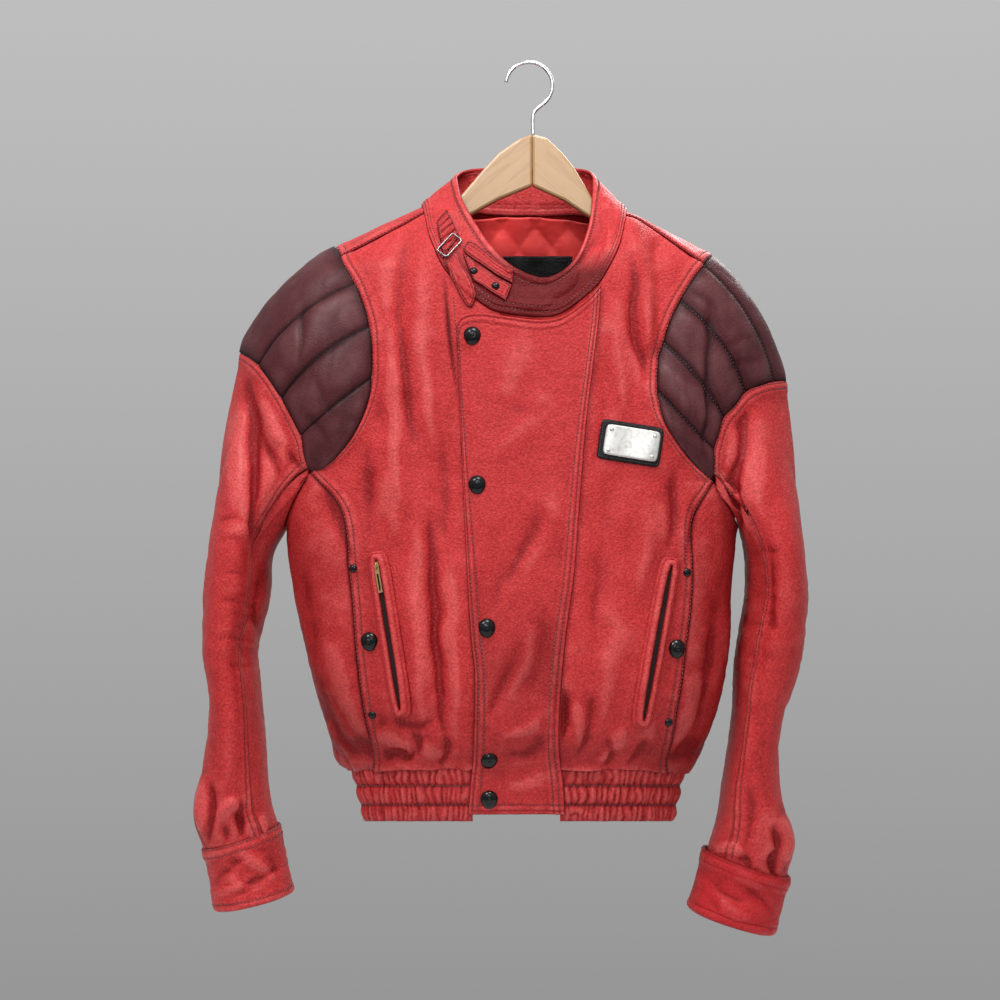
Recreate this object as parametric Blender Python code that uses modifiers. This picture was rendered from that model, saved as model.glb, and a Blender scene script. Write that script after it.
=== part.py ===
"""Leather motorcycle jacket with quilted shoulders, hung on a wooden hanger.

Sizes are in millimetres, +X is the viewer's right, -Y is the front and +Z is up. The origin is the
inside of the hook's bend, where a rod carries it. "right" and "left" are the wearer's, so the right
side lies at -X. Seam tables give x and z as they are seen from VIEW_POINT on the plane y = 0, and
the form of the body says how deep each of their points lies.
"""
import math

import bmesh
import bpy
import numpy as np
from mathutils import Matrix, Vector
from mathutils.bvhtree import BVHTree

MM = 0.001
COLLECTION = "jacket_and_hanger"
VIEW_POINT = (-30.0, -2300.0, -449.0)
CENTRE_X = -11.0
FRONT, BACK = -1, 1

# ---- driving sizes -------------------------------------------------------------------------
WALL = 2.0                # leather with its lining cloth
SEAM_GAP = 0.3            # each edge stands back this far from its seam line
HEM_TOP, HEM_BOTTOM = -723.0, -780.0
HANGER_THICK = 14.0
HOOK_RADIUS, HOOK_WIRE = 24.0, 4.0
SNAP_RADIUS, SNAP_HEIGHT, SNAP_STEPS = 8.6, 4.6, 12
RIVET_RADIUS, RIVET_HEIGHT, RIVET_STEPS = 4.2, 2.2, 8
FASTENER_SEAT = 0.6       # a fastener's foot over the highest cloth below it
FLAP_LIFT = 3.5           # outside of the front flap over the body's form

# height, half width to the right and left, depth in front and behind, squareness of the section
TORSO = [
    (-782, 157, 157, 80, 78, 2.5), (-752, 163, 163, 86, 82, 2.5), (-724, 171, 171, 88, 84, 2.5),
    (-700, 189, 189, 101, 97, 2.6), (-665, 203, 203, 107, 101, 2.8),
    (-600, 219, 216, 107, 101, 3.0), (-540, 231, 219, 104, 100, 3.0),
    (-490, 237, 223, 100, 97, 3.0), (-440, 240, 232, 96, 93, 3.0),
    (-380, 238, 236, 92, 90, 3.0), (-320, 232, 232, 87, 86, 2.8), (-260, 222, 222, 80, 80, 2.5),
    (-200, 212, 212, 68, 70, 2.4), (-150, 195, 195, 56, 62, 2.4), (-100, 185, 185, 50, 56, 2.4),
]
# distance from the centre, height of the shoulder's ridge, roll radius in front, behind
SHOULDER = [
    (0, -115, 110, 50), (60, -125, 98, 45), (100, -147, 74, 38), (119, -155.5, 60, 34),
    (151, -171, 42, 30), (181, -186.5, 32, 27), (195, -195, 28, 25), (203, -202, 25, 25),
    (215, -214, 24, 24), (245, -250, 22, 22),
]

# intervals between the quilting lines of a cap, in front and behind, and along other seams
FRONT_RUNS, BACK_RUNS = (2, 2, 2, 4), (4, 2, 2, 3)
UNDERARM_COUNT, PRINCESS_COUNT, SHOULDER_COUNT = 6, 8, 6
NECK_FRONT_COUNT, NECK_BACK_COUNT = 14, 12
NOTCH_ROWS = 2                          # rows of the back that run down each side of the neck
UNDERARM_LEVEL = -476.0                 # lowest point of the underarm seam
CORNER_ANGLE = 130.0                    # where the armhole's corners run down a sleeve's section


class Side:
    """What differs between the wearer's right (-1) and left (+1) half."""

    def __init__(self, sign, name, armhole, head, head_depth, princess, shoulder, ridge, crown):
        self.sign = sign
        self.name = name
        self.armhole = armhole          # runs of (x, z) from shoulder seam down to the corner
        self.head = head                # runs of (x, z) of the sleeve head, matching the armhole
        self.head_depth = head_depth    # depth of the head at the ends of those runs
        self.princess = princess        # (x, z) from the corner down to the hem band
        self.shoulder = shoulder        # (x, z) of the shoulder seam from neck to armhole
        self.ridge = ridge              # the armhole's distance from the centre on the ridge
        self.crown = crown              # (x, z) of the sleeve head's highest point


RIGHT = Side(
    -1, "right",
    armhole=[[(-194, -199), (-190, -208), (-179, -226)],
             [(-179, -226), (-172, -244), (-164, -270)],
             [(-164, -270), (-162, -296), (-162, -322)],
             [(-162, -322), (-165, -342), (-173, -365), (-184, -385), (-199, -404),
              (-212, -415), (-225, -420)]],
    head=[[(-294, -298), (-287, -302), (-278, -310)],
          [(-278, -310), (-266, -325), (-254, -344)],
          [(-254, -344), (-244, -362), (-234, -383)],
          [(-234, -383), (-231, -395), (-227, -416)]],
    head_depth=(-8, -40, -58, -67, -66),
    princess=[(-225, -420), (-199, -449), (-189, -475), (-185, -517), (-181, -555),
              (-178, -596), (-174, -632), (-170, -661), (-164, -690), (-157, -723)],
    shoulder=[(-108, -153), (-150, -176), (-194, -199)],
    ridge=188.0, crown=(-296, -297),
)
LEFT = Side(
    1, "left",
    armhole=[[(180, -206), (170, -219), (155, -243)],
             [(155, -243), (146, -262), (138, -286)],
             [(138, -286), (133, -306), (131, -335)],
             [(131, -335), (133, -348), (138, -367), (149, -385), (163, -404),
              (177, -419), (189, -430)]],
    head=[[(253, -328), (239, -331), (223, -339)],
          [(223, -339), (212, -352), (201, -365)],
          [(201, -365), (195, -381), (191, -397)],
          [(191, -397), (190.5, -410), (191, -423)]],
    head_depth=(-24, -52, -68, -76, -74),
    princess=[(189, -430), (169, -470), (168, -531), (165, -568), (161, -600),
              (157, -632), (151, -663), (146, -694), (138, -723)],
    shoulder=[(99, -157), (130, -171), (180, -206)],
    ridge=199.0, crown=(264, -327),
)
# back of an armhole below the ridge, and the lapped seam under it: distance from centre, height
BACK_ARMHOLE = [[(184, -218), (177, -240)], [(177, -240), (171, -262), (167, -285)],
                [(167, -285), (164, -310), (165, -335)],
                [(165, -335), (172, -368), (188, -402), (212, -424)]]
BACK_SEAM = [(212, -424), (196, -450), (186, -490), (180, -560), (172, -640), (156, -723)]

# neck seam in front, right shoulder seam to left shoulder seam
NECK_FRONT = [(-108, -153), (-102, -179), (-90, -207), (-76, -224), (-45, -250), (-25, -257),
              (10, -261), (34, -257), (67, -232), (83, -209), (94, -185), (99, -157)]
# neck seam behind: x and how far the point has turned over the shoulder, in degrees
NECK_BACK = [(99, 78), (90, 58), (74, 44), (48, 32), (20, 25), (-6, 23), (-32, 25), (-60, 32),
             (-86, 44), (-101, 58), (-110, 78)]

# folds: x and z of both ends, half width, height (a trough is negative), on the front or back
FOLDS = [
    (104, -170, 125, -285, 13, 6.0, FRONT), (132, -190, 134, -300, 8, -5.0, FRONT),
    (-105, -190, -128, -330, 14, 4.0, FRONT), (-70, -300, -78, -420, 13, -2.5, FRONT),
    (-120, -560, -105, -700, 16, 3.5, FRONT), (-62, -520, -66, -700, 12, 3.5, FRONT),
    (60, -500, 45, -690, 18, 3.5, FRONT), (100, -430, 120, -560, 18, -2.5, FRONT),
    (150, -340, 96, -470, 16, 2.5, FRONT), (-140, -400, -100, -520, 16, 2.5, FRONT),
    (-120, -200, -60, -340, 18, 3.0, BACK), (100, -210, 50, -330, 18, 3.0, BACK),
    (-150, -400, -60, -520, 20, 3.5, BACK), (140, -420, 60, -540, 20, 3.5, BACK),
    (-90, -600, -80, -700, 16, 3.5, BACK), (20, -560, 30, -700, 18, 3.0, BACK),
    (110, -600, 95, -700, 16, 3.5, BACK),
]
FOLD_FADE = 25.0

# collar's top edge in space: x, y, z
COLLAR_TOP_FRONT = [(-74, 8, -119), (-70, -18, -138), (-60, -32, -159), (-43, -50, -187),
                    (-21, -62, -212), (9, -66, -226), (28, -64, -222), (45, -57, -207),
                    (55, -44, -186), (62, -25, -160), (65, -4, -132), (66, 8, -121)]
COLLAR_TOP_BACK = [(66, 8, -121), (66, 22, -112), (60, 46, -102), (39, 62, -98), (-5, 68, -97),
                   (-46, 62, -98), (-66, 48, -102), (-74, 22, -111), (-74, 8, -119)]
COLLAR_WALL, COLLAR_GAP, COLLAR_BULGE, COLLAR_ROWS = 3.0, 0.5, 3.0, 3

# sleeves: height, centre x, centre y, half width, half depth, crease of the inner front, how far
# the inner side is raised by the section's tilt (degrees), squareness
SLEEVES = {
    "right": [(-515, -297.5, 0, 31.5, 78, 0.28, 0, 2.3), (-545, -299.5, 0, 32.5, 78, 0.30, 0, 2.3),
              (-580, -304, 0, 29.5, 76, 0.30, 0, 2.3), (-605, -307, 0, 27, 74, 0.24, 0, 2.3),
              (-635, -303.5, 0, 25.5, 71, 0.16, 0, 2.3), (-696, -301.5, 0, 29.5, 64, 0.08, 2, 2.2),
              (-743, -303, 0, 34, 58, 0.05, 6, 2.2), (-772, -304, 0, 39, 54, 0.03, 12, 2.2),
              (-796, -296.5, 0, 38, 45, 0, 17, 2.1)],
    "left": [(-515, 251, -14, 29, 78, 0.12, 0, 2.3), (-545, 252, -12, 30, 78, 0.14, 0, 2.3),
             (-580, 249, -8, 32, 76, 0.14, 0, 2.3), (-605, 246, -5, 33, 74, 0.14, 0, 2.3),
             (-635, 241.5, -2, 30.5, 71, 0.12, 0, 2.3), (-665, 236, 0, 26, 68, 0.08, 1, 2.2),
             (-700, 231, 0, 25, 64, 0.05, 3, 2.2), (-745, 228, 0, 29, 58, 0.04, 8, 2.2),
             (-790, 231, 0, 38.5, 52, 0.02, 15, 2.2), (-824, 224, 0, 41, 45, 0, 19, 2.1)],
}
CUFFS = {
    "right": [(-796, -296, 0, 39, 46, 0, 17, 2.1), (-830, -289.5, 0, 40.5, 46, 0, 15, 2.1),
              (-861, -283, 0, 41, 46, 0, 13, 2.1)],
    "left": [(-824, 223.5, 0, 42, 46, 0, 19, 2.1), (-853, 216, 0, 42.5, 46, 0, 18, 2.1),
             (-880, 208, 0, 43, 46, 0, 17, 2.1)],
}
CREASE_AT, CREASE_SPREAD = 138.0, 26.0    # degrees round a sleeve from its outer side
SLEEVE_ROWS = (5, 7)                      # rows from the head to the first section, and below it
HEAD_EASE = 0.5                           # how far a sleeve first runs on in the cap's direction
CAP_ROWS, CAP_GAP, CAP_PUFF, CAP_BULGE, CAP_FULL_SPAN = 4, 0.6, 4.0, 12.0, 90.0
HEAD_CORNER = (2.5, 0.0, 4.5)             # the head ends this far out and up from the armhole's
CAP_CENTRE = (139.0, -330.0)              # a cap bulges away from here: distance, height
ELBOW_ROWS, ELBOW_COLS = (5, 9), (11, 17)
ELBOW_WALL, ELBOW_MARGIN = 1.6, 2.0
CUFF_ROWS, CUFF_WALL = 3, 2.6

# hem band: gathers and channels
GATHERS = {"right": 15, "left": 17, "side": 9, "back": 22}
CHANNELS = 3
GATHER_HIGH, GATHER_LOW = 3.0, 1.0
HEM_INSIDE, HEM_CLEAR = 1.5, 1.0

# front flap: left and right edge as (x, z), its rounded top corner, level of its lower edge
FLAP_FREE_EDGE = [(-73, -280), (-68, -430), (-65, -500), (-62, -560), (-59, -600), (-56, -632),
                  (-57, -700), (-60, -740), (-63, -772)]
FLAP_SEAM_EDGE = [(74, -228), (72, -260), (66, -310), (58, -380), (51, -470), (46, -530),
                  (38, -590), (32, -660), (31, -700), (35, -740), (37, -772)]
FLAP_TOP = [(-73, -280), (-72, -265), (-66, -259), (-50, -257), (-20, -261), (10, -264.5),
            (34, -260.5), (60, -243), (74, -228)]
FLAP_COUNTS = (24, 6)
FLAP_OPEN, FLAP_OPEN_LEVEL, FLAP_OPEN_LENGTH = 3.0, -690.0, 90.0   # free edge stands off here
RIGHT_FRONT_TOP, RIGHT_FRONT_FOOT = -30.0, -38.0      # fronts end here, under the flap
LEFT_FRONT_TOP, LEFT_FRONT_FOOT = 62.0, 18.0

# pockets: top and bottom of the zip's gap, half width, margins of the welt
POCKETS = {"right": ((-157, -511), (-132.5, -664)), "left": ((146, -517), (117.5, -675))}
SLOT_HALF, WELT_HALF, WELT_END, WELT_COUNT = 3.2, 10.0, 9.0, 10
WELT_SEAT, WELT_WALL, WELT_CROWN, ZIP_TAPE = 0.7, 1.8, 0.6, 0.9
ZIP_SLIDER_DOWN = 6.0                     # slider's centre below the top of the gap
SLIDER_SIZE, SLIDER_EDGE = (4.6, 8.4, 1.8), 0.5
BAIL_WIDE, BAIL_LENGTH, BAIL_ROOM, BAIL_BAR, BAIL_FOOT = 1.2, 5.2, 2.2, 1.1, 0.5
PULL_WIDTH, PULL_LENGTH, PULL_THICK = 4.4, 27.0, 1.2
PULL_EYE, PULL_SLOT = (2.2, 4.2), (1.8, -25.0, -8.0)

# fasteners: x and z
FLAP_SNAPS = [(-58.5, -279), (-53.5, -432.5), (-43.5, -580), (-41, -717), (-41, -757)]
POCKET_SNAPS = [(-164.5, -594), (152.5, -601.5)]
POCKET_RIVETS = [(-181.3, -519.6), (-161.5, -670.5), (162.7, -523.7), (143.6, -678)]
COLLAR_STUDS = [(-57, -213), (-34.5, -228.5)]

PATCH_CENTRE, PLATE_CENTRE, PLATE_TILT = (104.3, -390.5), (105.8, -390.3), -9.0
PATCH_SIZE, PLATE_SIZE = (65.0, 41.0), (56.5, 31.5)

# straps on the collar: both long edges as (x, z), in the order they lie on each other
STRAPS = {
    "collar_tab": ([(-64, -184.5), (-60, -183), (-49.5, -189.5), (-34, -203), (-15.5, -213)],
                   [(-67, -189.5), (-67.5, -193), (-61, -199), (-48.5, -207.5), (-33.5, -218),
                    (-17, -227)]),
    "collar_tab_foot": ([(-68.5, -196.5), (-61, -201), (-48.5, -209), (-33.5, -220), (-17.5, -229)],
                        [(-57, -224), (-49.5, -228), (-40, -234.5), (-24, -245)]),
    "collar_strap_carrier": ([(-95, -163), (-92.5, -179), (-88.5, -200)],
                             [(-84.5, -150.5), (-79.5, -161.5), (-72, -177)]),
    "collar_strap_tongue": ([(-86.5, -206), (-77, -226.5), (-68, -244), (-63, -250.5)],
                            [(-74.5, -191.5), (-70, -204), (-64.5, -214.5), (-58.5, -225),
                             (-55, -234.5), (-55, -243), (-59, -250.5)]),
}
STRAP_STEPS, STRAP_ACROSS, STRAP_WALL, STRAP_SEAT = 8, 4, 1.6, 0.5
BUCKLE_CENTRE, BUCKLE_SIZE, BUCKLE_TILT = (-82.0, -186.5), (29.0, 12.0), 53.0
BUCKLE_WIRE = 2.0

PATCH_SEAT, PATCH_WALL, PLATE_WALL = 0.8, 1.6, 1.2

# lining and label behind the neck, laid against the back from INSIDE_POINT
INSIDE_POINT = (-11.0, -2300.0, -230.0)
NECK_LINING = (-90.0, 70.0, -318.0)       # both sides and lower end
LINING_TOP, LINING_DROP, LINING_SEAT, LINING_WALL = -152.0, 8.0, 0.9, 1.2
NECK_LABEL, LABEL_WALL = (-26.0, 45.0, -192.0, -235.0), 0.8

# hanger: apex, top edge of each arm down to where the shoulders hide it, its lower edge, its tip
HANGER_MIDDLE, HANGER_APEX, ARM_HEIGHT = 3.3, -73.0, 53.0
ARM_TOP = {-1: [(-10, -78), (-31, -92), (-45, -107), (-68, -134), (-83, -148), (-97, -156.5)],
           1: [(18, -77), (34, -92), (46, -107), (58, -127), (66, -141), (76, -151), (88, -157)]}
ARM_BELOW = {-1: [(-100, -178), (-60, -156), (-31, -140)],
             1: [(100, -179), (60, -157), (36, -141)]}
ARM_HIDDEN_FROM, ARM_REACH, ARM_SEAT, ARM_TIP = 112.0, 176.0, 0.45, 22.0
HOOK_STEM_X, HOOK_FOOT_RISE = 4.0, -0.6

SKIN = {
    "red_leather": ((0.55, 0.035, 0.04), 0.48, 0.0),
    "maroon_leather": ((0.115, 0.04, 0.048), 0.42, 0.0),
    "red_lining": ((0.62, 0.02, 0.02), 0.75, 0.0),
    "black_leather": ((0.012, 0.012, 0.013), 0.5, 0.0),
    "black_enamel": ((0.006, 0.006, 0.007), 0.2, 0.0),
    "brass": ((0.62, 0.42, 0.18), 0.35, 1.0),
    "steel": ((0.62, 0.62, 0.62), 0.25, 1.0),
    "pale_wood": ((0.75, 0.53, 0.3), 0.5, 0.0),
    "zip_tape": ((0.2, 0.015, 0.02), 0.8, 0.0),
}


# ---- curves --------------------------------------------------------------------------------

def column_curve(rows, column):
    """Smooth curve through one column of a table, over its first column."""
    ordered = sorted((float(row[0]), float(row[column])) for row in rows)
    at = np.array([pair[0] for pair in ordered])
    height = np.array([pair[1] for pair in ordered])
    slope = np.gradient(height, at)

    def value(x):
        x = np.clip(x, at[0], at[-1])
        i = np.clip(np.searchsorted(at, x, side="right") - 1, 0, len(at) - 2)
        span = at[i + 1] - at[i]
        t = (x - at[i]) / span
        rise = height[i] * (1 + 2 * t) * (1 - t) ** 2 + height[i + 1] * t * t * (3 - 2 * t)
        return rise + span * (slope[i] * t * (1 - t) ** 2 - slope[i + 1] * t * t * (1 - t))

    return value


def dense(points, steps=12):
    """Catmull-Rom curve through points, with steps samples to each stretch."""
    points = np.array(points, dtype=float)
    ends = np.vstack([2 * points[0] - points[1], points, 2 * points[-1] - points[-2]])
    samples = [points[0]]
    for i in range(1, len(points)):
        a, b, c, d = ends[i - 1:i + 3]
        for step in range(1, steps + 1):
            t = step / steps
            samples.append(0.5 * (2 * b + (c - a) * t + (2 * a - 5 * b + 4 * c - d) * t * t
                                  + (3 * b - a - 3 * c + d) * t ** 3))
    return np.array(samples)


def even(points, count):
    """count + 1 points at equal lengths along a polyline."""
    lengths = np.linalg.norm(np.diff(points, axis=0), axis=1)
    along = np.concatenate([[0], np.cumsum(lengths)])
    wanted = np.linspace(0, along[-1], count + 1)
    return np.stack([np.interp(wanted, along, points[:, k]) for k in range(points.shape[1])], axis=1)


def spaced(points, count):
    """count + 1 points at equal lengths along the smooth curve through points."""
    return even(dense(points), count)


def run_edge(runs, counts, steps=12):
    """One smooth curve through all runs, cut at the run ends into counts[i] intervals each."""
    joined = list(runs[0])
    for run in runs[1:]:
        joined += list(run[1:])
    curve = dense(joined, steps)
    pieces, start = [curve[:1]], 0
    for run, count in zip(runs, counts):
        stop = start + (len(run) - 1) * steps
        pieces.append(even(curve[start:stop + 1], count)[1:])
        start = stop
    return np.vstack(pieces)


# ---- the body's form -----------------------------------------------------------------------

RIGHT_WIDTH, LEFT_WIDTH = column_curve(TORSO, 1), column_curve(TORSO, 2)
DEPTH = {FRONT: column_curve(TORSO, 3), BACK: column_curve(TORSO, 4)}
SQUARENESS = column_curve(TORSO, 5)
RIDGE = column_curve(SHOULDER, 1)
ROLL = {FRONT: column_curve(SHOULDER, 2), BACK: column_curve(SHOULDER, 3)}


def sight(y):
    """Scale of a thing at depth y against the plane y = 0, seen from VIEW_POINT."""
    return 1 + y / -VIEW_POINT[1]


def placed(x0, z0, y):
    """Point in space at depth y that is seen at x0, z0."""
    scale = sight(y)
    return np.stack([VIEW_POINT[0] + (x0 - VIEW_POINT[0]) * scale, y + 0 * x0,
                     VIEW_POINT[2] + (z0 - VIEW_POINT[2]) * scale], axis=-1)


def seen(points):
    """x and z at which points in space are seen."""
    scale = sight(points[..., 1])
    return (VIEW_POINT[0] + (points[..., 0] - VIEW_POINT[0]) / scale,
            VIEW_POINT[2] + (points[..., 2] - VIEW_POINT[2]) / scale)


def half_width(level, sign):
    return np.where(sign > 0, LEFT_WIDTH(level), RIGHT_WIDTH(level))


def wall_depth(x, level, side):
    """Distance of the body's wall from the plane y = 0, below its shoulders' roll."""
    power = SQUARENESS(level)
    across = np.clip(np.abs(x - CENTRE_X) / half_width(level, x - CENTRE_X), 0, 1)
    return DEPTH[side](level) * (1 - across ** power) ** (1 / power)


def front_point(x0, z0):
    """Point of the front wall seen at x0, z0."""
    x0, z0 = np.broadcast_arrays(np.asarray(x0, float), np.asarray(z0, float))
    y = np.zeros_like(x0)
    for _ in range(40):
        x = VIEW_POINT[0] + (x0 - VIEW_POINT[0]) * sight(y)
        u = np.abs(x - CENTRE_X)
        q = np.clip((RIDGE(u) - z0) / ROLL[FRONT](u), 0, 1)
        y = 0.5 * y - 0.5 * wall_depth(x, z0, FRONT) * np.sqrt(1 - (1 - q) ** 2)
    return placed(x0, z0, y)


def lowered(level, y):
    """Height of a point at depth y whose level is seen on the plane y = 0, in front only."""
    return VIEW_POINT[2] + (level - VIEW_POINT[2]) * sight(np.minimum(y, 0))


def roll_start(x):
    u = np.abs(x - CENTRE_X)
    return RIDGE(u) - ROLL[BACK](u)


def back_point(x, climb):
    """Point of the back wall, where climb is a height that goes on over the shoulder's roll."""
    x, climb = np.broadcast_arrays(np.asarray(x, float), np.asarray(climb, float))
    u = np.abs(x - CENTRE_X)
    back_roll, front_roll = ROLL[BACK](u), ROLL[FRONT](u)
    start = RIDGE(u) - back_roll
    turn = np.clip((climb - start) / back_roll, 0, math.pi / 2)
    over = np.clip((climb - start - back_roll * math.pi / 2) / front_roll, 0, math.pi / 2)
    level = np.where(climb < start, climb, start + back_roll * np.sin(turn))
    level = np.where(over > 0, RIDGE(u) - front_roll * (1 - np.cos(over)), level)
    y = np.where(over > 0, -wall_depth(x, level, FRONT) * np.sin(over),
                 wall_depth(x, level, BACK) * np.cos(turn))
    return np.stack([x, y, lowered(level, y)], axis=-1)


def climb_of_turn(x, degrees):
    """Climb of a point that has turned by an angle over the back's roll."""
    return roll_start(x) + ROLL[BACK](np.abs(x - CENTRE_X)) * np.radians(degrees)


def climb_of_level(x, level):
    """Climb of a point of the back wall at a height."""
    u = np.abs(x - CENTRE_X)
    sine = np.clip((level - roll_start(x)) / ROLL[BACK](u), 0, 1)
    return np.where(sine > 0, roll_start(x) + ROLL[BACK](u) * np.arcsin(sine), level)


def climb_of_front(x, z0):
    """Climb of a point of the front wall seen at level z0, past the ridge."""
    u = np.abs(x - CENTRE_X)
    q = np.clip((RIDGE(u) - z0) / ROLL[FRONT](u), 0, 1)
    quarter = ROLL[BACK](u) * math.pi / 2
    return roll_start(x) + quarter + ROLL[FRONT](u) * np.arccos(1 - q)


def side_point(angle, level):
    """Point of the wall at an angle from the front round the viewer's right, and a level."""
    angle, level = np.broadcast_arrays(np.asarray(angle, float), np.asarray(level, float))
    power = 2 / SQUARENESS(level)
    sine, cosine = np.sin(angle), np.cos(angle)
    depth = np.where(cosine > 0, DEPTH[FRONT](level), DEPTH[BACK](level))
    x = CENTRE_X + half_width(level, sine) * np.sign(sine) * np.abs(sine) ** power
    y = -depth * np.sign(cosine) * np.abs(cosine) ** power
    return np.stack([x, y, lowered(level, y)], axis=-1)


def side_angle(points, level):
    """Angle of side_point for points on the wall."""
    offset = points[..., 0] - CENTRE_X
    across = np.clip(offset / half_width(level, offset), -1, 1)
    angle = np.arcsin(np.sign(across) * np.abs(across) ** (SQUARENESS(level) / 2))
    return np.where(points[..., 1] > 0, np.sign(angle) * math.pi - angle, angle)


def unit(vectors):
    return vectors / np.maximum(np.linalg.norm(vectors, axis=-1, keepdims=True), 1e-9)


def surface_normals(surface, a, b, centre, step=0.5, angular=False):
    """Outward normals of surface(a, b), away from centre."""
    step_a = 0.005 if angular else step
    along_a = surface(a + step_a, b) - surface(a - step_a, b)
    along_b = surface(a, b + step) - surface(a, b - step)
    normals = unit(np.cross(along_a, along_b))
    away = np.sum(normals * (surface(a, b) - centre(surface(a, b))), axis=-1, keepdims=True)
    return np.where(away < 0, -normals, normals)


def body_centre(points):
    """Point on the body's axis, a little below each point, that normals turn away from."""
    axis = np.zeros_like(points)
    axis[..., 0] = CENTRE_X + 0.6 * (points[..., 0] - CENTRE_X)
    axis[..., 2] = points[..., 2] - 30
    return axis


def folded(points, normals):
    """Points moved out or in by the folds; a fold fades out where the body turns to its side."""
    x0, z0 = seen(points)
    height = np.zeros_like(x0)
    for ax, az, bx, bz, spread, rise, side in FOLDS:
        run_x, run_z = bx - ax, bz - az
        t = np.clip(((x0 - ax) * run_x + (z0 - az) * run_z) / (run_x ** 2 + run_z ** 2), 0, 1)
        apart = np.hypot(x0 - ax - t * run_x, z0 - az - t * run_z)
        facing = np.clip(side * points[..., 1] / FOLD_FADE, 0, 1)
        height += rise * facing * np.exp(-(apart / spread) ** 2)
    return points + normals * height[..., None]


def patch(top, bottom, left, right):
    """Rows from top to bottom between four edges, which share their corners (Coons patch)."""
    s = np.linspace(0, 1, len(top))[None, :, None]
    t = np.linspace(0, 1, len(left))[:, None, None]
    corners = ((1 - s) * (1 - t) * top[0] + s * (1 - t) * top[-1]
               + (1 - s) * t * bottom[0] + s * t * bottom[-1])
    return (1 - t) * top + t * bottom + (1 - s) * left[:, None] + s * right[:, None] - corners


# ---- meshes --------------------------------------------------------------------------------

def clear_scene():
    for obj in list(bpy.data.objects):
        bpy.data.objects.remove(obj, do_unlink=True)
    bpy.context.scene.collection.children.link(bpy.data.collections.new(COLLECTION))


def finish_of(kind):
    """The finish of one kind, made once."""
    if kind in bpy.data.materials:
        return bpy.data.materials[kind]
    colour, roughness, metallic = SKIN[kind]
    finish = bpy.data.materials.new(kind)
    finish.use_nodes = True
    shader = finish.node_tree.nodes["Principled BSDF"]
    shader.inputs["Base Color"].default_value = (*colour, 1)
    shader.inputs["Roughness"].default_value = roughness
    shader.inputs["Metallic"].default_value = metallic
    return finish


def add_object(name, mesh, kind):
    obj = bpy.data.objects.new(name, mesh)
    bpy.data.collections[COLLECTION].objects.link(obj)
    obj.data.materials.append(finish_of(kind))
    return obj


def mesh_of(name, points, faces):
    mesh = bpy.data.meshes.new(name)
    mesh.from_pydata([Vector(point) * MM for point in points], [], faces)
    tidy = bmesh.new()
    tidy.from_mesh(mesh)
    loose = [vertex for vertex in tidy.verts if not vertex.link_faces]
    bmesh.ops.delete(tidy, geom=loose, context="VERTS")
    bmesh.ops.recalc_face_normals(tidy, faces=tidy.faces)
    tidy.to_mesh(mesh)
    tidy.free()
    return mesh


def grid_faces(rows, cols, start, closed):
    """Quads of a grid whose points are numbered from start, row by row."""
    faces = []
    for i in range(rows - 1):
        for j in range(cols if closed else cols - 1):
            k = (j + 1) % cols
            faces.append([start + i * cols + j, start + i * cols + k,
                          start + (i + 1) * cols + k, start + (i + 1) * cols + j])
    return faces


def wall(name, outer, inner, kind, closed=False):
    """Closed wall between two grids that share their columns; closed joins first and last.

    The inner grid may have fewer rows, each of its intervals facing the same number of outer ones.
    """
    rows, cols = outer.shape[:2]
    inner_rows = inner.shape[0]
    ratio = (rows - 1) // (inner_rows - 1)
    inner_start = rows * cols
    faces = grid_faces(rows, cols, 0, closed)
    faces += [face[::-1] for face in grid_faces(inner_rows, cols, inner_start, closed)]
    for j in range(cols if closed else cols - 1):
        k = (j + 1) % cols
        faces.append([j, k, inner_start + k, inner_start + j])
        last, inner_last = (rows - 1) * cols, inner_start + (inner_rows - 1) * cols
        faces.append([last + j, last + k, inner_last + k, inner_last + j])
    if not closed:
        for j in (0, cols - 1):
            for i in range(inner_rows - 1):
                face = [k * cols + j for k in range(i * ratio, (i + 1) * ratio + 1)]
                faces.append(face + [inner_start + k * cols + j for k in (i + 1, i)])
    points = np.vstack([outer.reshape(-1, 3), inner.reshape(-1, 3)])
    obj = add_object(name, mesh_of(name, points.tolist(), faces), kind)
    obj.data.shade_smooth()


def cut_wall(name, outer, inner, cells, kind):
    """Closed wall between two like grids, made of those of their cells that are True."""
    rows, cols = outer.shape[:2]
    start = rows * cols
    faces, edges = [], {}
    for i, j in np.argwhere(cells).tolist():
        ring = [i * cols + j, i * cols + j + 1, (i + 1) * cols + j + 1, (i + 1) * cols + j]
        faces += [ring, [start + k for k in reversed(ring)]]
        for edge in zip(ring, ring[1:] + ring[:1]):
            if edge[::-1] in edges:
                del edges[edge[::-1]]
            else:
                edges[edge] = True
    faces += [[b, a, start + a, start + b] for a, b in edges]
    points = np.vstack([outer.reshape(-1, 3), inner.reshape(-1, 3)])
    obj = add_object(name, mesh_of(name, points.tolist(), faces), kind)
    obj.data.shade_smooth()


def sheet(name, grid, thickness, kind):
    """Open grid, facing out, thickened inward by a Solidify modifier."""
    rows, cols = grid.shape[:2]
    mesh = bpy.data.meshes.new(name)
    mesh.from_pydata([Vector(point) * MM for point in grid.reshape(-1, 3).tolist()], [],
                     [face[::-1] for face in grid_faces(rows, cols, 0, False)])
    obj = add_object(name, mesh, kind)
    solid = obj.modifiers.new("thickness", "SOLIDIFY")
    solid.thickness = thickness * MM
    solid.offset = -1
    obj.data.shade_smooth()


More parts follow.
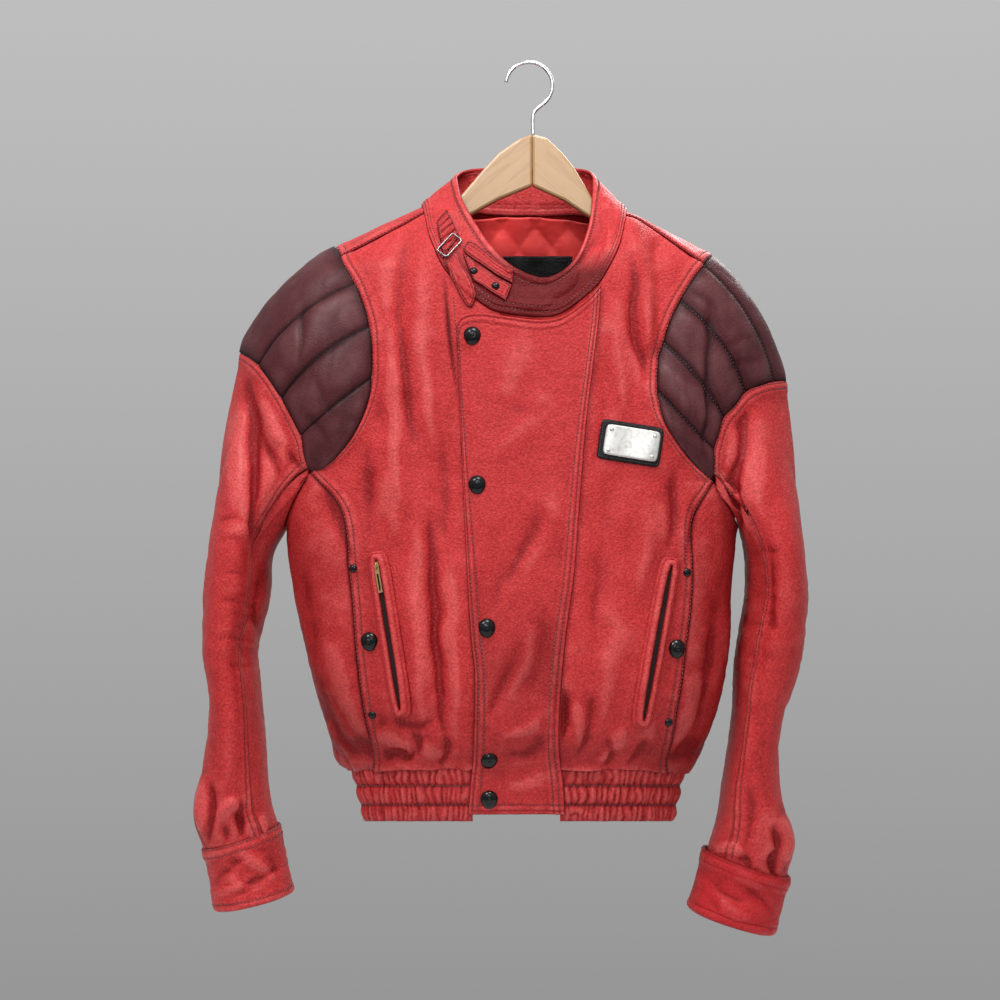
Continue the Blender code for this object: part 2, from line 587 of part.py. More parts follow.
def inset(grid, sides="tblr", amount=SEAM_GAP):
    """Grid whose outer points stand back from its edges along its own lines."""
    moved = grid.copy()
    if "l" in sides:
        moved[:, 0] += amount * unit(grid[:, 1] - grid[:, 0])
    if "r" in sides:
        moved[:, -1] += amount * unit(grid[:, -2] - grid[:, -1])
    if "t" in sides:
        moved[0] += amount * unit(grid[1] - grid[0])
    if "b" in sides:
        moved[-1] += amount * unit(grid[-2] - grid[-1])
    return moved


def grid_normals(grid, closed=False):
    """Normals of a grid, on the side from which its columns run right and its rows down."""
    if closed:
        across = np.roll(grid, -1, axis=1) - np.roll(grid, 1, axis=1)
    else:
        across = np.gradient(grid, axis=1)
    return unit(np.cross(np.gradient(grid, axis=0), across))


def tree_of(grids):
    """Search tree over grids, each quad split both ways, so that the nearest hit clears it."""
    points, faces = [], []
    for grid in grids:
        for a, b, c, d in grid_faces(grid.shape[0], grid.shape[1], len(points), False):
            faces += [(a, b, c), (a, c, d), (a, b, d), (b, c, d)]
        points += [Vector(point) for point in grid.reshape(-1, 3).tolist()]
    return BVHTree.FromPolygons(points, faces)


def laid_on(tree, x0, z0, origin=VIEW_POINT):
    """Where lines from origin through x0, z0 on the plane y = 0 meet a tree's faces."""
    start = Vector(origin)
    hits = []
    for x, z in zip(np.ravel(x0), np.ravel(z0)):
        aim = (Vector((x, 0, z)) - start).normalized()
        hit = tree.ray_cast(start, aim)[0]
        if hit is None:
            raise ValueError(f"nothing lies behind x {x:.1f}, z {z:.1f}")
        hits.append(hit)
    return np.array([tuple(hit) for hit in hits]).reshape(np.shape(x0) + (3,))


def lifted(grid, amount):
    """Grid moved out along its own normals."""
    return grid + amount * grid_normals(grid)


# ---- seams ---------------------------------------------------------------------------------

def front_wall(x0, z0):
    """Folded points and normals of the front wall seen at x0, z0."""
    normals = surface_normals(front_point, x0, z0, body_centre)
    return folded(front_point(x0, z0), normals), normals


def back_wall(x, climb):
    """Folded points and normals of the back wall."""
    normals = surface_normals(back_point, x, climb, body_centre)
    return folded(back_point(x, climb), normals), normals


def side_wall(angle, level):
    """Folded points and normals of the wall under an arm."""
    normals = surface_normals(side_point, angle, level, body_centre, angular=True)
    return folded(side_point(angle, level), normals), normals


def climbed(seam):
    """A seam seen from the front, as x and climb of the back wall."""
    x = front_point(seam[:, 0], seam[:, 1])[:, 0]
    return np.stack([x, climb_of_front(x, seam[:, 1])], axis=1)


class Seams:
    """Points that neighbouring pieces of one side share."""

    def __init__(self, side):
        self.side = side
        self.arm_front = run_edge(side.armhole, FRONT_RUNS)
        self.arm_back = self.back_armhole()
        self.shoulder = spaced(side.shoulder, SHOULDER_COUNT)
        self.princess = spaced(side.princess, PRINCESS_COUNT)
        self.back_seam = spaced([(self.at(u), z) for u, z in BACK_SEAM], PRINCESS_COUNT)
        self.underarm = self.underarm_arc()
        self.arm_ring, self.arm_normals = self.armhole_ring()
        self.head_ring = self.sleeve_head_ring()

    def at(self, u):
        return CENTRE_X + self.side.sign * u

    def back_armhole(self):
        """x and climb of the armhole from the shoulder seam over the ridge to the back corner."""
        ridge_x = self.at(self.side.ridge)
        crown = [tuple(climbed(self.arm_front[:1])[0]), (ridge_x, climb_of_turn(ridge_x, 90.0))]
        runs = [[(self.at(u), float(climb_of_level(self.at(u), z))) for u, z in run]
                for run in BACK_ARMHOLE]
        return run_edge([crown + runs[0]] + runs[1:], BACK_RUNS)

    def underarm_arc(self):
        """Angle and level of the underarm seam, from the front corner to the back corner."""
        front_level, back_level = self.arm_front[-1, 1], self.arm_back[-1, 1]
        front = float(side_angle(front_point(*self.arm_front[-1]), front_level))
        back = float(side_angle(back_point(*self.arm_back[-1]), back_level))
        t = np.linspace(0, 1, UNDERARM_COUNT + 1)
        dip = (front_level + back_level) / 2 - UNDERARM_LEVEL
        level = front_level + (back_level - front_level) * t - dip * np.sin(math.pi * t)
        return np.stack([front + (back - front) * t, level], axis=1)

    def armhole_ring(self):
        """Armhole in space from the front corner over the shoulder to the back corner."""
        front, front_normals = front_wall(*self.arm_front[::-1].T)
        back, back_normals = back_wall(*self.arm_back.T)
        return np.vstack([front, back[1:]]), np.vstack([front_normals, back_normals[1:]])

    def sleeve_head_ring(self):
        """Sleeve head in space, point for point opposite the armhole."""
        runs = []
        for i, run in enumerate(self.side.head):
            depths = np.linspace(*self.side.head_depth[i:i + 2], len(run))
            runs.append([tuple(placed(np.float64(x), np.float64(z), y))
                         for (x, z), y in zip(run, depths)])
        corner = self.arm_ring[-1] + HEAD_CORNER * np.array([self.side.sign, 1, 1])
        miss = corner - runs[-1][-1] * np.array([1, -1, 1])
        behind = []
        for i, run in enumerate(runs):
            parts = i + np.linspace(0, 1, len(run))
            behind.append([(x + miss[0] * t, -y + miss[1] * t, z + miss[2] * t)
                           for (x, y, z), t in zip(run, parts / len(runs))])
        crown_x, crown_z = self.side.crown
        crown = [runs[0][0], (crown_x, 0.0, crown_z)]
        front = run_edge(runs, FRONT_RUNS)
        back = run_edge([crown + behind[0]] + behind[1:], BACK_RUNS)
        return np.vstack([front[::-1], back[1:]])


class Neck:
    """Neck seam, from the right shoulder seam across the front and on round the back."""

    def __init__(self):
        self.seen_front = spaced(NECK_FRONT, NECK_FRONT_COUNT)
        ends = climbed(self.seen_front[[-1, 0]])
        behind = [(x, float(climb_of_turn(x, turn))) for x, turn in NECK_BACK]
        self.climb = spaced([tuple(ends[0])] + behind + [tuple(ends[1])], NECK_BACK_COUNT)
        front, front_normals = front_wall(*self.seen_front.T)
        back, back_normals = back_wall(*self.climb.T)
        self.ring = np.vstack([front, back[1:-1]])
        self.body_normals = np.vstack([front_normals, back_normals[1:-1]])


def facing_away(normals, grid, centre):
    """Normals turned so that they point away from a centre."""
    away = np.sum(normals * (grid - np.array(centre)))
    return normals if away > 0 else -normals


# ---- shoulder caps, sleeves and cuffs --------------------------------------------------------

def cap_form(seams):
    """Grid of the quilted cap without its channels, from armhole to sleeve head."""
    centre = np.array([seams.at(CAP_CENTRE[0]), 0.0, CAP_CENTRE[1]])
    span = np.linalg.norm(seams.head_ring - seams.arm_ring, axis=1, keepdims=True)
    bulge = CAP_BULGE * np.clip(span / CAP_FULL_SPAN, 0, 1) ** 2
    out = unit((seams.arm_ring + seams.head_ring) / 2 - centre)
    t = np.linspace(0, 1, CAP_ROWS + 1)[:, None, None]
    grid = (1 - t) * seams.arm_ring + t * seams.head_ring + 4 * t * (1 - t) * bulge * out
    return grid, facing_away(grid_normals(grid), grid, centre)


def channel_relief():
    """Height of each column of a cap over the leather between its quilting lines."""
    relief = [0.0]
    for count in list(FRONT_RUNS[::-1]) + list(BACK_RUNS):
        relief += [CAP_PUFF * math.sin(math.pi * i / count) ** 0.7 for i in range(1, count)] + [0.0]
    return np.array(relief)


def section(table, sign, level, angle):
    """Point of a sleeve's section at a level, at an angle from its outer side to its front."""
    x, y, wide, deep, tilt = (column_curve(table, k)(level) for k in (1, 2, 3, 4, 6))
    crease, square = column_curve(table, 5)(level), column_curve(table, 7)(level)
    cosine, sine = np.cos(np.radians(angle)), np.sin(np.radians(angle))
    shape = 1 - crease * np.exp(-((angle - CREASE_AT) / CREASE_SPREAD) ** 2)
    across = wide * shape * np.sign(cosine) * np.abs(cosine) ** (2 / square)
    ahead = deep * shape * np.sign(sine) * np.abs(sine) ** (2 / square)
    drop = np.tan(np.radians(tilt)) * across
    return np.stack([x + sign * across, y - ahead, level - drop], axis=-1)


def head_angles(ring, crescent):
    """Angle of section() that each point of a sleeve's upper edge runs down to."""
    lengths = np.concatenate([[0], np.cumsum(np.linalg.norm(np.diff(ring, axis=0), axis=1))])
    crown = np.interp(0, ring[:crescent, 1], lengths[:crescent])
    end = lengths[crescent - 1]
    whole = lengths[-1] + np.linalg.norm(ring[0] - ring[-1])
    angles = np.where(lengths <= crown, CORNER_ANGLE * (1 - lengths / crown),
                      -CORNER_ANGLE * (lengths - crown) / (end - crown))
    under = -CORNER_ANGLE - (360 - 2 * CORNER_ANGLE) * (lengths - end) / (whole - end)
    angles = np.where(lengths > end, under, angles)
    return np.where(angles < -180, angles + 360, angles)


def sleeve_form(seams, cap):
    """Closed grid of a sleeve from its head and the underarm down to the cuff."""
    table, sign = SLEEVES[seams.side.name], seams.side.sign
    underarm = side_wall(*seams.underarm[::-1].T)[0]
    ring = np.vstack([seams.head_ring, underarm[1:-1]])
    crescent = len(seams.head_ring)
    angles = head_angles(ring, crescent)
    top, end = table[0][0], table[-1][0]
    first = section(table, sign, top + 0 * angles, angles)
    below = section(table, sign, top - 10 + 0 * angles, angles)
    length = np.linalg.norm(first - ring, axis=1, keepdims=True)
    leave = unit(first - ring)
    leave[:crescent] = unit(leave[:crescent] + HEAD_EASE * unit(cap[-1] - cap[-2]))
    arrive = unit(below - first)
    t = np.linspace(0, 1, SLEEVE_ROWS[0] + 1)[:-1, None, None]
    upper = ((2 * t + 1) * (1 - t) ** 2 * ring + t * (1 - t) ** 2 * length * leave
             + t * t * (3 - 2 * t) * first - t * t * (1 - t) * length * arrive)
    levels = np.linspace(top, end, SLEEVE_ROWS[1] + 1)[:, None]
    lower = section(table, sign, levels + 0 * angles, angles + 0 * levels)
    return np.concatenate([upper, lower]), angles


def sleeve_out(grid):
    """Outward normals of a sleeve's closed grid."""
    normals = grid_normals(grid, closed=True)
    lowest, middle = grid[-1], grid[-1].mean(axis=0)
    return normals if np.sum(normals[-1] * (lowest - middle)) > 0 else -normals


def piece(name, grid, normals, kind, thickness=WALL, relief=0.0, sides="tblr", closed=False,
          gap=SEAM_GAP):
    """Wall whose outer side is a grid, raised by relief, over a plain inner side."""
    outer = inset(grid + relief * normals, sides, gap)
    wall(name, outer, inset(grid - thickness * normals, sides, gap), kind, closed)


def make_cap(seams, grid, normals):
    """Quilted shoulder cap, its channels raised between plain seams."""
    edge = np.full(CAP_ROWS + 1, 1.0)
    edge[[0, -1]] = 0.25
    relief = edge[:, None, None] * channel_relief()[None, :, None]
    return piece(f"shoulder_cap_{seams.side.name}", grid, normals, "maroon_leather", relief=relief,
                 gap=CAP_GAP)


def make_sleeve(seams, grid, normals):
    """Upper sleeve, under sleeve and elbow patch."""
    name, crescent = seams.side.name, len(seams.head_ring)
    piece(f"sleeve_{name}_upper", grid[:, :crescent], normals[:, :crescent], "red_leather")
    under = np.concatenate([np.arange(crescent - 1, grid.shape[1]), [0]])
    piece(f"sleeve_{name}_under", grid[:, under], normals[:, under], "red_leather")
    rows, cols = slice(*ELBOW_ROWS), slice(*ELBOW_COLS)
    patch_grid, patch_normals = grid[rows, cols], normals[rows, cols]
    patch_grid = inset(patch_grid + (ELBOW_WALL + SEAM_GAP) * patch_normals, amount=ELBOW_MARGIN)
    inner = inset(grid[rows, cols] + SEAM_GAP * patch_normals, amount=ELBOW_MARGIN)
    wall(f"elbow_patch_{name}", patch_grid, inner, "red_leather")


def make_cuff(side, angles):
    """Turned cuff below a sleeve."""
    table = CUFFS[side.name]
    levels = np.linspace(table[0][0], table[-1][0], CUFF_ROWS + 1)[:, None]
    grid = section(table, side.sign, levels + 0 * angles, angles + 0 * levels)
    centre = np.mean(grid, axis=(0, 1))
    normals = facing_away(grid_normals(grid, closed=True), grid, centre)
    piece(f"cuff_{side.name}", grid, normals, "red_leather", CUFF_WALL, sides="tb", closed=True)


# ---- body panels -----------------------------------------------------------------------------

def front_field(seams, neck):
    """x and z of a front panel's grid, and the places in the neck seam along its inner edge."""
    right = seams.side is RIGHT
    limit, foot = (RIGHT_FRONT_TOP, RIGHT_FRONT_FOOT) if right else (LEFT_FRONT_TOP, LEFT_FRONT_FOOT)
    stop = int(np.argmin(np.abs(neck.seen_front[:, 0] - limit)))
    chosen = np.arange(stop + 1) if right else np.arange(NECK_FRONT_COUNT, stop - 1, -1)
    outer = np.vstack([seams.arm_front, seams.princess[1:]])
    neck_edge = neck.seen_front[chosen]
    front_edge = even(np.array([neck_edge[-1], (foot, HEM_TOP)]), len(outer) - len(chosen))
    inner = np.vstack([neck_edge, front_edge[1:]])
    left, right_edge = (outer, inner) if right else (inner, outer)
    top = seams.shoulder[::-1] if right else seams.shoulder
    bottom = even(np.array([left[-1], right_edge[-1]]), SHOULDER_COUNT)
    return patch(top, bottom, left, right_edge), chosen


def make_front(seams, neck, shared_neck, shared_arm):
    """Front panel of one side, from the shoulder and neck seams to the hem band."""
    field, chosen = front_field(seams, neck)
    grid, normals = front_wall(field[..., 0], field[..., 1])
    arm_edge, neck_edge = (0, -1) if seams.side is RIGHT else (-1, 0)
    arm_rows = len(seams.arm_front)
    normals[:arm_rows, arm_edge] = shared_arm[:arm_rows][::-1]
    normals[:len(chosen), neck_edge] = shared_neck[chosen]
    piece(f"front_{seams.side.name}", grid, normals, "red_leather")
    return grid, grid - WALL * normals


def make_side(seams):
    """Panel under an arm, between the front and back lapped seams."""
    front_points = front_point(*seams.princess.T)
    back_points = back_point(*seams.back_seam.T)
    front = np.stack([side_angle(front_points, seams.princess[:, 1]), seams.princess[:, 1]], axis=1)
    back = np.stack([side_angle(back_points, seams.back_seam[:, 1]), seams.back_seam[:, 1]], axis=1)
    bottom = even(np.array([front[-1], back[-1]]), UNDERARM_COUNT)
    field = patch(seams.underarm, bottom, front, back)
    grid, normals = side_wall(field[..., 0], field[..., 1])
    piece(f"side_{seams.side.name}", grid, normals, "red_leather")
    return grid


def back_field(left, right, neck):
    """x and climb of the back's grid: one block on each shoulder and one below the neck.

    The cells between the shoulder blocks are the neck's notch, where the piece has no cloth.
    """
    down, last = NOTCH_ROWS, NECK_BACK_COUNT - NOTCH_ROWS
    corners = neck.climb[down], neck.climb[last]
    across = [even(np.array([left.arm_back[down], corners[0]]), SHOULDER_COUNT),
              even(np.array([corners[1], right.arm_back[down]]), SHOULDER_COUNT)]
    shoulders = [patch(climbed(left.shoulder[::-1]), across[0], left.arm_back[:down + 1],
                       neck.climb[:down + 1]),
                 patch(climbed(right.shoulder), across[1], neck.climb[last:][::-1],
                       right.arm_back[:down + 1])]
    top = np.vstack([across[0], neck.climb[down + 1:last], across[1]])
    left_edge = np.vstack([left.arm_back[down:], left.back_seam[1:]])
    right_edge = np.vstack([right.arm_back[down:], right.back_seam[1:]])
    bottom = even(np.array([left_edge[-1], right_edge[-1]]), len(top) - 1)
    below = patch(top, bottom, left_edge, right_edge)
    notch = np.repeat(top[None, SHOULDER_COUNT + 1:-SHOULDER_COUNT - 1], down, axis=0)
    above = np.concatenate([shoulders[0][:-1], notch, shoulders[1][:-1]], axis=1)
    return np.concatenate([above, below])


def make_back(left, right, neck, shared_neck, shared_arms):
    """Back panel, which wraps forward over both shoulders to their seams."""
    field = back_field(left, right, neck)
    grid, normals = back_wall(field[..., 0], field[..., 1])
    arm_rows, down = len(left.arm_back), NOTCH_ROWS
    first, last = SHOULDER_COUNT, grid.shape[1] - 1 - SHOULDER_COUNT
    normals[:arm_rows, 0] = shared_arms["left"][-arm_rows:]
    normals[:arm_rows, -1] = shared_arms["right"][-arm_rows:]
    behind = np.vstack([shared_neck[NECK_FRONT_COUNT:], shared_neck[:1]])
    normals[:down + 1, first] = behind[:down + 1]
    normals[down, first:last + 1] = behind[down:-down]
    normals[:down + 1, last] = behind[-down - 1:][::-1]
    cells = np.ones((grid.shape[0] - 1, grid.shape[1] - 1), dtype=bool)
    cells[:down, first:last] = False
    sides = []
    for depth in (0.0, WALL):
        side = grid - depth * normals
        moved = inset(side)
        moved[down, first:last + 1] += SEAM_GAP * unit(side[down + 1] - side[down])[first:last + 1]
        for edge, beside in ((first, first - 1), (last, last + 1)):
            moved[:down + 1, edge] += SEAM_GAP * unit(side[:, beside] - side[:, edge])[:down + 1]
        sides.append(moved)
    cut_wall("back", sides[0], sides[1], cells, "red_leather")
    inner = grid - WALL * normals
    return [inner[:down + 1, :first + 1], inner[:down + 1, last:], inner[down:]]


def make_flap():
    """Front flap over both fronts, from the neck seam to the hem."""
    rows, cols = FLAP_COUNTS
    top, left = spaced(FLAP_TOP, cols), spaced(FLAP_FREE_EDGE, rows)
    right = spaced(FLAP_SEAM_EDGE, rows)
    bottom = even(np.array([left[-1], right[-1]]), cols)
    field = patch(top, bottom, left, right)
    grid, normals = front_wall(field[..., 0], field[..., 1])
    across = np.linspace(0, 1, cols + 1)[None, :, None]
    down = np.exp(-((field[..., 1:] - FLAP_OPEN_LEVEL) / FLAP_OPEN_LENGTH) ** 2)
    lift = FLAP_LIFT + FLAP_OPEN * down * np.clip(1 - 3 * across, 0, 1)
    grid = grid + lift * normals
    sheet("front_flap", grid, WALL, "red_leather")
    return grid


def uneven(index, low, high):
    """A fixed value between low and high that differs from one index to the next."""
    return low + (high - low) * (math.sin(index * 12.9898 + 4.1) * 43758.5453 % 1.0)


def make_hem_band(name, start, end, gathers):
    """Gathered elastic band; start and end give its ends' angle round the body at each level."""
    levels = np.linspace(HEM_TOP, HEM_BOTTOM, 2 * CHANNELS + 1)[:, None]
    first, last = start(levels), end(levels)
    fine = np.linspace(float(first[0, 0]), float(last[0, 0]), 200)
    path = side_point(fine, HEM_TOP + 0 * fine)
    lengths = np.concatenate([[0], np.cumsum(np.linalg.norm(np.diff(path, axis=0), axis=1))])
    top = np.interp(np.linspace(0, lengths[-1], 2 * gathers + 1), lengths, fine)
    share = (top - top[0]) / (top[-1] - top[0])
    angles = first + (last - first) * share
    grid = side_point(angles, levels + 0 * angles)
    normals = surface_normals(side_point, angles, levels + 0 * angles, body_centre, angular=True)
    relief = np.zeros(grid.shape[:2])
    for row in range(1, 2 * CHANNELS, 2):
        for column in range(1, 2 * gathers):
            height = GATHER_LOW if column % 2 == 0 else GATHER_HIGH
            relief[row, column] = height * uneven(7 * row + column, 0.75, 1.15)
    inner = inset(grid[[0, -1]] - HEM_INSIDE * normals[[0, -1]])
    wall(name, inset(grid + relief[..., None] * normals), inner, "red_leather")


def hem_angle(x0):
    """Angle round the body, at each level of the hem, of what is seen at x0 from the front."""
    return lambda levels: side_angle(front_point(x0, levels), levels)


def seam_angle(side, turns=0.0):
    """The angle of a side's back seam at every level of the hem, some turns further round."""
    at_seam = float(side_angle(back_point(*side.back_seam[-1]), HEM_TOP)) + 2 * math.pi * turns
    return lambda levels: at_seam + 0 * levels


def make_hem(left, right):
    """Three gathered bands: one to each side of the flap, one behind."""
    make_hem_band("hem_band_right", seam_angle(right),
                  hem_angle(FLAP_FREE_EDGE[-1][0] - HEM_CLEAR), GATHERS["right"] + GATHERS["side"])
    make_hem_band("hem_band_left", hem_angle(FLAP_SEAM_EDGE[-1][0] + HEM_CLEAR),
                  seam_angle(left), GATHERS["left"] + GATHERS["side"])
    make_hem_band("hem_band_back", seam_angle(left), seam_angle(right, 1), GATHERS["back"])


# ---- collar ----------------------------------------------------------------------------------

def collar_form(neck):
    """Closed grid of the collar from its top edge down to the neck seam."""
    front = spaced(COLLAR_TOP_FRONT, NECK_FRONT_COUNT)
    back = spaced(COLLAR_TOP_BACK, NECK_BACK_COUNT)
    top = np.vstack([front, back[1:-1]])
    out = unit((neck.ring - np.mean(neck.ring, axis=0)) * (1, 1, 0))
    t = np.linspace(0, 1, COLLAR_ROWS + 1)[:, None, None]
    grid = (1 - t) * top + t * neck.ring + 4 * t * (1 - t) * COLLAR_BULGE * out
    return grid, facing_away(grid_normals(grid, closed=True), grid, np.mean(grid, axis=(0, 1)))


def make_strap(name, tree):
    """Flat strap between its two long edges, laid on the cloth below it."""
    edges = [spaced(edge, STRAP_STEPS) for edge in STRAPS[name]]
    share = np.linspace(0, 1, STRAP_ACROSS)[:, None, None]
    flat = (1 - share) * edges[0] + share * edges[1]
    grid = laid_on(tree, flat[..., 0], flat[..., 1])
    if grid_normals(grid)[1, 1, 1] > 0:
        grid = grid[::-1]
    grid = lifted(grid, STRAP_SEAT + STRAP_WALL)
    sheet(name, grid, STRAP_WALL, "red_leather")
    return grid


# ---- small pieces on the cloth ------------------------------------------------------------------

def frame_on(tree, x0, z0, radius):
    """Seat on the cloth: a point clear of it all over a radius, and the outward normal."""
    around = np.linspace(0, 2 * math.pi, 9)[:-1]
    spots = [(x0 + r * np.cos(around), z0 + r * np.sin(around)) for r in (radius, radius / 2)]
    spots = np.concatenate(spots + [np.array([[x0], [z0]])], axis=1)
    hits = laid_on(tree, spots[0], spots[1])
    normal = unit(np.cross(hits[2] - hits[6], hits[0] - hits[4]))
    if normal[1] > 0:
        normal = -normal
    rise = max(0.0, float(np.max((hits - hits[-1]) @ normal)))
    return hits[-1] + normal * (rise + FASTENER_SEAT), normal


def turned(name, profile, point, normal, steps, kind):
    """Turned piece: radius and height pairs from the top of its axis to the bottom."""
    mesh = bpy.data.meshes.new(name)
    mesh.from_pydata([(r * MM, 0, h * MM) for r, h in profile],
                     [(i, i + 1) for i in range(len(profile) - 1)], [])
    obj = add_object(name, mesh, kind)
    screw = obj.modifiers.new("turned", "SCREW")
    screw.steps = screw.render_steps = steps
    screw.use_merge_vertices = True
    screw.merge_threshold = 0.00001
    obj.location = Vector(point) * MM
    obj.rotation_mode = "QUATERNION"
    obj.rotation_quaternion = Vector(normal).to_track_quat("Z", "Y")


def dome(radius, height):
    return [(0, height), (0.5 * radius, 0.93 * height), (0.86 * radius, 0.62 * height),
            (radius, 0.22 * height), (0.93 * radius, 0), (0, 0)]


def low_dome(radius, height):
    return [(0, height), (0.7 * radius, 0.72 * height), (radius, 0.2 * height), (0.9 * radius, 0),
            (0, 0)]


def make_fasteners(flap, fronts, tab):
    """Snaps, rivets and studs where the tables put them."""
    snap, rivet = dome(SNAP_RADIUS, SNAP_HEIGHT), low_dome(RIVET_RADIUS, RIVET_HEIGHT)
    for name, spots, tree, seat, profile, steps in (
            ("flap_snap", FLAP_SNAPS, flap, SNAP_RADIUS, snap, SNAP_STEPS),
            ("pocket_snap", POCKET_SNAPS, fronts, SNAP_RADIUS, snap, SNAP_STEPS),
            ("pocket_rivet", POCKET_RIVETS, fronts, RIVET_RADIUS, rivet, RIVET_STEPS),
            ("collar_stud", COLLAR_STUDS, tab, RIVET_RADIUS / 2, rivet, RIVET_STEPS)):
        for i, (x0, z0) in enumerate(spots):
            point, normal = frame_on(tree, x0, z0, seat)
            turned(f"{name}_{i + 1}", profile, point, normal, steps, "black_enamel")


def slot_ring(top, bottom, half, extra, count):
    """x and z round a slot with rounded ends, half wide and extra longer at both ends."""
    top, bottom = np.array(top, float), np.array(bottom, float)
    down = unit(bottom - top)
    across = np.array([-down[1], down[0]])
    start, stop = top - down * extra, bottom + down * extra
    corner = half * 0.35
    outline = [start + across * (half - corner), start + across * half + down * corner]
    side = [start + (stop - start) * s + across * half for s in np.linspace(0, 1, count)[1:-1]]
    outline += side + [stop + across * half - down * corner, stop + across * (half - corner)]
    outline += [stop - across * (half - corner), stop - across * half - down * corner]
    side = [start + (stop - start) * s - across * half for s in np.linspace(1, 0, count)[1:-1]]
    outline += side + [start - across * half + down * corner, start - across * (half - corner)]
    return np.array(outline)


def make_pocket(name, ends, tree):
    """Welt with a long slot, and the closed zip's tape in the slot."""
    top, bottom = ends
    rings = [slot_ring(top, bottom, SLOT_HALF + share * (WELT_HALF - SLOT_HALF),
                       1 + share * WELT_END, WELT_COUNT) for share in (0.0, 0.5, 1.0)]
    flat = np.array(rings)
    seat = laid_on(tree, flat[..., 0], flat[..., 1])
    normals = grid_normals(seat, closed=True)
    normals = facing_away(normals, seat, seat.mean(axis=(0, 1)) + (0, 200, 0))
    outer = seat + (WELT_SEAT + WELT_WALL) * normals
    outer[1] += WELT_CROWN * normals[1]
    wall(f"pocket_welt_{name}", outer, seat + WELT_SEAT * normals, "red_leather", closed=True)
    middle = spaced([top, bottom], WELT_COUNT + 2)
    down = unit(middle[-1] - middle[0])
    across = np.array([-down[1], down[0]]) * (SLOT_HALF - 2 * SEAM_GAP)
    flat = np.stack([middle - across, middle, middle + across])
    grid = laid_on(tree, flat[..., 0], flat[..., 1])
    if grid_normals(grid)[1, 1, 1] > 0:
        grid = grid[::-1]
    grid = lifted(grid, WELT_SEAT + ZIP_TAPE)
    sheet(f"pocket_zip_{name}", grid, ZIP_TAPE, "zip_tape")


def box_at(name, size, centre, axes, kind, edge):
    """Box with its own axes and bevelled edges, its size along (across, up the zip, out)."""
    bpy.ops.mesh.primitive_cube_add(size=1)
    obj = bpy.context.object
    obj.name = obj.data.name = name
    for collection in obj.users_collection:
        collection.objects.unlink(obj)
    bpy.data.collections[COLLECTION].objects.link(obj)
    obj.data.materials.append(finish_of(kind))
    for vertex in obj.data.vertices:
        vertex.co = Vector([vertex.co[k] * size[k] * MM for k in range(3)])
    modifier = obj.modifiers.new("edges", "BEVEL")
    modifier.width = edge * MM
    modifier.segments = 1
    place(obj, centre, axes)


def place(obj, centre, axes):
    """Put an object at a point, turned to three axes."""
    turn = np.array(axes).T
    rows = [[*turn[i], centre[i] * MM] for i in range(3)]
    obj.matrix_world = Matrix(rows + [[0, 0, 0, 1]])


def zip_axes(tree):
    """Origin and axes (across, up along the zip, outward) of the slider on the right pocket."""
    top, bottom = np.array(POCKETS["right"][0]), np.array(POCKETS["right"][1])
    down = unit(bottom - top)
    spot = top + down * ZIP_SLIDER_DOWN
    point, below = laid_on(tree, np.array([spot[0], spot[0] + 12 * down[0]]),
                           np.array([spot[1], spot[1] + 12 * down[1]]))
    side = laid_on(tree, np.array([spot[0] + 2]), np.array([spot[1]]))[0]
    up = unit(point - below)
    normal = unit(np.cross(side - point, up))
    normal = normal if normal[1] < 0 else -normal
    return point, (np.cross(up, normal), up, normal)


def flat_shape(name, outlines, thickness, centre, axes, kind):
    """Flat piece from closed outlines (the first one solid, the others holes in it)."""
    curve = bpy.data.curves.new(name, "CURVE")
    curve.dimensions = "2D"
    curve.fill_mode = "BOTH"
    curve.extrude = thickness / 2 * MM
    for outline in outlines:
        spline = curve.splines.new("POLY")
        spline.points.add(len(outline) - 1)
        for point, (x, y) in zip(spline.points, outline):
            point.co = (x * MM, y * MM, 0, 1)
        spline.use_cyclic_u = True
    place(add_object(name, curve, kind), centre, axes)


def rounded_box(width, low, high, radius, steps=3):
    """Outline of a rectangle with round corners, from low to high."""
    outline = []
    half = width / 2 - radius
    for cx, cy, start in ((half, high - radius, 0), (-half, high - radius, 90),
                          (-half, low + radius, 180), (half, low + radius, 270)):
        for step in range(steps + 1):
            angle = math.radians(start + 90 * step / steps)
            outline.append((cx + radius * math.cos(angle), cy + radius * math.sin(angle)))
    return outline


def make_zip_hardware(tree):
    """Slider and its bail, fixed, and the pull tab that swings from the bail."""
    point, axes = zip_axes(tree)
    across, up, out = axes
    base = WELT_SEAT + ZIP_TAPE + SEAM_GAP
    box_at("zip_slider", SLIDER_SIZE, point + out * (base + SLIDER_SIZE[2] / 2), axes, "brass",
           SLIDER_EDGE)
    foot = base + SLIDER_SIZE[2] + SEAM_GAP
    room = foot + BAIL_FOOT
    outside = rounded_box(BAIL_LENGTH, foot, room + BAIL_ROOM + BAIL_BAR, 0.9)
    inside = rounded_box(BAIL_LENGTH - 2 * BAIL_BAR, room, room + BAIL_ROOM, 0.5)
    flat_shape("zip_bail", [outside, inside], BAIL_WIDE, point, (up, out, across), "brass")
    pivot = point + out * (room + BAIL_ROOM / 2)
    bar = PULL_THICK / 2
    outlines = [rounded_box(PULL_WIDTH, -PULL_LENGTH, bar, 0.55),
                rounded_box(PULL_EYE[0], -PULL_EYE[1], -bar, 0.4),
                rounded_box(PULL_SLOT[0], PULL_SLOT[1], PULL_SLOT[2], 0.7)]
    flat_shape("zip_pull", outlines, PULL_THICK, pivot, axes, "brass")


# ---- plate, lining and label --------------------------------------------------------------------

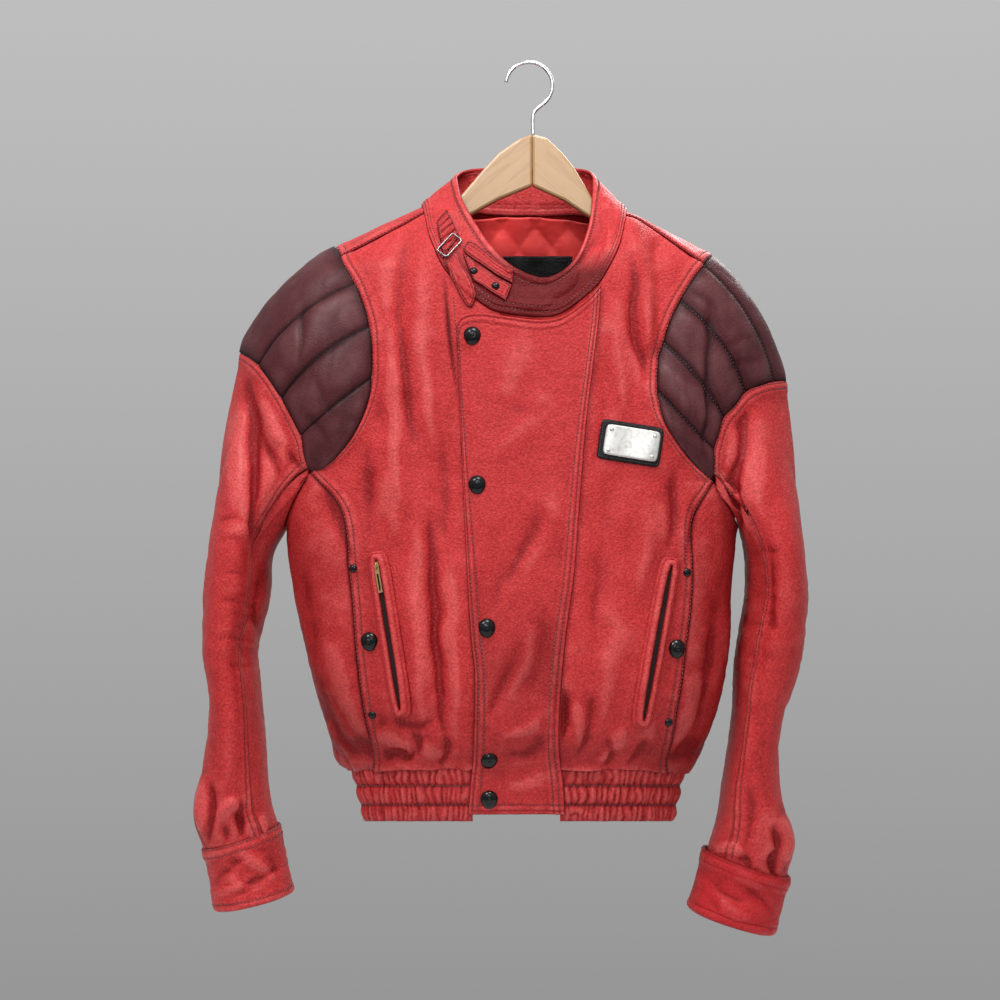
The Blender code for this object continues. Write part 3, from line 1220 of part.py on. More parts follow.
def tilted_box(centre, size, tilt, columns, rows):
    """x and z of a grid over a tilted rectangle, rows from its upper edge down."""
    turn = math.radians(tilt)
    along = np.linspace(-size[0] / 2, size[0] / 2, columns)[None, :]
    up = np.linspace(size[1] / 2, -size[1] / 2, rows)[:, None]
    return (centre[0] + along * math.cos(turn) - up * math.sin(turn),
            centre[1] + along * math.sin(turn) + up * math.cos(turn))


def make_plate(tree):
    """Blank metal plate on a leather backing, on the left chest."""
    x0, z0 = tilted_box(PATCH_CENTRE, PATCH_SIZE, PLATE_TILT, 7, 5)
    backing = lifted(laid_on(tree, x0, z0), PATCH_SEAT + PATCH_WALL)
    sheet("chest_plate_backing", backing, PATCH_WALL, "black_leather")
    x0, z0 = tilted_box(PLATE_CENTRE, PLATE_SIZE, PLATE_TILT, 7, 4)
    plate = lifted(laid_on(tree_of([backing]), x0, z0), SEAM_GAP + PLATE_WALL)
    sheet("chest_plate", plate, PLATE_WALL, "steel")


def make_lining(tree):
    """Quilted lining behind the neck and the label sewn on it."""
    left, right, low = NECK_LINING
    x0 = np.linspace(left, right, 11)[None, :]
    middle = (left + right) / 2
    top = LINING_TOP - LINING_DROP * (np.abs(x0 - middle) / (right - middle)) ** 2
    share = np.linspace(0, 1, 8)[:, None]
    z0 = top + (low - top) * share
    grid = laid_on(tree, x0 + 0 * z0, z0, INSIDE_POINT)
    grid = lifted(grid, LINING_SEAT + LINING_WALL)
    sheet("neck_lining", grid, LINING_WALL, "red_lining")
    left, right, top, low = NECK_LABEL
    x0, z0 = np.meshgrid(np.linspace(left, right, 5), np.linspace(top, low, 4))
    grid = lifted(laid_on(tree_of([grid]), x0, z0, INSIDE_POINT), SEAM_GAP + LABEL_WALL)
    sheet("neck_label", grid, LABEL_WALL, "black_leather")


def make_buckle(tree):
    """Wire loop of the collar's strap, lying on the strap."""
    seat, normal = frame_on(tree, *BUCKLE_CENTRE, BUCKLE_SIZE[0] / 2)
    turn = math.radians(BUCKLE_TILT)
    along = np.array([math.cos(turn), 0, math.sin(turn)])
    along = unit(along - normal * float(along @ normal))
    other = np.cross(normal, along)
    curve = bpy.data.curves.new("collar_buckle", "CURVE")
    curve.dimensions = "3D"
    curve.bevel_depth = BUCKLE_WIRE / 2 * MM
    curve.bevel_resolution = 1
    spline = curve.splines.new("POLY")
    outline = rounded_box(BUCKLE_SIZE[0], -BUCKLE_SIZE[1] / 2, BUCKLE_SIZE[1] / 2, 2.5, 2)
    spline.points.add(len(outline) - 1)
    for point, (x, y) in zip(spline.points, outline):
        spot = seat + normal * BUCKLE_WIRE / 2 + along * x + other * y
        point.co = (*(spot * MM), 1)
    spline.use_cyclic_u = True
    add_object("collar_buckle", curve, "steel")


# ---- hanger -------------------------------------------------------------------------------------

def clear_height(tree, x):
    """Height under the cloth at x that is clear over an arm's whole thickness."""
    heights = []
    for y in np.linspace(-HANGER_THICK / 2, HANGER_THICK / 2, 5):
        hit = tree.ray_cast(Vector((x, y, UNDERARM_LEVEL)), Vector((0, 0, 1)))[0]
        heights.append(hit.z)
    return min(heights) - ARM_SEAT


def arm_outline(tree, sign):
    """x and z round one arm, from the mitre along its top, round its tip and back below."""
    mitre = HANGER_MIDDLE + sign * SEAM_GAP / 2
    top = [(mitre, HANGER_APEX)] + ARM_TOP[sign]
    for u in np.linspace(ARM_HIDDEN_FROM, ARM_REACH, 6):
        x = CENTRE_X + sign * float(u)
        top.append((x, clear_height(tree, x)))
    end_x, end_z = top[-1]
    tip = [(end_x + sign * 0.2 * ARM_TIP, end_z - 0.5 * ARM_TIP), (end_x, end_z - ARM_TIP)]
    return top + tip + ARM_BELOW[sign] + [(mitre, HANGER_APEX - ARM_HEIGHT)]


def make_arm(name, tree, sign):
    """One wooden arm of the hanger, its long edges rounded."""
    outline = arm_outline(tree, sign)
    count, half = len(outline), HANGER_THICK / 2
    points = [(x, -half, z) for x, z in outline] + [(x, half, z) for x, z in outline]
    faces = [list(range(count)), list(range(2 * count - 1, count - 1, -1))]
    faces += [[i, (i + 1) % count, count + (i + 1) % count, count + i] for i in range(count)]
    arm = add_object(name, mesh_of(name, points, faces), "pale_wood")
    edges = arm.modifiers.new("edges", "BEVEL")
    edges.width = 2.5 * MM
    edges.segments = 2
    edges.limit_method = "ANGLE"
    edges.angle_limit = math.radians(60)


def make_hook():
    """Wire hook: the bend is a circle whose inside top is the origin, above a short stem."""
    start, stop = math.radians(172), math.radians(-58)
    centre_z = HOOK_WIRE / 2 - HOOK_RADIUS
    points = [(HOOK_RADIUS * math.cos(a), centre_z + HOOK_RADIUS * math.sin(a))
              for a in np.linspace(start, stop, 22)]
    foot = HANGER_APEX + SEAM_GAP + HOOK_FOOT_RISE
    points += [tuple(p) for p in spaced([points[-1], (7.0, -47.5), (HOOK_STEM_X, -54.0),
                                         (HOOK_STEM_X, foot)], 8)[1:]]
    curve = bpy.data.curves.new("hanger_hook", "CURVE")
    curve.dimensions = "3D"
    curve.bevel_depth = HOOK_WIRE / 2 * MM
    curve.bevel_resolution = 2
    curve.use_fill_caps = True
    spline = curve.splines.new("POLY")
    spline.points.add(len(points) - 1)
    for point, (x, z) in zip(spline.points, points):
        point.co = (x * MM, 0, z * MM, 1)
    add_object("hanger_hook", curve, "steel")


def shared(own, other):
    """Normal of a seam between two pieces."""
    return unit(own + other)


def main():
    clear_scene()
    seams = {side.name: Seams(side) for side in (RIGHT, LEFT)}
    neck = Neck()
    collar, collar_normals = collar_form(neck)
    shared_neck = shared(collar_normals[-1], neck.body_normals)
    collar_normals[-1] = shared_neck
    shared_arms, fronts, front_insides, sides = {}, [], [], []
    for side in (RIGHT, LEFT):
        own = seams[side.name]
        cap, cap_normals = cap_form(own)
        sleeve, angles = sleeve_form(own, cap)
        sleeve_normals = sleeve_out(sleeve)
        count = cap.shape[1]
        shared_arms[side.name] = shared(cap_normals[0], own.arm_normals)
        head = shared(cap_normals[-1], sleeve_normals[0, :count])
        cap_normals[0], cap_normals[-1] = shared_arms[side.name], head
        sleeve_normals[0, :count] = head
        make_cap(own, cap, cap_normals)
        make_sleeve(own, sleeve, sleeve_normals)
        make_cuff(side, angles)
        front, front_inside = make_front(own, neck, shared_neck, shared_arms[side.name])
        fronts.append(front)
        front_insides.append(front_inside)
        sides.append(make_side(own))
    back_insides = make_back(seams["left"], seams["right"], neck, shared_neck, shared_arms)
    flap = make_flap()
    make_hem(seams["left"], seams["right"])
    piece("collar", collar, collar_normals, "red_leather", COLLAR_WALL, sides="tb", closed=True,
          gap=COLLAR_GAP)
    front_tree, flap_tree = tree_of(fronts + sides), tree_of([flap])
    collar_faces = np.concatenate([collar, collar[:, :1]], axis=1)
    under_straps = [collar_faces] + fronts
    collar_tree = tree_of(under_straps)
    straps = {name: make_strap(name, collar_tree) for name in STRAPS}
    make_buckle(tree_of(under_straps + list(straps.values())))
    make_fasteners(flap_tree, front_tree, tree_of([straps["collar_tab_foot"]]))
    for name in ("right", "left"):
        make_pocket(name, POCKETS[name], front_tree)
    make_zip_hardware(front_tree)
    make_plate(front_tree)
    make_lining(tree_of(back_insides))
    inside = tree_of(back_insides + front_insides)
    make_arm("hanger_arm_right", inside, -1)
    make_arm("hanger_arm_left", inside, 1)
    make_hook()


if __name__ == "__main__":
    main()
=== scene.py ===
"""Leather motorcycle jacket with quilted shoulders on a wooden hanger, dressed over its frame.

Sizes are in millimetres until a mesh is made. +X is the viewer's right, -Y the front, +Z up, and
the origin is the inside of the hook's bend. "right" and "left" are the wearer's. Tables of x and z
tell where a point is seen from VIEW_POINT on the plane y = 0; the body's form gives its depth.
"""
import logging
import math
from collections.abc import Callable, Sequence
from dataclasses import dataclass, field
from enum import Enum

import bmesh
import bpy
import numpy as np
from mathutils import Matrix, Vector
from mathutils.bvhtree import BVHTree


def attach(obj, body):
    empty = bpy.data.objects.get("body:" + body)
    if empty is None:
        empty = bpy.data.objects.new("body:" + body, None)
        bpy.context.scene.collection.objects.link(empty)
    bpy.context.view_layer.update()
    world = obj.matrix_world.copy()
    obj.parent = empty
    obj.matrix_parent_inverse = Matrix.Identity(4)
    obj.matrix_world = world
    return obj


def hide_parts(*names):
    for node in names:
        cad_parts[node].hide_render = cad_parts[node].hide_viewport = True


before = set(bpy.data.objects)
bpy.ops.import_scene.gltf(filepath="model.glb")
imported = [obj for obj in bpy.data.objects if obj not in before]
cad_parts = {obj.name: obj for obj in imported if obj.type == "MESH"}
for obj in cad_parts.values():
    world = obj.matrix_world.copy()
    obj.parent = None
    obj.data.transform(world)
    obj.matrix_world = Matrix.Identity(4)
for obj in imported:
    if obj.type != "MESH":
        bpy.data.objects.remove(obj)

LOG = logging.getLogger("jacket")
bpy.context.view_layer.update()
MM = 0.001
VIEW_POINT = (-30.0, -2300.0, -449.0)
CENTRE_X = -11.0
HEM_TOP, HEM_BOTTOM = -723.0, -780.0
BODY_RADIUS = 170.0
ANGLE_STEP = 0.005
FINENESS = 8
TRACE_STEP = 1.03
TRACE_ORIGIN = (529, 64)
BODY, PULL_BODY = "jacket", "zip_pull_tab"
Array = np.ndarray
Points = Sequence[Sequence[float]]


# ---- finishes ------------------------------------------------------------------------------------

class Value:
    """A shader socket that takes part in Python expressions through Math nodes."""

    def __init__(self, graph: "Graph", socket: bpy.types.NodeSocket) -> None:
        """Wrap a socket.

        Args:
            graph: The graph that the socket belongs to.
            socket: An output socket.
        """
        self.graph = graph
        self.socket = socket

    def _math(self, operation: str, *terms: "Value | float") -> "Value":
        """Add one Math node.

        Args:
            operation: The node's operation.
            terms: Its inputs, in order.

        Returns:
            The node's output.
        """
        inputs = dict(enumerate(terms))
        return self.graph.add("ShaderNodeMath", {"operation": operation}, inputs)

    def __add__(self, other: "Value | float") -> "Value":
        """Sum."""
        return self._math("ADD", self, other)

    def __sub__(self, other: "Value | float") -> "Value":
        """Difference."""
        return self._math("SUBTRACT", self, other)

    def __mul__(self, other: "Value | float") -> "Value":
        """Product."""
        return self._math("MULTIPLY", self, other)

    def __rsub__(self, other: float) -> "Value":
        """Difference from a number."""
        return self._math("SUBTRACT", other, self)

    def __pow__(self, other: float) -> "Value":
        """Power."""
        return self._math("POWER", self, other)

    __radd__ = __add__
    __rmul__ = __mul__

    def between(self, low: float, high: float) -> "Value":
        """Smoothly 0 below low and 1 above high.

        Args:
            low: Where the step starts.
            high: Where it ends.

        Returns:
            The step's value.
        """
        return self.graph.add("ShaderNodeMapRange", {"interpolation_type": "SMOOTHSTEP"},
                              {"Value": self, "From Min": low, "From Max": high})


class Graph:
    """A material's nodes around one Principled shader."""

    def __init__(self, name: str) -> None:
        """Start an empty material.

        Args:
            name: The material's name.
        """
        self.material = bpy.data.materials.new(name)
        self.material.use_nodes = True
        self.nodes = self.material.node_tree.nodes
        self.links = self.material.node_tree.links
        self.shader = self.nodes["Principled BSDF"]

    def node(self, kind: str, settings: dict, inputs: dict) -> bpy.types.Node:
        """Add a node of any kind.

        Args:
            kind: The node's type.
            settings: Its attributes, set first.
            inputs: Values or links of its sockets, by name or number.

        Returns:
            The node.
        """
        node = self.nodes.new(kind)
        for name, value in settings.items():
            setattr(node, name, value)
        for name, value in inputs.items():
            self.feed(node.inputs[name], value)
        return node

    def feed(self, socket: bpy.types.NodeSocket, value: "Value | float | tuple") -> None:
        """Set or link one socket."""
        if isinstance(value, Value):
            self.links.new(value.socket, socket)
        else:
            socket.default_value = value

    def add(self, kind: str, settings: dict, inputs: dict, output: str | int = 0) -> Value:
        """Add a node and take one of its outputs, with node()'s arguments."""
        return Value(self, self.node(kind, settings, inputs).outputs[output])

    def place(self, stretch: tuple[float, float, float] = (1, 1, 1)) -> Value:
        """Place on the piece, in metres.

        Args:
            stretch: How much finer patterns run along each axis.

        Returns:
            The place's vector.
        """
        spot = self.add("ShaderNodeTexCoord", {}, {}, "Object")
        return self.add("ShaderNodeVectorMath", {"operation": "MULTIPLY"}, {0: spot, 1: stretch})

    def noise(self, where: Value, scale: float, detail: float = 3.0, swirl: float = 0.0) -> Value:
        """Noise between 0 and 1.

        Args:
            where: The place it is read at.
            scale: Its features in a metre.
            detail: Its octaves.
            swirl: How far it distorts itself.

        Returns:
            The noise.
        """
        return self.add("ShaderNodeTexNoise", {}, {"Vector": where, "Scale": scale,
                                                   "Detail": detail, "Distortion": swirl}, "Fac")

    def cells(self, where: Value, scale: float, feature: str = "F1") -> Value:
        """Distance within Voronoi cells.

        Args:
            where: The place it is read at.
            scale: The cells in a metre.
            feature: Which distance.

        Returns:
            The distance.
        """
        return self.add("ShaderNodeTexVoronoi", {"feature": feature},
                        {"Vector": where, "Scale": scale}, "Distance")

    def mark(self, name: str) -> Value:
        """A number stored on the mesh's points under a name."""
        return self.add("ShaderNodeAttribute", {"attribute_name": name}, {}, "Fac")

    def blend(self, share: "Value | float", first: "Value | tuple",
              second: "Value | tuple") -> Value:
        """Mix two colours.

        Args:
            share: How much of the second one, from 0 to 1.
            first: A colour.
            second: The other colour.

        Returns:
            The mixed colour.
        """
        return self.add("ShaderNodeMix", {"data_type": "RGBA"}, {0: share, 6: first, 7: second}, 2)

    def bump(self, height: Value, depth: float, strength: float = 1.0,
             below: Value | None = None) -> Value:
        """Turn a height into a normal.

        Args:
            height: The height, from 0 to 1.
            depth: How many metres 1 stands for.
            strength: How strongly it shows.
            below: The normal of a coarser bump that this one lies on.

        Returns:
            The normal.
        """
        inputs = {"Height": height, "Distance": depth, "Strength": strength}
        if below is not None:
            inputs["Normal"] = below
        return self.add("ShaderNodeBump", {}, inputs)

    def finish(self, inputs: dict) -> bpy.types.Material:
        """Feed the shader.

        Args:
            inputs: Values or links of the shader's sockets.

        Returns:
            The material.
        """
        for name, value in inputs.items():
            self.feed(self.shader.inputs[name], value)
        return self.material


def rgb(red: float, green: float, blue: float) -> tuple[float, float, float, float]:
    """A colour from its linear parts."""
    return red, green, blue, 1.0


@dataclass(frozen=True)
class Leather:
    """Dyed leather: pebbled, with a painted highlight on its ridges and painted shade in its folds.
    """

    name: str
    colour: tuple[float, float, float]
    deep: tuple[float, float, float]
    light: tuple[float, float, float]
    roughness: float = 0.43
    grain: float = 620.0
    grain_depth: float = 0.00034
    coarse: float = 430.0
    coarse_depth: float = 0.0015
    grain_tint: float = 1.4
    haze: float = 0.22

    def make(self) -> bpy.types.Material:
        """Build the finish.

        Returns:
            The material.
        """
        g = Graph(self.name)
        spot = g.place()
        patches = g.noise(spot, 14.0, 4.0, 0.6)
        mottle = g.noise(spot, 90.0, 5.0, 0.3)
        pebble = g.cells(g.place((1.0, 1.0, 1.25)), self.grain, "SMOOTH_F1")
        pores = g.noise(spot, 2.2 * self.grain, 2.0)
        grain = g.noise(spot, self.coarse, 3.0, 0.2)
        relief = g.mark("relief")
        # Painted highlight: high lightens the colour where the relief stands up. Painted shade: low
        # deepens it where the relief sinks into folds.
        high = (relief + (patches - 0.5) * 1.6).between(0.0, 1.2)
        low = (0.0 - relief + (0.5 - patches) * 1.5).between(0.0, 1.7)
        tint = g.blend(high * 0.5, rgb(*self.colour), rgb(*self.light))
        tint = g.blend(low * 0.75, tint, rgb(*self.deep))
        tint = g.blend((mottle - 0.4) * 0.5, tint, rgb(*self.deep))
        tint = g.blend((0.57 - grain) * self.grain_tint, tint, rgb(*self.deep))
        tint = g.blend((grain - 0.53) * 0.8 * self.grain_tint, tint, rgb(*self.light))
        # Painted shade: the seam mark darkens the colour toward a deeper red in seam dents,
        # grooves, quilting lines, toward the hem and sides and on the collar's lower front.
        painted_shade_tint = rgb(*(0.45 * part for part in self.deep))
        tint = g.blend(g.mark("seam") * 0.9, tint, painted_shade_tint)
        coarse = g.bump(grain, self.coarse_depth, 0.8)
        normal = g.bump(pebble * 0.8 + pores * 0.35, self.grain_depth, 0.9, coarse)
        rough = (mottle - 0.5) * 0.22 + (patches - 0.5) * 0.2 + self.roughness
        return g.finish({"Base Color": tint, "Roughness": rough, "Normal": normal,
                         "Coat Weight": (high * self.haze + 0.05) * (1.0 - g.mark("seam")),
                         "Coat Roughness": 0.34, "Specular IOR Level": 0.1})


@dataclass(frozen=True)
class Satin:
    """Thin shiny lining cloth or tape with a fine weave."""

    name: str
    colour: tuple[float, float, float]
    deep: tuple[float, float, float]
    roughness: float = 0.5

    def make(self) -> bpy.types.Material:
        """Build the finish.

        Returns:
            The material.
        """
        g = Graph(self.name)
        weave = [g.add("ShaderNodeTexWave", {"bands_direction": way},
                       {"Vector": g.place(), "Scale": 700.0}, "Fac") for way in ("X", "Z")]
        folds = g.noise(g.place(), 60.0, 4.0, 0.8)
        tint = g.blend(folds.between(0.3, 0.75) * 0.6, rgb(*self.colour), rgb(*self.deep))
        # Painted shade: the seam mark darkens the lining along its quilting lines.
        tint = g.blend(g.mark("seam") * 0.6, tint, rgb(*self.deep))
        normal = g.bump(weave[0] * 0.5 + weave[1] * 0.5, 0.00008, 0.6, g.bump(folds, 0.0012, 0.4))
        return g.finish({"Base Color": tint, "Normal": normal, "Roughness": self.roughness,
                         "Sheen Weight": 0.5, "Sheen Roughness": 0.4})


@dataclass(frozen=True)
class Metal:
    """Metal or enamel with faint scratches and tarnish."""

    name: str
    colour: tuple[float, float, float]
    deep: tuple[float, float, float]
    roughness: float
    metallic: float = 1.0
    brushed: tuple[float, float, float] = (1.0, 1.0, 1.0)
    shine: float = 0.5

    def make(self) -> bpy.types.Material:
        """Build the finish.

        Returns:
            The material.
        """
        g = Graph(self.name)
        marks = g.noise(g.place(self.brushed), 900.0, 4.0)
        stain = g.noise(g.place(), 260.0, 4.0, 0.4)
        tint = g.blend(stain.between(0.35, 0.8) * 0.7, rgb(*self.colour), rgb(*self.deep))
        rough = (marks - 0.5) * 0.2 + (stain - 0.5) * 0.15 + self.roughness
        return g.finish({"Base Color": tint, "Roughness": rough, "Metallic": self.metallic,
                         "Specular IOR Level": self.shine,
                         "Normal": g.bump(marks, 0.00004, 0.5)})


@dataclass(frozen=True)
class Wood:
    """Pale varnished wood whose grain runs down an arm of the hanger."""

    name: str
    slope: float

    def make(self) -> bpy.types.Material:
        """Build the finish.

        Returns:
            The material.
        """
        g = Graph(self.name)
        spot = g.add("ShaderNodeTexCoord", {}, {}, "Object")
        spot = g.add("ShaderNodeMapping", {"vector_type": "TEXTURE"},
                     {"Vector": spot, "Rotation": (0.0, self.slope, 0.0)})
        along = g.add("ShaderNodeVectorMath", {"operation": "MULTIPLY"},
                      {0: spot, 1: (0.09, 1.0, 1.0)})
        rings = g.noise(along, 95.0, 3.0, 0.9)
        rings = g.add("ShaderNodeMath", {"operation": "PINGPONG"}, {0: rings * 7.0, 1: 1.0})
        fibres = g.noise(along, 1500.0, 3.0)
        tint = g.blend(rings ** 2.0 * 0.55, rgb(0.43, 0.255, 0.115), rgb(0.32, 0.165, 0.06))
        tint = g.blend((fibres - 0.4) * 0.5, tint, rgb(0.29, 0.15, 0.055))
        return g.finish({"Base Color": tint, "Roughness": fibres * 0.2 + 0.3,
                         "Normal": g.bump(fibres, 0.00006, 0.5), "Coat Weight": 0.25,
                         "Coat Roughness": 0.2})


class Finish(Enum):
    """Every finish of the jacket and its hanger."""

    RED = Leather("red_leather", (0.48, 0.032, 0.034), (0.16, 0.003, 0.005), (0.68, 0.1, 0.096))
    RED_INSIDE = Leather("red_leather_inside", (0.42, 0.018, 0.022), (0.2, 0.006, 0.008),
                         (0.5, 0.035, 0.038), roughness=0.55)
    MAROON = Leather("maroon_leather", (0.066, 0.0145, 0.0175), (0.016, 0.003, 0.0045),
                     (0.13, 0.042, 0.046), roughness=0.42, grain=900.0, grain_depth=0.00014,
                     coarse=480.0, coarse_depth=0.0007, grain_tint=0.7, haze=0.08)
    BLACK = Leather("black_leather", (0.012, 0.012, 0.013), (0.004, 0.004, 0.004),
                    (0.035, 0.035, 0.036), roughness=0.45, grain=1100.0, grain_depth=0.0001)
    LINING = Satin("red_lining", (0.98, 0.055, 0.05), (0.8, 0.022, 0.024))
    TAPE = Satin("zip_tape", (0.028, 0.004, 0.005), (0.01, 0.002, 0.002), 0.8)
    THREAD = Satin("red_thread", (0.15, 0.007, 0.009), (0.07, 0.002, 0.003), 0.85)
    MAROON_THREAD = Satin("maroon_thread", (0.035, 0.01, 0.013), (0.012, 0.004, 0.005), 0.6)
    BLACK_THREAD = Satin("black_thread", (0.03, 0.03, 0.032), (0.01, 0.01, 0.01), 0.6)
    ENAMEL = Metal("black_enamel", (0.003, 0.003, 0.004), (0.006, 0.006, 0.007), 0.2, 0.0,
                   shine=0.28)
    TEETH = Metal("zip_teeth", (0.05, 0.045, 0.04), (0.02, 0.018, 0.016), 0.35)
    BRASS = Metal("aged_brass", (0.55, 0.36, 0.17), (0.3, 0.18, 0.07), 0.34)
    STEEL = Metal("dull_steel", (0.26, 0.255, 0.25), (0.1, 0.098, 0.095), 0.3)
    CHROME = Metal("chrome_wire", (0.72, 0.72, 0.74), (0.5, 0.5, 0.52), 0.1)
    PLATE = Metal("brushed_steel", (0.62, 0.61, 0.585), (0.36, 0.355, 0.34), 0.42, 0.6,
                  brushed=(0.08, 1.0, 1.0))
    WOOD_RIGHT = Wood("pale_wood_right", math.radians(-42))
    WOOD_LEFT = Wood("pale_wood_left", math.radians(42))

    def material(self) -> bpy.types.Material:
        """The finish's material, made once."""
        if self not in MADE:
            MADE[self] = self.value.make()
        return MADE[self]


MADE: dict[Finish, bpy.types.Material] = {}


# ---- curves and grids ----------------------------------------------------------------------------

def unit(vectors: Array) -> Array:
    """Vectors of length one."""
    return vectors / np.maximum(np.linalg.norm(vectors, axis=-1, keepdims=True), 1e-9)


def column_curve(rows: Points, column: int) -> Callable[[Array], Array]:
    """Smooth curve through one column of a table, over its first column.

    Args:
        rows: The table.
        column: The column that gives the heights.

    Returns:
        The curve as a function.
    """
    ordered = sorted((float(row[0]), float(row[column])) for row in rows)
    at, height = np.array(ordered).T
    slope = np.gradient(height, at)

    def value(x: Array) -> Array:
        """Height of the curve at x."""
        x = np.clip(x, at[0], at[-1])
        i = np.clip(np.searchsorted(at, x, side="right") - 1, 0, len(at) - 2)
        span = at[i + 1] - at[i]
        t = (x - at[i]) / span
        rise = height[i] * (1 + 2 * t) * (1 - t) ** 2 + height[i + 1] * t * t * (3 - 2 * t)
        return rise + span * (slope[i] * t * (1 - t) ** 2 - slope[i + 1] * t * t * (1 - t))

    return value


def dense(points: Points, steps: int = 12) -> Array:
    """Catmull-Rom curve through points.

    Args:
        points: The points, of two or three parts each.
        steps: Samples to each stretch.

    Returns:
        The samples.
    """
    points = np.array(points, dtype=float)
    ends = np.vstack([2 * points[0] - points[1], points, 2 * points[-1] - points[-2]])
    t = np.arange(1, steps + 1)[:, None] / steps
    samples = [points[:1]]
    for a, b, c, d in zip(ends, ends[1:], ends[2:], ends[3:]):
        samples.append(0.5 * (2 * b + (c - a) * t + (2 * a - 5 * b + 4 * c - d) * t * t
                              + (3 * b - a - 3 * c + d) * t ** 3))
    return np.vstack(samples)


def lengths(points: Array) -> Array:
    """Length along a polyline up to each of its points."""
    steps = np.linalg.norm(np.diff(points, axis=0), axis=1)
    return np.concatenate([[0], np.cumsum(steps)])


def at_lengths(points: Array, wanted: Array) -> Array:
    """Points of a polyline at given lengths along it."""
    along = lengths(points)
    return np.stack([np.interp(wanted, along, column) for column in points.T], axis=1)


def apart(grid: Array) -> tuple[Array, Array]:
    """Distance of every point of a grid from the first and from the last point of its row."""
    steps = np.linalg.norm(np.diff(grid, axis=1), axis=-1)
    along = np.concatenate([np.zeros((len(grid), 1)), np.cumsum(steps, axis=1)], axis=1)
    return along, along[:, -1:] - along


def apart_down(grid: Array) -> tuple[Array, Array]:
    """Distance of every point of a grid from the first and from the last point of its column."""
    from_top, from_foot = apart(np.swapaxes(grid, 0, 1))
    return from_top.T, from_foot.T


def four_sides(grid: Array) -> dict[str, Array]:
    """Distance of every point of a grid from each of its sides, by the side's letter."""
    (left, right), (top, foot) = apart(grid), apart_down(grid)
    return {"t": top, "b": foot, "l": left, "r": right}


def even(points: Array, count: int) -> Array:
    """count + 1 points at equal lengths along a polyline."""
    points = np.asarray(points, float)
    return at_lengths(points, np.linspace(0, lengths(points)[-1], count + 1))


def spaced(points: Points, count: int) -> Array:
    """count + 1 points at equal lengths along the smooth curve through points."""
    return even(dense(points), count)


def run_edge(runs: Sequence[Points], counts: Sequence[int], steps: int = 12) -> Array:
    """One smooth curve through all runs.

    Args:
        runs: Lists of points, each starting where the last one ends.
        counts: The intervals that each run is cut into.
        steps: Samples to each stretch.

    Returns:
        The curve's points.
    """
    joined = list(runs[0])
    for run in runs[1:]:
        joined += list(run[1:])
    curve = dense(joined, steps)
    pieces, start = [curve[:1]], 0
    for run, count in zip(runs, counts):
        stop = start + (len(run) - 1) * steps
        pieces.append(even(curve[start:stop + 1], count)[1:])
        start = stop
    return np.vstack(pieces)


def patch(top: Array, bottom: Array, left: Array, right: Array) -> Array:
    """Rows from top to bottom between four edges, which share their corners."""
    s = np.linspace(0, 1, len(top))[None, :, None]
    t = np.linspace(0, 1, len(left))[:, None, None]
    corners = ((1 - s) * (1 - t) * top[0] + s * (1 - t) * top[-1]
               + (1 - s) * t * bottom[0] + s * t * bottom[-1])
    return (1 - t) * top + t * bottom + (1 - s) * left[:, None] + s * right[:, None] - corners


def hump(where: Array, middle: float, width: float) -> Array:
    """1 at a middle, falling off smoothly over a width on both sides of it."""
    return np.exp(-((where - middle) / width) ** 2)


def grid_normals(grid: Array, closed: bool = False) -> Array:
    """Normals on the side from which the columns run right and the rows down."""
    across = (np.roll(grid, -1, axis=1) - np.roll(grid, 1, axis=1) if closed
              else np.gradient(grid, axis=1))
    return unit(np.cross(np.gradient(grid, axis=0), across))


def noise(points: Array, size: float, seed: int = 0) -> Array:
    """Smooth noise between -1 and 1.

    Args:
        points: Where it is read, with two or three parts each.
        size: The size of its features.
        seed: Which noise.

    Returns:
        One number to each point.
    """
    spot = np.asarray(points, float) / size + 31.7 * seed
    cell = np.floor(spot).astype(np.int64)
    share = spot - cell
    share = share * share * (3 - 2 * share)
    total = np.zeros(spot.shape[:-1])
    for corner in np.ndindex(*(2,) * spot.shape[-1]):
        weight, key = np.ones(spot.shape[:-1]), np.full(spot.shape[:-1], seed * 7919, np.int64)
        for k, prime in zip(range(spot.shape[-1]), (73856093, 19349663, 83492791)):
            weight = weight * (share[..., k] if corner[k] else 1 - share[..., k])
            key ^= (cell[..., k] + corner[k]) * prime
        key = (key ^ (key >> 13)) * 1274126177 & 0x7FFFFFFF
        total += weight * key / 0x7FFFFFFF
    return 2 * total - 1


def puckers(points: Array, size: float, seed: int = 0) -> Array:
    """Sharp little valleys between rounded ridges, from 0 in a valley to 1 on a ridge."""
    bent = points + 0.35 * size * np.stack([noise(points, 1.7 * size, seed + k)
                                            for k in range(points.shape[-1])], axis=-1)
    return np.abs(noise(bent, size, seed + 5)) ** 0.6


NEAR = np.array([0, 0.7, 1.4, 2.2, 3.2, 4.4, 5.8, 7.2, 8.4, 9.8, 11.5, 13.5, 16.0])


def respaced(field_grid: Array, count: int) -> Array:
    """Resample each row so that its columns crowd towards both ends.

    Args:
        field_grid: A grid of points.
        count: The columns wanted.

    Returns:
        The new grid.
    """
    rows = []
    for row in field_grid:
        whole = lengths(row)[-1]
        near = NEAR * min(1.0, 0.35 * whole / NEAR[-1])
        middle = np.linspace(near[-1], whole - near[-1], count - 2 * len(near) + 2)[1:-1]
        wanted = np.concatenate([near, middle, (whole - near)[::-1]])
        rows.append(at_lengths(row, wanted))
    return np.array(rows)


# ---- the body's form -----------------------------------------------------------------------------

def sight(y: Array) -> Array:
    """Scale of a thing at depth y against the plane y = 0."""
    return 1 - y / VIEW_POINT[1]


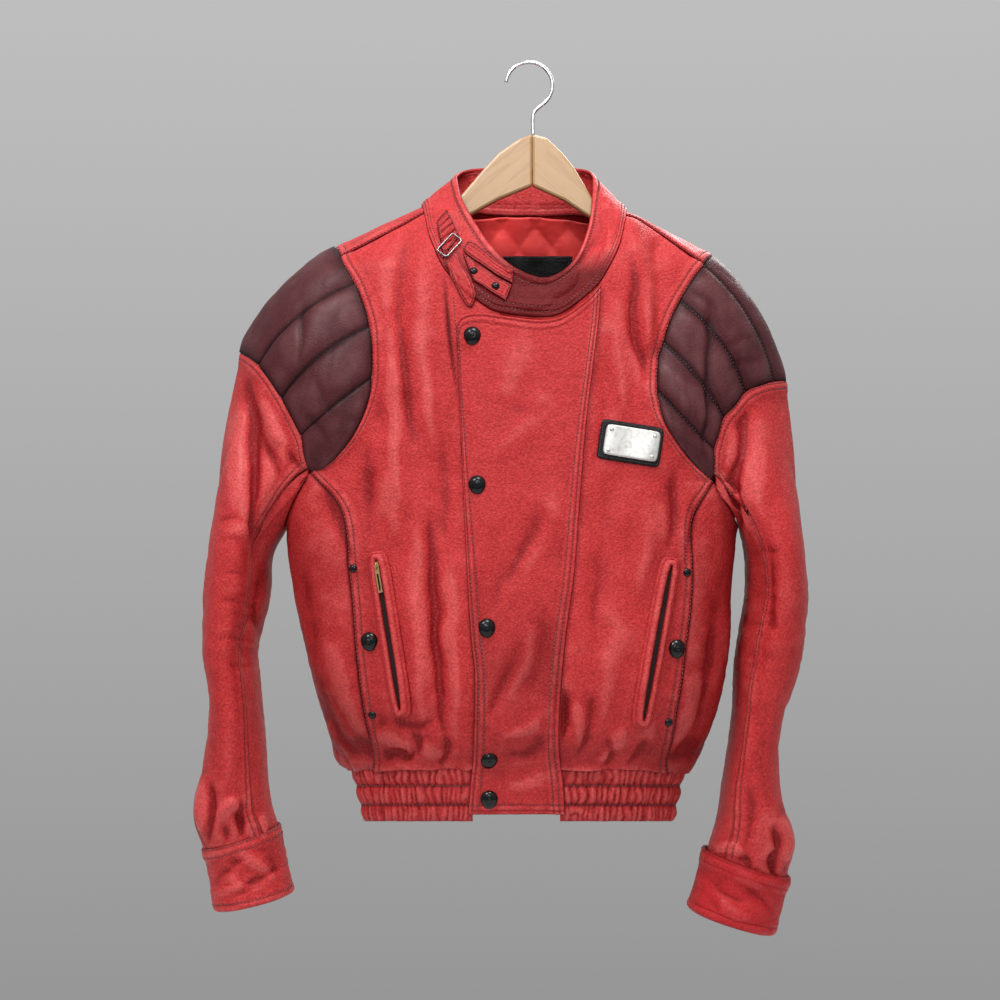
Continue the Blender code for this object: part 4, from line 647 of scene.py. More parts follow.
def placed(x0: Array, z0: Array, y: Array) -> Array:
    """Point in space at depth y that is seen at x0, z0."""
    scale = sight(y)
    return np.stack([VIEW_POINT[0] + (x0 - VIEW_POINT[0]) * scale, y + 0 * x0,
                     VIEW_POINT[2] + (z0 - VIEW_POINT[2]) * scale], axis=-1)


def seen(points: Array) -> tuple[Array, Array]:
    """x and z at which points in space are seen."""
    scale = sight(points[..., 1])
    return (VIEW_POINT[0] + (points[..., 0] - VIEW_POINT[0]) / scale,
            VIEW_POINT[2] + (points[..., 2] - VIEW_POINT[2]) / scale)


def traced(*spots: tuple[float, float]) -> Points:
    """x and z of spots counted across and down in TRACE_STEPs from the view's corner."""
    x, z = TRACE_ORIGIN
    return tuple(((across - x) * TRACE_STEP, (z - down) * TRACE_STEP) for across, down in spots)


CREASE_GAIN = 1.6


@dataclass(frozen=True)
class Crease:
    """A soft ridge, or a trough where rise is negative, along a path of x and z."""

    path: Points
    spread: float
    rise: float
    lean: float = 0.0

    def height(self, x: Array, z: Array) -> Array:
        """Height at points, uneven along the path and steeper on one side.

        Args:
            x: Where the points are.
            z: Their other part.

        Returns:
            The heights.
        """
        curve = dense(self.path, 5)
        along = lengths(curve) / lengths(curve)[-1]
        best = np.full(x.shape, np.inf)
        share, side = np.zeros(x.shape), np.ones(x.shape)
        for a, b, start, stop in zip(curve, curve[1:], along, along[1:]):
            run = b - a
            t = np.clip(((x - a[0]) * run[0] + (z - a[1]) * run[1]) / max(run @ run, 1e-9), 0, 1)
            off_x, off_z = x - a[0] - t * run[0], z - a[1] - t * run[1]
            apart = np.hypot(off_x, off_z)
            near = apart < best
            best = np.where(near, apart, best)
            share = np.where(near, start + t * (stop - start), share)
            side = np.where(near, np.sign(run[0] * off_z - run[1] * off_x), side)
        width = 1.2 * self.spread * (1 + self.lean * side) * (0.85 + 0.3 * np.sin(5 * share))
        fade = np.sin(math.pi * share) ** 0.8
        power = 2.0 if self.rise > 0 else 1.55
        return CREASE_GAIN * self.rise * fade * np.exp(-(best / width) ** power)


def creased(*rows: Sequence) -> tuple[Crease, ...]:
    """Creases from rows that give a path to be traced, a spread, a rise and often a lean."""
    return tuple(Crease(traced(*spots), *sizes) for spots, *sizes in rows)


def crease_height(creases: Sequence[Crease], points: Array) -> Array:
    """Height of several creases at points seen from the front.

    Args:
        creases: The creases.
        points: Points in space.

    Returns:
        The sum of their heights.
    """
    x0, z0 = seen(points)
    wander = np.stack([x0, z0], axis=-1)
    x0 = x0 + 2.5 * noise(wander, 28.0, 3)
    z0 = z0 + 2.5 * noise(wander, 28.0, 4)
    return sum((crease.height(x0, z0) for crease in creases), np.zeros(x0.shape))


@dataclass
class Torso:
    """Form of the jacket's body under its cloth."""

    sections: Points = (
        (-782, 157, 157, 80, 78, 2.5), (-752, 163, 163, 86, 82, 2.5),
        (-724, 171, 171, 88, 84, 2.5), (-700, 189, 189, 101, 97, 2.6),
        (-665, 203, 203, 107, 101, 2.8), (-600, 219, 216, 107, 101, 3.0),
        (-540, 231, 219, 104, 100, 3.0), (-490, 237, 223, 100, 97, 3.0),
        (-440, 240, 232, 96, 93, 3.0), (-380, 238, 236, 92, 90, 3.0),
        (-320, 232, 232, 87, 86, 2.8), (-260, 222, 222, 80, 80, 2.5),
        (-200, 212, 212, 68, 70, 2.4), (-150, 195, 195, 56, 62, 2.4),
        (-100, 185, 185, 50, 56, 2.4))
    shoulder: Points = (
        (0, -115, 110, 50), (60, -125, 98, 45), (100, -147, 74, 38), (119, -155.5, 60, 34),
        (151, -171, 42, 30), (181, -186.5, 32, 27), (195, -195, 28, 25), (203, -202, 25, 25),
        (215, -214, 24, 24), (245, -250, 22, 22))
    folds: Points = (
        (104, -170, 125, -285, 13, 6.0, -1), (132, -190, 134, -300, 8, -5.0, -1),
        (-105, -190, -128, -330, 14, 4.0, -1), (-70, -300, -78, -420, 13, -2.5, -1),
        (-120, -560, -105, -700, 16, 3.5, -1), (-62, -520, -66, -700, 12, 3.5, -1),
        (60, -500, 45, -690, 18, 3.5, -1), (100, -430, 120, -560, 18, -2.5, -1),
        (150, -340, 96, -470, 16, 2.5, -1), (-140, -400, -100, -520, 16, 2.5, -1),
        (-120, -200, -60, -340, 18, 3.0, 1), (100, -210, 50, -330, 18, 3.0, 1),
        (-150, -400, -60, -520, 20, 3.5, 1), (140, -420, 60, -540, 20, 3.5, 1),
        (-90, -600, -80, -700, 16, 3.5, 1), (20, -560, 30, -700, 18, 3.0, 1),
        (110, -600, 95, -700, 16, 3.5, 1))
    fold_fade: float = 25.0

    def __post_init__(self) -> None:
        """Turn the tables into curves."""
        self.widths = {sign: column_curve(self.sections, k) for sign, k in ((-1, 1), (1, 2))}
        self.depths = {side: column_curve(self.sections, k) for side, k in ((-1, 3), (1, 4))}
        self.squareness = column_curve(self.sections, 5)
        self.ridge = column_curve(self.shoulder, 1)
        self.roll = {side: column_curve(self.shoulder, k) for side, k in ((-1, 2), (1, 3))}

    def half_width(self, level: Array, sign: Array) -> Array:
        """Half width at a level on the side that sign names."""
        return np.where(sign > 0, self.widths[1](level), self.widths[-1](level))

    def depth(self, x: Array, level: Array, side: int) -> Array:
        """Distance of the wall from the plane y = 0, in front (-1) or behind (1)."""
        power = self.squareness(level)
        across = np.clip(np.abs(x - CENTRE_X) / self.half_width(level, x - CENTRE_X), 0, 1)
        return self.depths[side](level) * (1 - across ** power) ** (1 / power)

    def front_point(self, x0: Array, z0: Array) -> Array:
        """Point of the front wall seen at x0, z0."""
        x0, z0 = np.broadcast_arrays(np.asarray(x0, float), np.asarray(z0, float))
        y = np.zeros_like(x0)
        for _ in range(40):
            x = VIEW_POINT[0] + (x0 - VIEW_POINT[0]) * sight(y)
            u = np.abs(x - CENTRE_X)
            q = np.clip((self.ridge(u) - z0) / self.roll[-1](u), 0, 1)
            y = 0.5 * y - 0.5 * self.depth(x, z0, -1) * np.sqrt(1 - (1 - q) ** 2)
        return placed(x0, z0, y)

    @staticmethod
    def lowered(level: Array, y: Array) -> Array:
        """Height of a point at depth y whose level is seen on the plane y = 0, in front only."""
        return VIEW_POINT[2] + (level - VIEW_POINT[2]) * sight(np.minimum(y, 0))

    def roll_start(self, x: Array) -> Array:
        """Height at which the back starts to turn over the shoulder."""
        u = np.abs(x - CENTRE_X)
        return self.ridge(u) - self.roll[1](u)

    def back_point(self, x: Array, climb: Array) -> Array:
        """Point of the back wall, where climb is a height that goes on over the shoulder."""
        x, climb = np.broadcast_arrays(np.asarray(x, float), np.asarray(climb, float))
        u = np.abs(x - CENTRE_X)
        back_roll, front_roll = self.roll[1](u), self.roll[-1](u)
        start = self.ridge(u) - back_roll
        turn = np.clip((climb - start) / back_roll, 0, math.pi / 2)
        over = np.clip((climb - start - back_roll * math.pi / 2) / front_roll, 0, math.pi / 2)
        level = np.where(climb < start, climb, start + back_roll * np.sin(turn))
        level = np.where(over > 0, self.ridge(u) - front_roll * (1 - np.cos(over)), level)
        y = np.where(over > 0, -self.depth(x, level, -1) * np.sin(over),
                     self.depth(x, level, 1) * np.cos(turn))
        return np.stack([x, y, self.lowered(level, y)], axis=-1)

    def climb_of_turn(self, x: Array, degrees: Array) -> Array:
        """Climb of a point that has turned by an angle over the back's roll."""
        return self.roll_start(x) + self.roll[1](np.abs(x - CENTRE_X)) * np.radians(degrees)

    def climb_of_level(self, x: Array, level: Array) -> Array:
        """Climb of a point of the back wall at a height."""
        back_roll = self.roll[1](np.abs(x - CENTRE_X))
        sine = np.clip((level - self.roll_start(x)) / back_roll, 0, 1)
        return np.where(sine > 0, self.roll_start(x) + back_roll * np.arcsin(sine), level)

    def climb_of_front(self, x: Array, z0: Array) -> Array:
        """Climb of a point of the front wall seen at level z0, past the ridge."""
        u = np.abs(x - CENTRE_X)
        q = np.clip((self.ridge(u) - z0) / self.roll[-1](u), 0, 1)
        quarter = self.roll[1](u) * math.pi / 2
        return self.roll_start(x) + quarter + self.roll[-1](u) * np.arccos(1 - q)

    def side_point(self, angle: Array, level: Array) -> Array:
        """Point of the wall at an angle from the front round the viewer's right, and a level."""
        angle, level = np.broadcast_arrays(np.asarray(angle, float), np.asarray(level, float))
        power = 2 / self.squareness(level)
        sine, cosine = np.sin(angle), np.cos(angle)
        deep = np.where(cosine > 0, self.depths[-1](level), self.depths[1](level))
        x = CENTRE_X + self.half_width(level, sine) * np.sign(sine) * np.abs(sine) ** power
        y = -deep * np.sign(cosine) * np.abs(cosine) ** power
        return np.stack([x, y, self.lowered(level, y)], axis=-1)

    def side_angle(self, points: Array, level: Array) -> Array:
        """Angle of side_point for points on the wall."""
        offset = points[..., 0] - CENTRE_X
        across = np.clip(offset / self.half_width(level, offset), -1, 1)
        angle = np.arcsin(np.sign(across) * np.abs(across) ** (self.squareness(level) / 2))
        return np.where(points[..., 1] > 0, np.sign(angle) * math.pi - angle, angle)

    def normals(self, surface: Callable, a: Array, b: Array, step: float = 0.5) -> Array:
        """Outward normals of one of the walls.

        Args:
            surface: front_point, back_point or side_point.
            a: Its first argument.
            b: Its second argument.
            step: How far apart the first argument is sampled.

        Returns:
            The normals.
        """
        along_a = surface(a + step, b) - surface(a - step, b)
        along_b = surface(a, b + 0.5) - surface(a, b - 0.5)
        normals, points = unit(np.cross(along_a, along_b)), surface(a, b)
        centre = np.zeros_like(points)
        centre[..., 0] = CENTRE_X + 0.6 * (points[..., 0] - CENTRE_X)
        centre[..., 2] = points[..., 2] - 30
        away = np.sum(normals * (points - centre), axis=-1, keepdims=True)
        return np.where(away < 0, -normals, normals)

    def folded(self, points: Array, normals: Array) -> Array:
        """Points moved by the main folds; a fold fades where the body turns to its side."""
        x0, z0 = seen(points)
        height = np.zeros_like(x0)
        for ax, az, bx, bz, spread, rise, side in self.folds:
            run_x, run_z = bx - ax, bz - az
            t = np.clip(((x0 - ax) * run_x + (z0 - az) * run_z) / (run_x ** 2 + run_z ** 2), 0, 1)
            apart = np.hypot(x0 - ax - t * run_x, z0 - az - t * run_z)
            facing = np.clip(side * points[..., 1] / self.fold_fade, 0, 1)
            height += rise * facing * hump(apart, 0, spread)
        return points + normals * height[..., None]

    def wall(self, surface: Callable, a: Array, b: Array, step: float = 0.5) -> tuple[Array, Array]:
        """Folded points and normals of one of the walls, with the arguments of normals()."""
        normals = self.normals(surface, a, b, step)
        return self.folded(surface(a, b), normals), normals


TORSO = Torso()


# ---- seams, edges and stitching ------------------------------------------------------------------

class Edge(Enum):
    """How a piece's edge is finished."""

    LAPPED = "lies over its neighbour, sewn down in two rows"
    UNDER = "runs under its neighbour"
    FOLDED = "free edge, folded and sewn in two rows"
    PLAIN = "no finish"


@dataclass(frozen=True)
class SeamSizes:
    """Sizes of a sewn edge."""

    rows: tuple[float, float] = (2.0, 8.0)
    lap_lift: float = 1.3
    lap_reach: float = 1.0
    lap_fade: float = 17.0
    under_depth: float = 1.4
    stitch_dent: float = 0.55
    puff: float = 0.5


SEAM = SeamSizes()


def edge_height(apart: Array, edge: Edge, rows: tuple[float, float] = SEAM.rows) -> Array:
    """Height of the cloth near one of its edges.

    Args:
        apart: Distance of each point from the edge.
        edge: How the edge is finished.
        rows: Distances of its two rows of stitches.

    Returns:
        The heights.
    """
    if edge is Edge.PLAIN:
        return np.zeros(apart.shape)
    if edge is Edge.UNDER:
        return -SEAM.under_depth * hump(apart, 0, 1.6)
    lift = SEAM.lap_lift if edge is Edge.LAPPED else 0.35
    fade = np.clip((SEAM.lap_fade - apart) / (SEAM.lap_fade - rows[1] - 1), 0, 1)
    height = lift * fade * fade * (3 - 2 * fade)
    height -= 0.9 * hump(apart, 0, 0.7)
    height += SEAM.puff * np.sin(math.pi * np.clip(apart / rows[0], 0, 1))
    height += SEAM.puff * np.sin(math.pi * np.clip((apart - rows[0]) / (rows[1] - rows[0]), 0, 1))
    for row in rows:
        height -= SEAM.stitch_dent * hump(apart, row, 0.8)
    return height


def edge_shade(apart: Array, edge: Edge, rows: tuple[float, float] = SEAM.rows) -> Array:
    """How much painted shade darkens the seam's dents, from 0 to 1, with edge_height's arguments.
    """
    if edge is Edge.PLAIN:
        return np.zeros(apart.shape)
    shade = 0.8 * hump(apart, 0, 0.9)
    if edge is not Edge.UNDER:
        for row in rows:
            shade += 0.38 * hump(apart, row, 0.9)
    return np.clip(shade, 0, 1)


@dataclass
class Cloth:
    """A grid of cloth: points, outward normals, relief over them and the shade painted into its
    colour.
    """

    name: str
    points: Array
    normals: Array
    relief: Array
    shade: Array
    closed: bool = False

    def surface(self) -> Array:
        """The grid with its relief."""
        return self.points + self.relief[..., None] * self.normals

    def tree(self) -> BVHTree:
        """Search tree over the surface."""
        grid = self.surface()
        if self.closed:
            grid = np.concatenate([grid, grid[:, :1]], axis=1)
        return tree_of([grid])

    def line(self, side: str, apart: float, distances: Array) -> tuple[Array, Array]:
        """Points and normals of a line that runs along one side of the surface.

        Args:
            side: "l", "r", "t" or "b".
            apart: Distance of the line from that side.
            distances: Distance of every point of the grid from that side.

        Returns:
            The points and the normals.
        """
        grids = [self.surface(), self.normals, distances[..., None]]
        if side in "tb":
            grids = [np.swapaxes(grid, 0, 1) for grid in grids]
        if side in "rb":
            grids = [grid[:, ::-1] for grid in grids]
        points, normals, away = grids
        share = np.stack([np.interp(apart, row[:, 0], np.arange(len(row))) for row in away])
        low = np.minimum(share.astype(int), away.shape[1] - 2)
        part = (share - low)[:, None]
        index = np.arange(len(away))
        return (points[index, low] * (1 - part) + points[index, low + 1] * part,
                unit(normals[index, low] * (1 - part) + normals[index, low + 1] * part))

    def make(self, finish: Finish, thickness: float = 2.0, inside: Finish | None = None,
             cells: Array | None = None) -> bpy.types.Object:
        """Build the piece, thickened inward.

        Args:
            finish: Its finish.
            thickness: Of the cloth.
            inside: The finish of its inner side.
            cells: True for the grid's cells that hold cloth, where some don't.

        Returns:
            The object.
        """
        grid = self.surface()
        rows, cols = grid.shape[:2]
        faces = grid_faces(rows, cols, self.closed)
        if cells is not None:
            faces = faces[cells.reshape(-1)]
        obj = mesh_object(self.name, grid.reshape(-1, 3), faces[:, ::-1], finish)
        # The "seam" mark carries the painted shade, which the finishes darken the colour by.
        for name, values in (("relief", standing(self.relief)), ("seam", self.shade)):
            mark = obj.data.attributes.new(name, "FLOAT", "POINT")
            mark.data.foreach_set("value", np.ascontiguousarray(values, np.float32).reshape(-1))
        solid = obj.modifiers.new("thickness", "SOLIDIFY")
        solid.thickness = thickness * MM
        solid.offset = -1
        if inside is not None:
            obj.data.materials.append(inside.material())
            solid.material_offset = 1
            solid.material_offset_rim = 0
        return obj


def standing(relief: Array, rounds: int = 26) -> Array:
    """How far each point of a relief stands over the mean of those round it."""
    mean = relief
    for _ in range(rounds):
        wide = np.pad(mean, 1, mode="edge")
        mean = (wide[:-2, 1:-1] + wide[2:, 1:-1] + wide[1:-1, :-2] + wide[1:-1, 2:]) / 4
    return relief - mean


def grid_faces(rows: int, cols: int, closed: bool) -> Array:
    """Quads of a grid, one row of four numbers each."""
    i, j = np.mgrid[:rows - 1, :cols if closed else cols - 1]
    i, j = i.reshape(-1), j.reshape(-1)
    k = (j + 1) % cols
    return np.stack([i * cols + j, i * cols + k, (i + 1) * cols + k, (i + 1) * cols + j], axis=1)


def mesh_object(name: str, points: Array, faces: Sequence, finish: Finish,
                smooth: bool = True) -> bpy.types.Object:
    """Make a mesh object from points in millimetres.

    Args:
        name: The piece's name.
        points: Its points.
        faces: Lists of point numbers.
        finish: Its finish.
        smooth: Whether it is shaded smooth.

    Returns:
        The object.
    """
    mesh = bpy.data.meshes.new(name)
    faces = faces.tolist() if isinstance(faces, np.ndarray) else faces
    mesh.from_pydata((np.asarray(points) * MM).tolist(), [], faces)
    mesh.materials.append(finish.material())
    if smooth:
        mesh.shade_smooth()
    obj = bpy.data.objects.new(name, mesh)
    bpy.context.scene.collection.objects.link(obj)
    return obj


def tree_of(grids: Sequence[Array]) -> BVHTree:
    """Search tree over several grids."""
    points, faces, start = [], [], 0
    for grid in grids:
        faces += (grid_faces(*grid.shape[:2], False) + start).tolist()
        points += grid.reshape(-1, 3).tolist()
        start = len(points)
    return BVHTree.FromPolygons(points, faces)


def laid_on(tree: BVHTree, x0: Array, z0: Array, origin: Sequence[float] = VIEW_POINT) -> Array:
    """Where lines from a point through x0, z0 on the plane y = 0 meet a tree's faces."""
    start = Vector(origin)
    hits = []
    for x, z in zip(np.ravel(x0), np.ravel(z0)):
        hit = tree.ray_cast(start, (Vector((x, 0, z)) - start).normalized())[0]
        if hit is None:
            raise ValueError(f"nothing lies behind x {x:.1f}, z {z:.1f}")
        hits.append(tuple(hit))
    return np.array(hits).reshape(np.shape(x0) + (3,))


def finish_piece(obj: bpy.types.Object, slot: str, *nodes: str, body: str = BODY) -> None:
    """Put a piece on its body and hide the CAD nodes that it replaces, if any.

    Args:
        obj: The piece.
        slot: The record's material slot; not used.
        nodes: The CAD nodes that it replaces.
        body: The body it rides on.
    """
    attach(obj, body)
    if nodes:
        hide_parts(*nodes)
    LOG.info("%s: %d faces", obj.name, len(obj.data.polygons))


@dataclass
class Stitching:
    """Rows of stitches gathered into one piece."""

    name: str
    finish: Finish = Finish.THREAD
    pitch: float = 3.8
    length: float = 2.4
    radius: float = 0.72
    sink: float = 0.05
    sides: int = 4
    profile: Points = ((-0.5, 0.05), (-0.27, 1.0), (0.27, 1.0), (0.5, 0.05))
    points: list = field(default_factory=list)
    faces: list = field(default_factory=list)

    def row(self, path: Array, normals: Array) -> None:
        """Sew one row.

        Args:
            path: The points it runs through.
            normals: The cloth's normals there.
        """
        along = lengths(path)
        count = int(along[-1] / self.pitch)
        if count < 1:
            return
        middles = (np.arange(count) + 0.5) * along[-1] / count
        up = unit(np.stack([np.interp(middles, along, normals[:, k]) for k in range(3)], axis=1))
        start, stop = (at_lengths(path, middles + sign * self.length / 2) for sign in (-1, 1))
        ahead = unit(stop - start)
        centre = at_lengths(path, middles) + up * (self.sink + 0.2 * self.radius)
        other = np.cross(ahead, up)
        number = len(self.points)
        sides, rings = self.sides, len(self.profile)
        for place, share in self.profile:
            offset, ring = self.length * place, self.radius * share
            drop = 0.5 * self.radius * (2 * offset / self.length) ** 2
            for turn in np.arange(sides) * 2 * math.pi / sides:
                spot = centre + ahead * offset + up * (ring * math.sin(turn) - drop)
                self.points += (spot + other * ring * math.cos(turn)).tolist()
        for ring in range(rings - 1):
            for k in range(sides):
                a, b = ring * sides + k, ring * sides + (k + 1) % sides
                for stitch in range(count):
                    self.faces.append([number + index * count + stitch
                                       for index in (a, b, b + sides, a + sides)])
        for cap in (range(sides - 1, -1, -1), range((rings - 1) * sides, rings * sides)):
            for stitch in range(count):
                self.faces.append([number + index * count + stitch for index in cap])

    def make(self, slot: str) -> bpy.types.Object:
        """Build the piece.

        Args:
            slot: The record's material slot.

        Returns:
            The object.
        """
        obj = mesh_object(self.name, np.array(self.points), self.faces, self.finish)
        finish_piece(obj, slot)
        return obj


# ---- armholes, seams and the neck ----------------------------------------------------------------

@dataclass(frozen=True)
class Side:
    """What differs between the wearer's right (-1) and left (+1) half."""

    sign: int
    name: str
    armhole: Sequence[Points]
    head: Sequence[Points]
    head_depth: Sequence[float]
    princess: Points
    shoulder: Points
    ridge: float
    crown: Sequence[float]

    def at(self, u: float) -> float:
        """x at a distance from the centre on this side."""
        return CENTRE_X + self.sign * u


RIGHT = Side(
    -1, "right",
    armhole=(((-194, -199), (-190, -208), (-179, -226)),
             ((-179, -226), (-172, -244), (-164, -270)),
             ((-164, -270), (-162, -296), (-162, -322)),
             ((-162, -322), (-165, -342), (-173, -365), (-184, -385), (-199, -404),
              (-212, -415), (-225, -420))),
    head=(((-294, -298), (-287, -302), (-278, -310)),
          ((-278, -310), (-266, -325), (-254, -344)),
          ((-254, -344), (-244, -362), (-234, -383)),
          ((-234, -383), (-231, -395), (-227, -416))),
    head_depth=(-8, -40, -58, -67, -66),
    princess=((-225, -420), (-199, -449), (-189, -475), (-185, -517), (-181, -555),
              (-178, -596), (-174, -632), (-170, -661), (-164, -690), (-157, -723)),
    shoulder=((-108, -153), (-150, -176), (-194, -199)),
    ridge=188.0, crown=(-296, -297))
LEFT = Side(
    1, "left",
    armhole=(((180, -206), (170, -219), (155, -243)),
             ((155, -243), (146, -262), (138, -286)),
             ((138, -286), (133, -306), (131, -335)),
             ((131, -335), (133, -348), (138, -367), (149, -385), (163, -404),
              (177, -419), (189, -430))),
    head=(((253, -328), (239, -331), (223, -339)),
          ((223, -339), (212, -352), (201, -365)),
          ((201, -365), (195, -381), (191, -397)),
          ((191, -397), (190.5, -410), (191, -423))),
    head_depth=(-24, -52, -68, -76, -74),
    princess=((189, -430), (169, -470), (168, -531), (165, -568), (161, -600),
              (157, -632), (151, -663), (146, -694), (138, -723)),
    shoulder=((99, -157), (130, -171), (180, -206)),
    ridge=199.0, crown=(264, -327))


@dataclass
class Seams:
    """Lines that neighbouring pieces of one side share, cut fine times as finely as the solids."""

    side: Side
    fine: int
    front_runs: Sequence[int] = (2, 2, 2, 4)
    back_runs: Sequence[int] = (4, 2, 2, 3)
    underarm_count: int = 6
    princess_count: int = 8
    shoulder_count: int = 6
    underarm_level: float = -476.0
    head_corner: Sequence[float] = (2.5, 0.0, 4.5)
    back_armhole: Sequence[Points] = (((184, -218), (177, -240)),
                                      ((177, -240), (171, -262), (167, -285)),
                                      ((167, -285), (164, -310), (165, -335)),
                                      ((165, -335), (172, -368), (188, -402), (212, -424)))
    back_lap: Points = ((212, -424), (196, -450), (186, -490), (180, -560), (172, -640),
                        (156, -723))

    def __post_init__(self) -> None:
        """Lay out all lines."""
        side, fine = self.side, self.fine
        self.front_runs = [fine * count for count in self.front_runs]
        self.back_runs = [fine * count for count in self.back_runs]
        self.arm_front = run_edge(side.armhole, self.front_runs)
        self.arm_back = self._back_armhole()
        self.shoulder = spaced(side.shoulder, fine * self.shoulder_count)
        self.princess = spaced(side.princess, fine * self.princess_count)
        self.back_seam = spaced([(side.at(u), z) for u, z in self.back_lap],
                                fine * self.princess_count)
        self.underarm = self._underarm()
        front = TORSO.wall(TORSO.front_point, *self.arm_front[::-1].T)[0]
        back = TORSO.wall(TORSO.back_point, *self.arm_back.T)[0]
        self.arm_ring = np.vstack([front, back[1:]])
        self.head_ring = self._sleeve_head()

    def climbed(self, seam: Array) -> Array:
        """A line seen from the front, as x and climb of the back wall."""
        x = TORSO.front_point(seam[:, 0], seam[:, 1])[:, 0]
        return np.stack([x, TORSO.climb_of_front(x, seam[:, 1])], axis=1)

    def _back_armhole(self) -> Array:
        """x and climb of the armhole from the shoulder seam over the ridge to the back corner."""
        ridge_x = self.side.at(self.side.ridge)
        crown = [tuple(self.climbed(self.arm_front[:1])[0]),
                 (ridge_x, TORSO.climb_of_turn(ridge_x, 90.0))]
        runs = [[(self.side.at(u), float(TORSO.climb_of_level(self.side.at(u), z)))
                 for u, z in run] for run in self.back_armhole]
        return run_edge([crown + runs[0]] + runs[1:], self.back_runs)

    def _underarm(self) -> Array:
        """Angle and level of the underarm seam, from the front corner to the back corner."""
        front_level, back_level = self.arm_front[-1, 1], self.arm_back[-1, 1]
        front = float(TORSO.side_angle(TORSO.front_point(*self.arm_front[-1]), front_level))
        back = float(TORSO.side_angle(TORSO.back_point(*self.arm_back[-1]), back_level))
        t = np.linspace(0, 1, self.fine * self.underarm_count + 1)
        dip = (front_level + back_level) / 2 - self.underarm_level
        level = front_level + (back_level - front_level) * t - dip * np.sin(math.pi * t)
        return np.stack([front + (back - front) * t, level], axis=1)

    def _sleeve_head(self) -> Array:
        """Sleeve head in space, point for point opposite the armhole."""
        side, runs = self.side, []
        for i, run in enumerate(side.head):
            depths = np.linspace(*side.head_depth[i:i + 2], len(run))
            runs.append([tuple(placed(np.float64(x), np.float64(z), y))
                         for (x, z), y in zip(run, depths)])
        corner = self.arm_ring[-1] + self.head_corner * np.array([side.sign, 1, 1])
        miss = corner - runs[-1][-1] * np.array([1, -1, 1])
        behind = []
        for i, run in enumerate(runs):
            parts = (i + np.linspace(0, 1, len(run))) / len(runs)
            behind.append([(x + miss[0] * t, -y + miss[1] * t, z + miss[2] * t)
                           for (x, y, z), t in zip(run, parts)])
        crown = [runs[0][0], (side.crown[0], 0.0, side.crown[1])]
        front = run_edge(runs, self.front_runs)
        back = run_edge([crown + behind[0]] + behind[1:], self.back_runs)
        return np.vstack([front[::-1], back[1:]])


@dataclass
class Neck:
    """Neck seam, from the right shoulder seam across the front and on round the back."""

    fine: int
    front_count: int = 14
    back_count: int = 12
    front_path: Points = ((-108, -153), (-102, -179), (-90, -207), (-76, -224), (-45, -250),
                          (-25, -257), (10, -261), (34, -257), (67, -232), (83, -209),
                          (94, -185), (99, -157))
    back_path: Points = ((99, 78), (90, 58), (74, 44), (48, 32), (20, 25), (-6, 23), (-32, 25),
                         (-60, 32), (-86, 44), (-101, 58), (-110, 78))

    def __post_init__(self) -> None:
        """Lay out the seam."""
        self.seen_front = spaced(self.front_path, self.fine * self.front_count)
        x, z = TORSO.front_point(*self.seen_front[[-1, 0]].T)[:, 0], self.seen_front[[-1, 0], 1]
        ends = np.stack([x, TORSO.climb_of_front(x, z)], axis=1)
        behind = [(x, float(TORSO.climb_of_turn(x, turn))) for x, turn in self.back_path]
        self.climb = spaced([tuple(ends[0])] + behind + [tuple(ends[1])],
                            self.fine * self.back_count)
        front = TORSO.wall(TORSO.front_point, *self.seen_front.T)[0]
        back = TORSO.wall(TORSO.back_point, *self.climb.T)[0]
        self.ring = np.vstack([front, back[1:-1]])


def outward(normals: Array, grid: Array, centre: Points) -> Array:
    """Normals turned so that they point away from a centre."""
    return normals if np.sum(normals * (grid - np.array(centre))) > 0 else -normals


# ---- body panels ---------------------------------------------------------------------------------

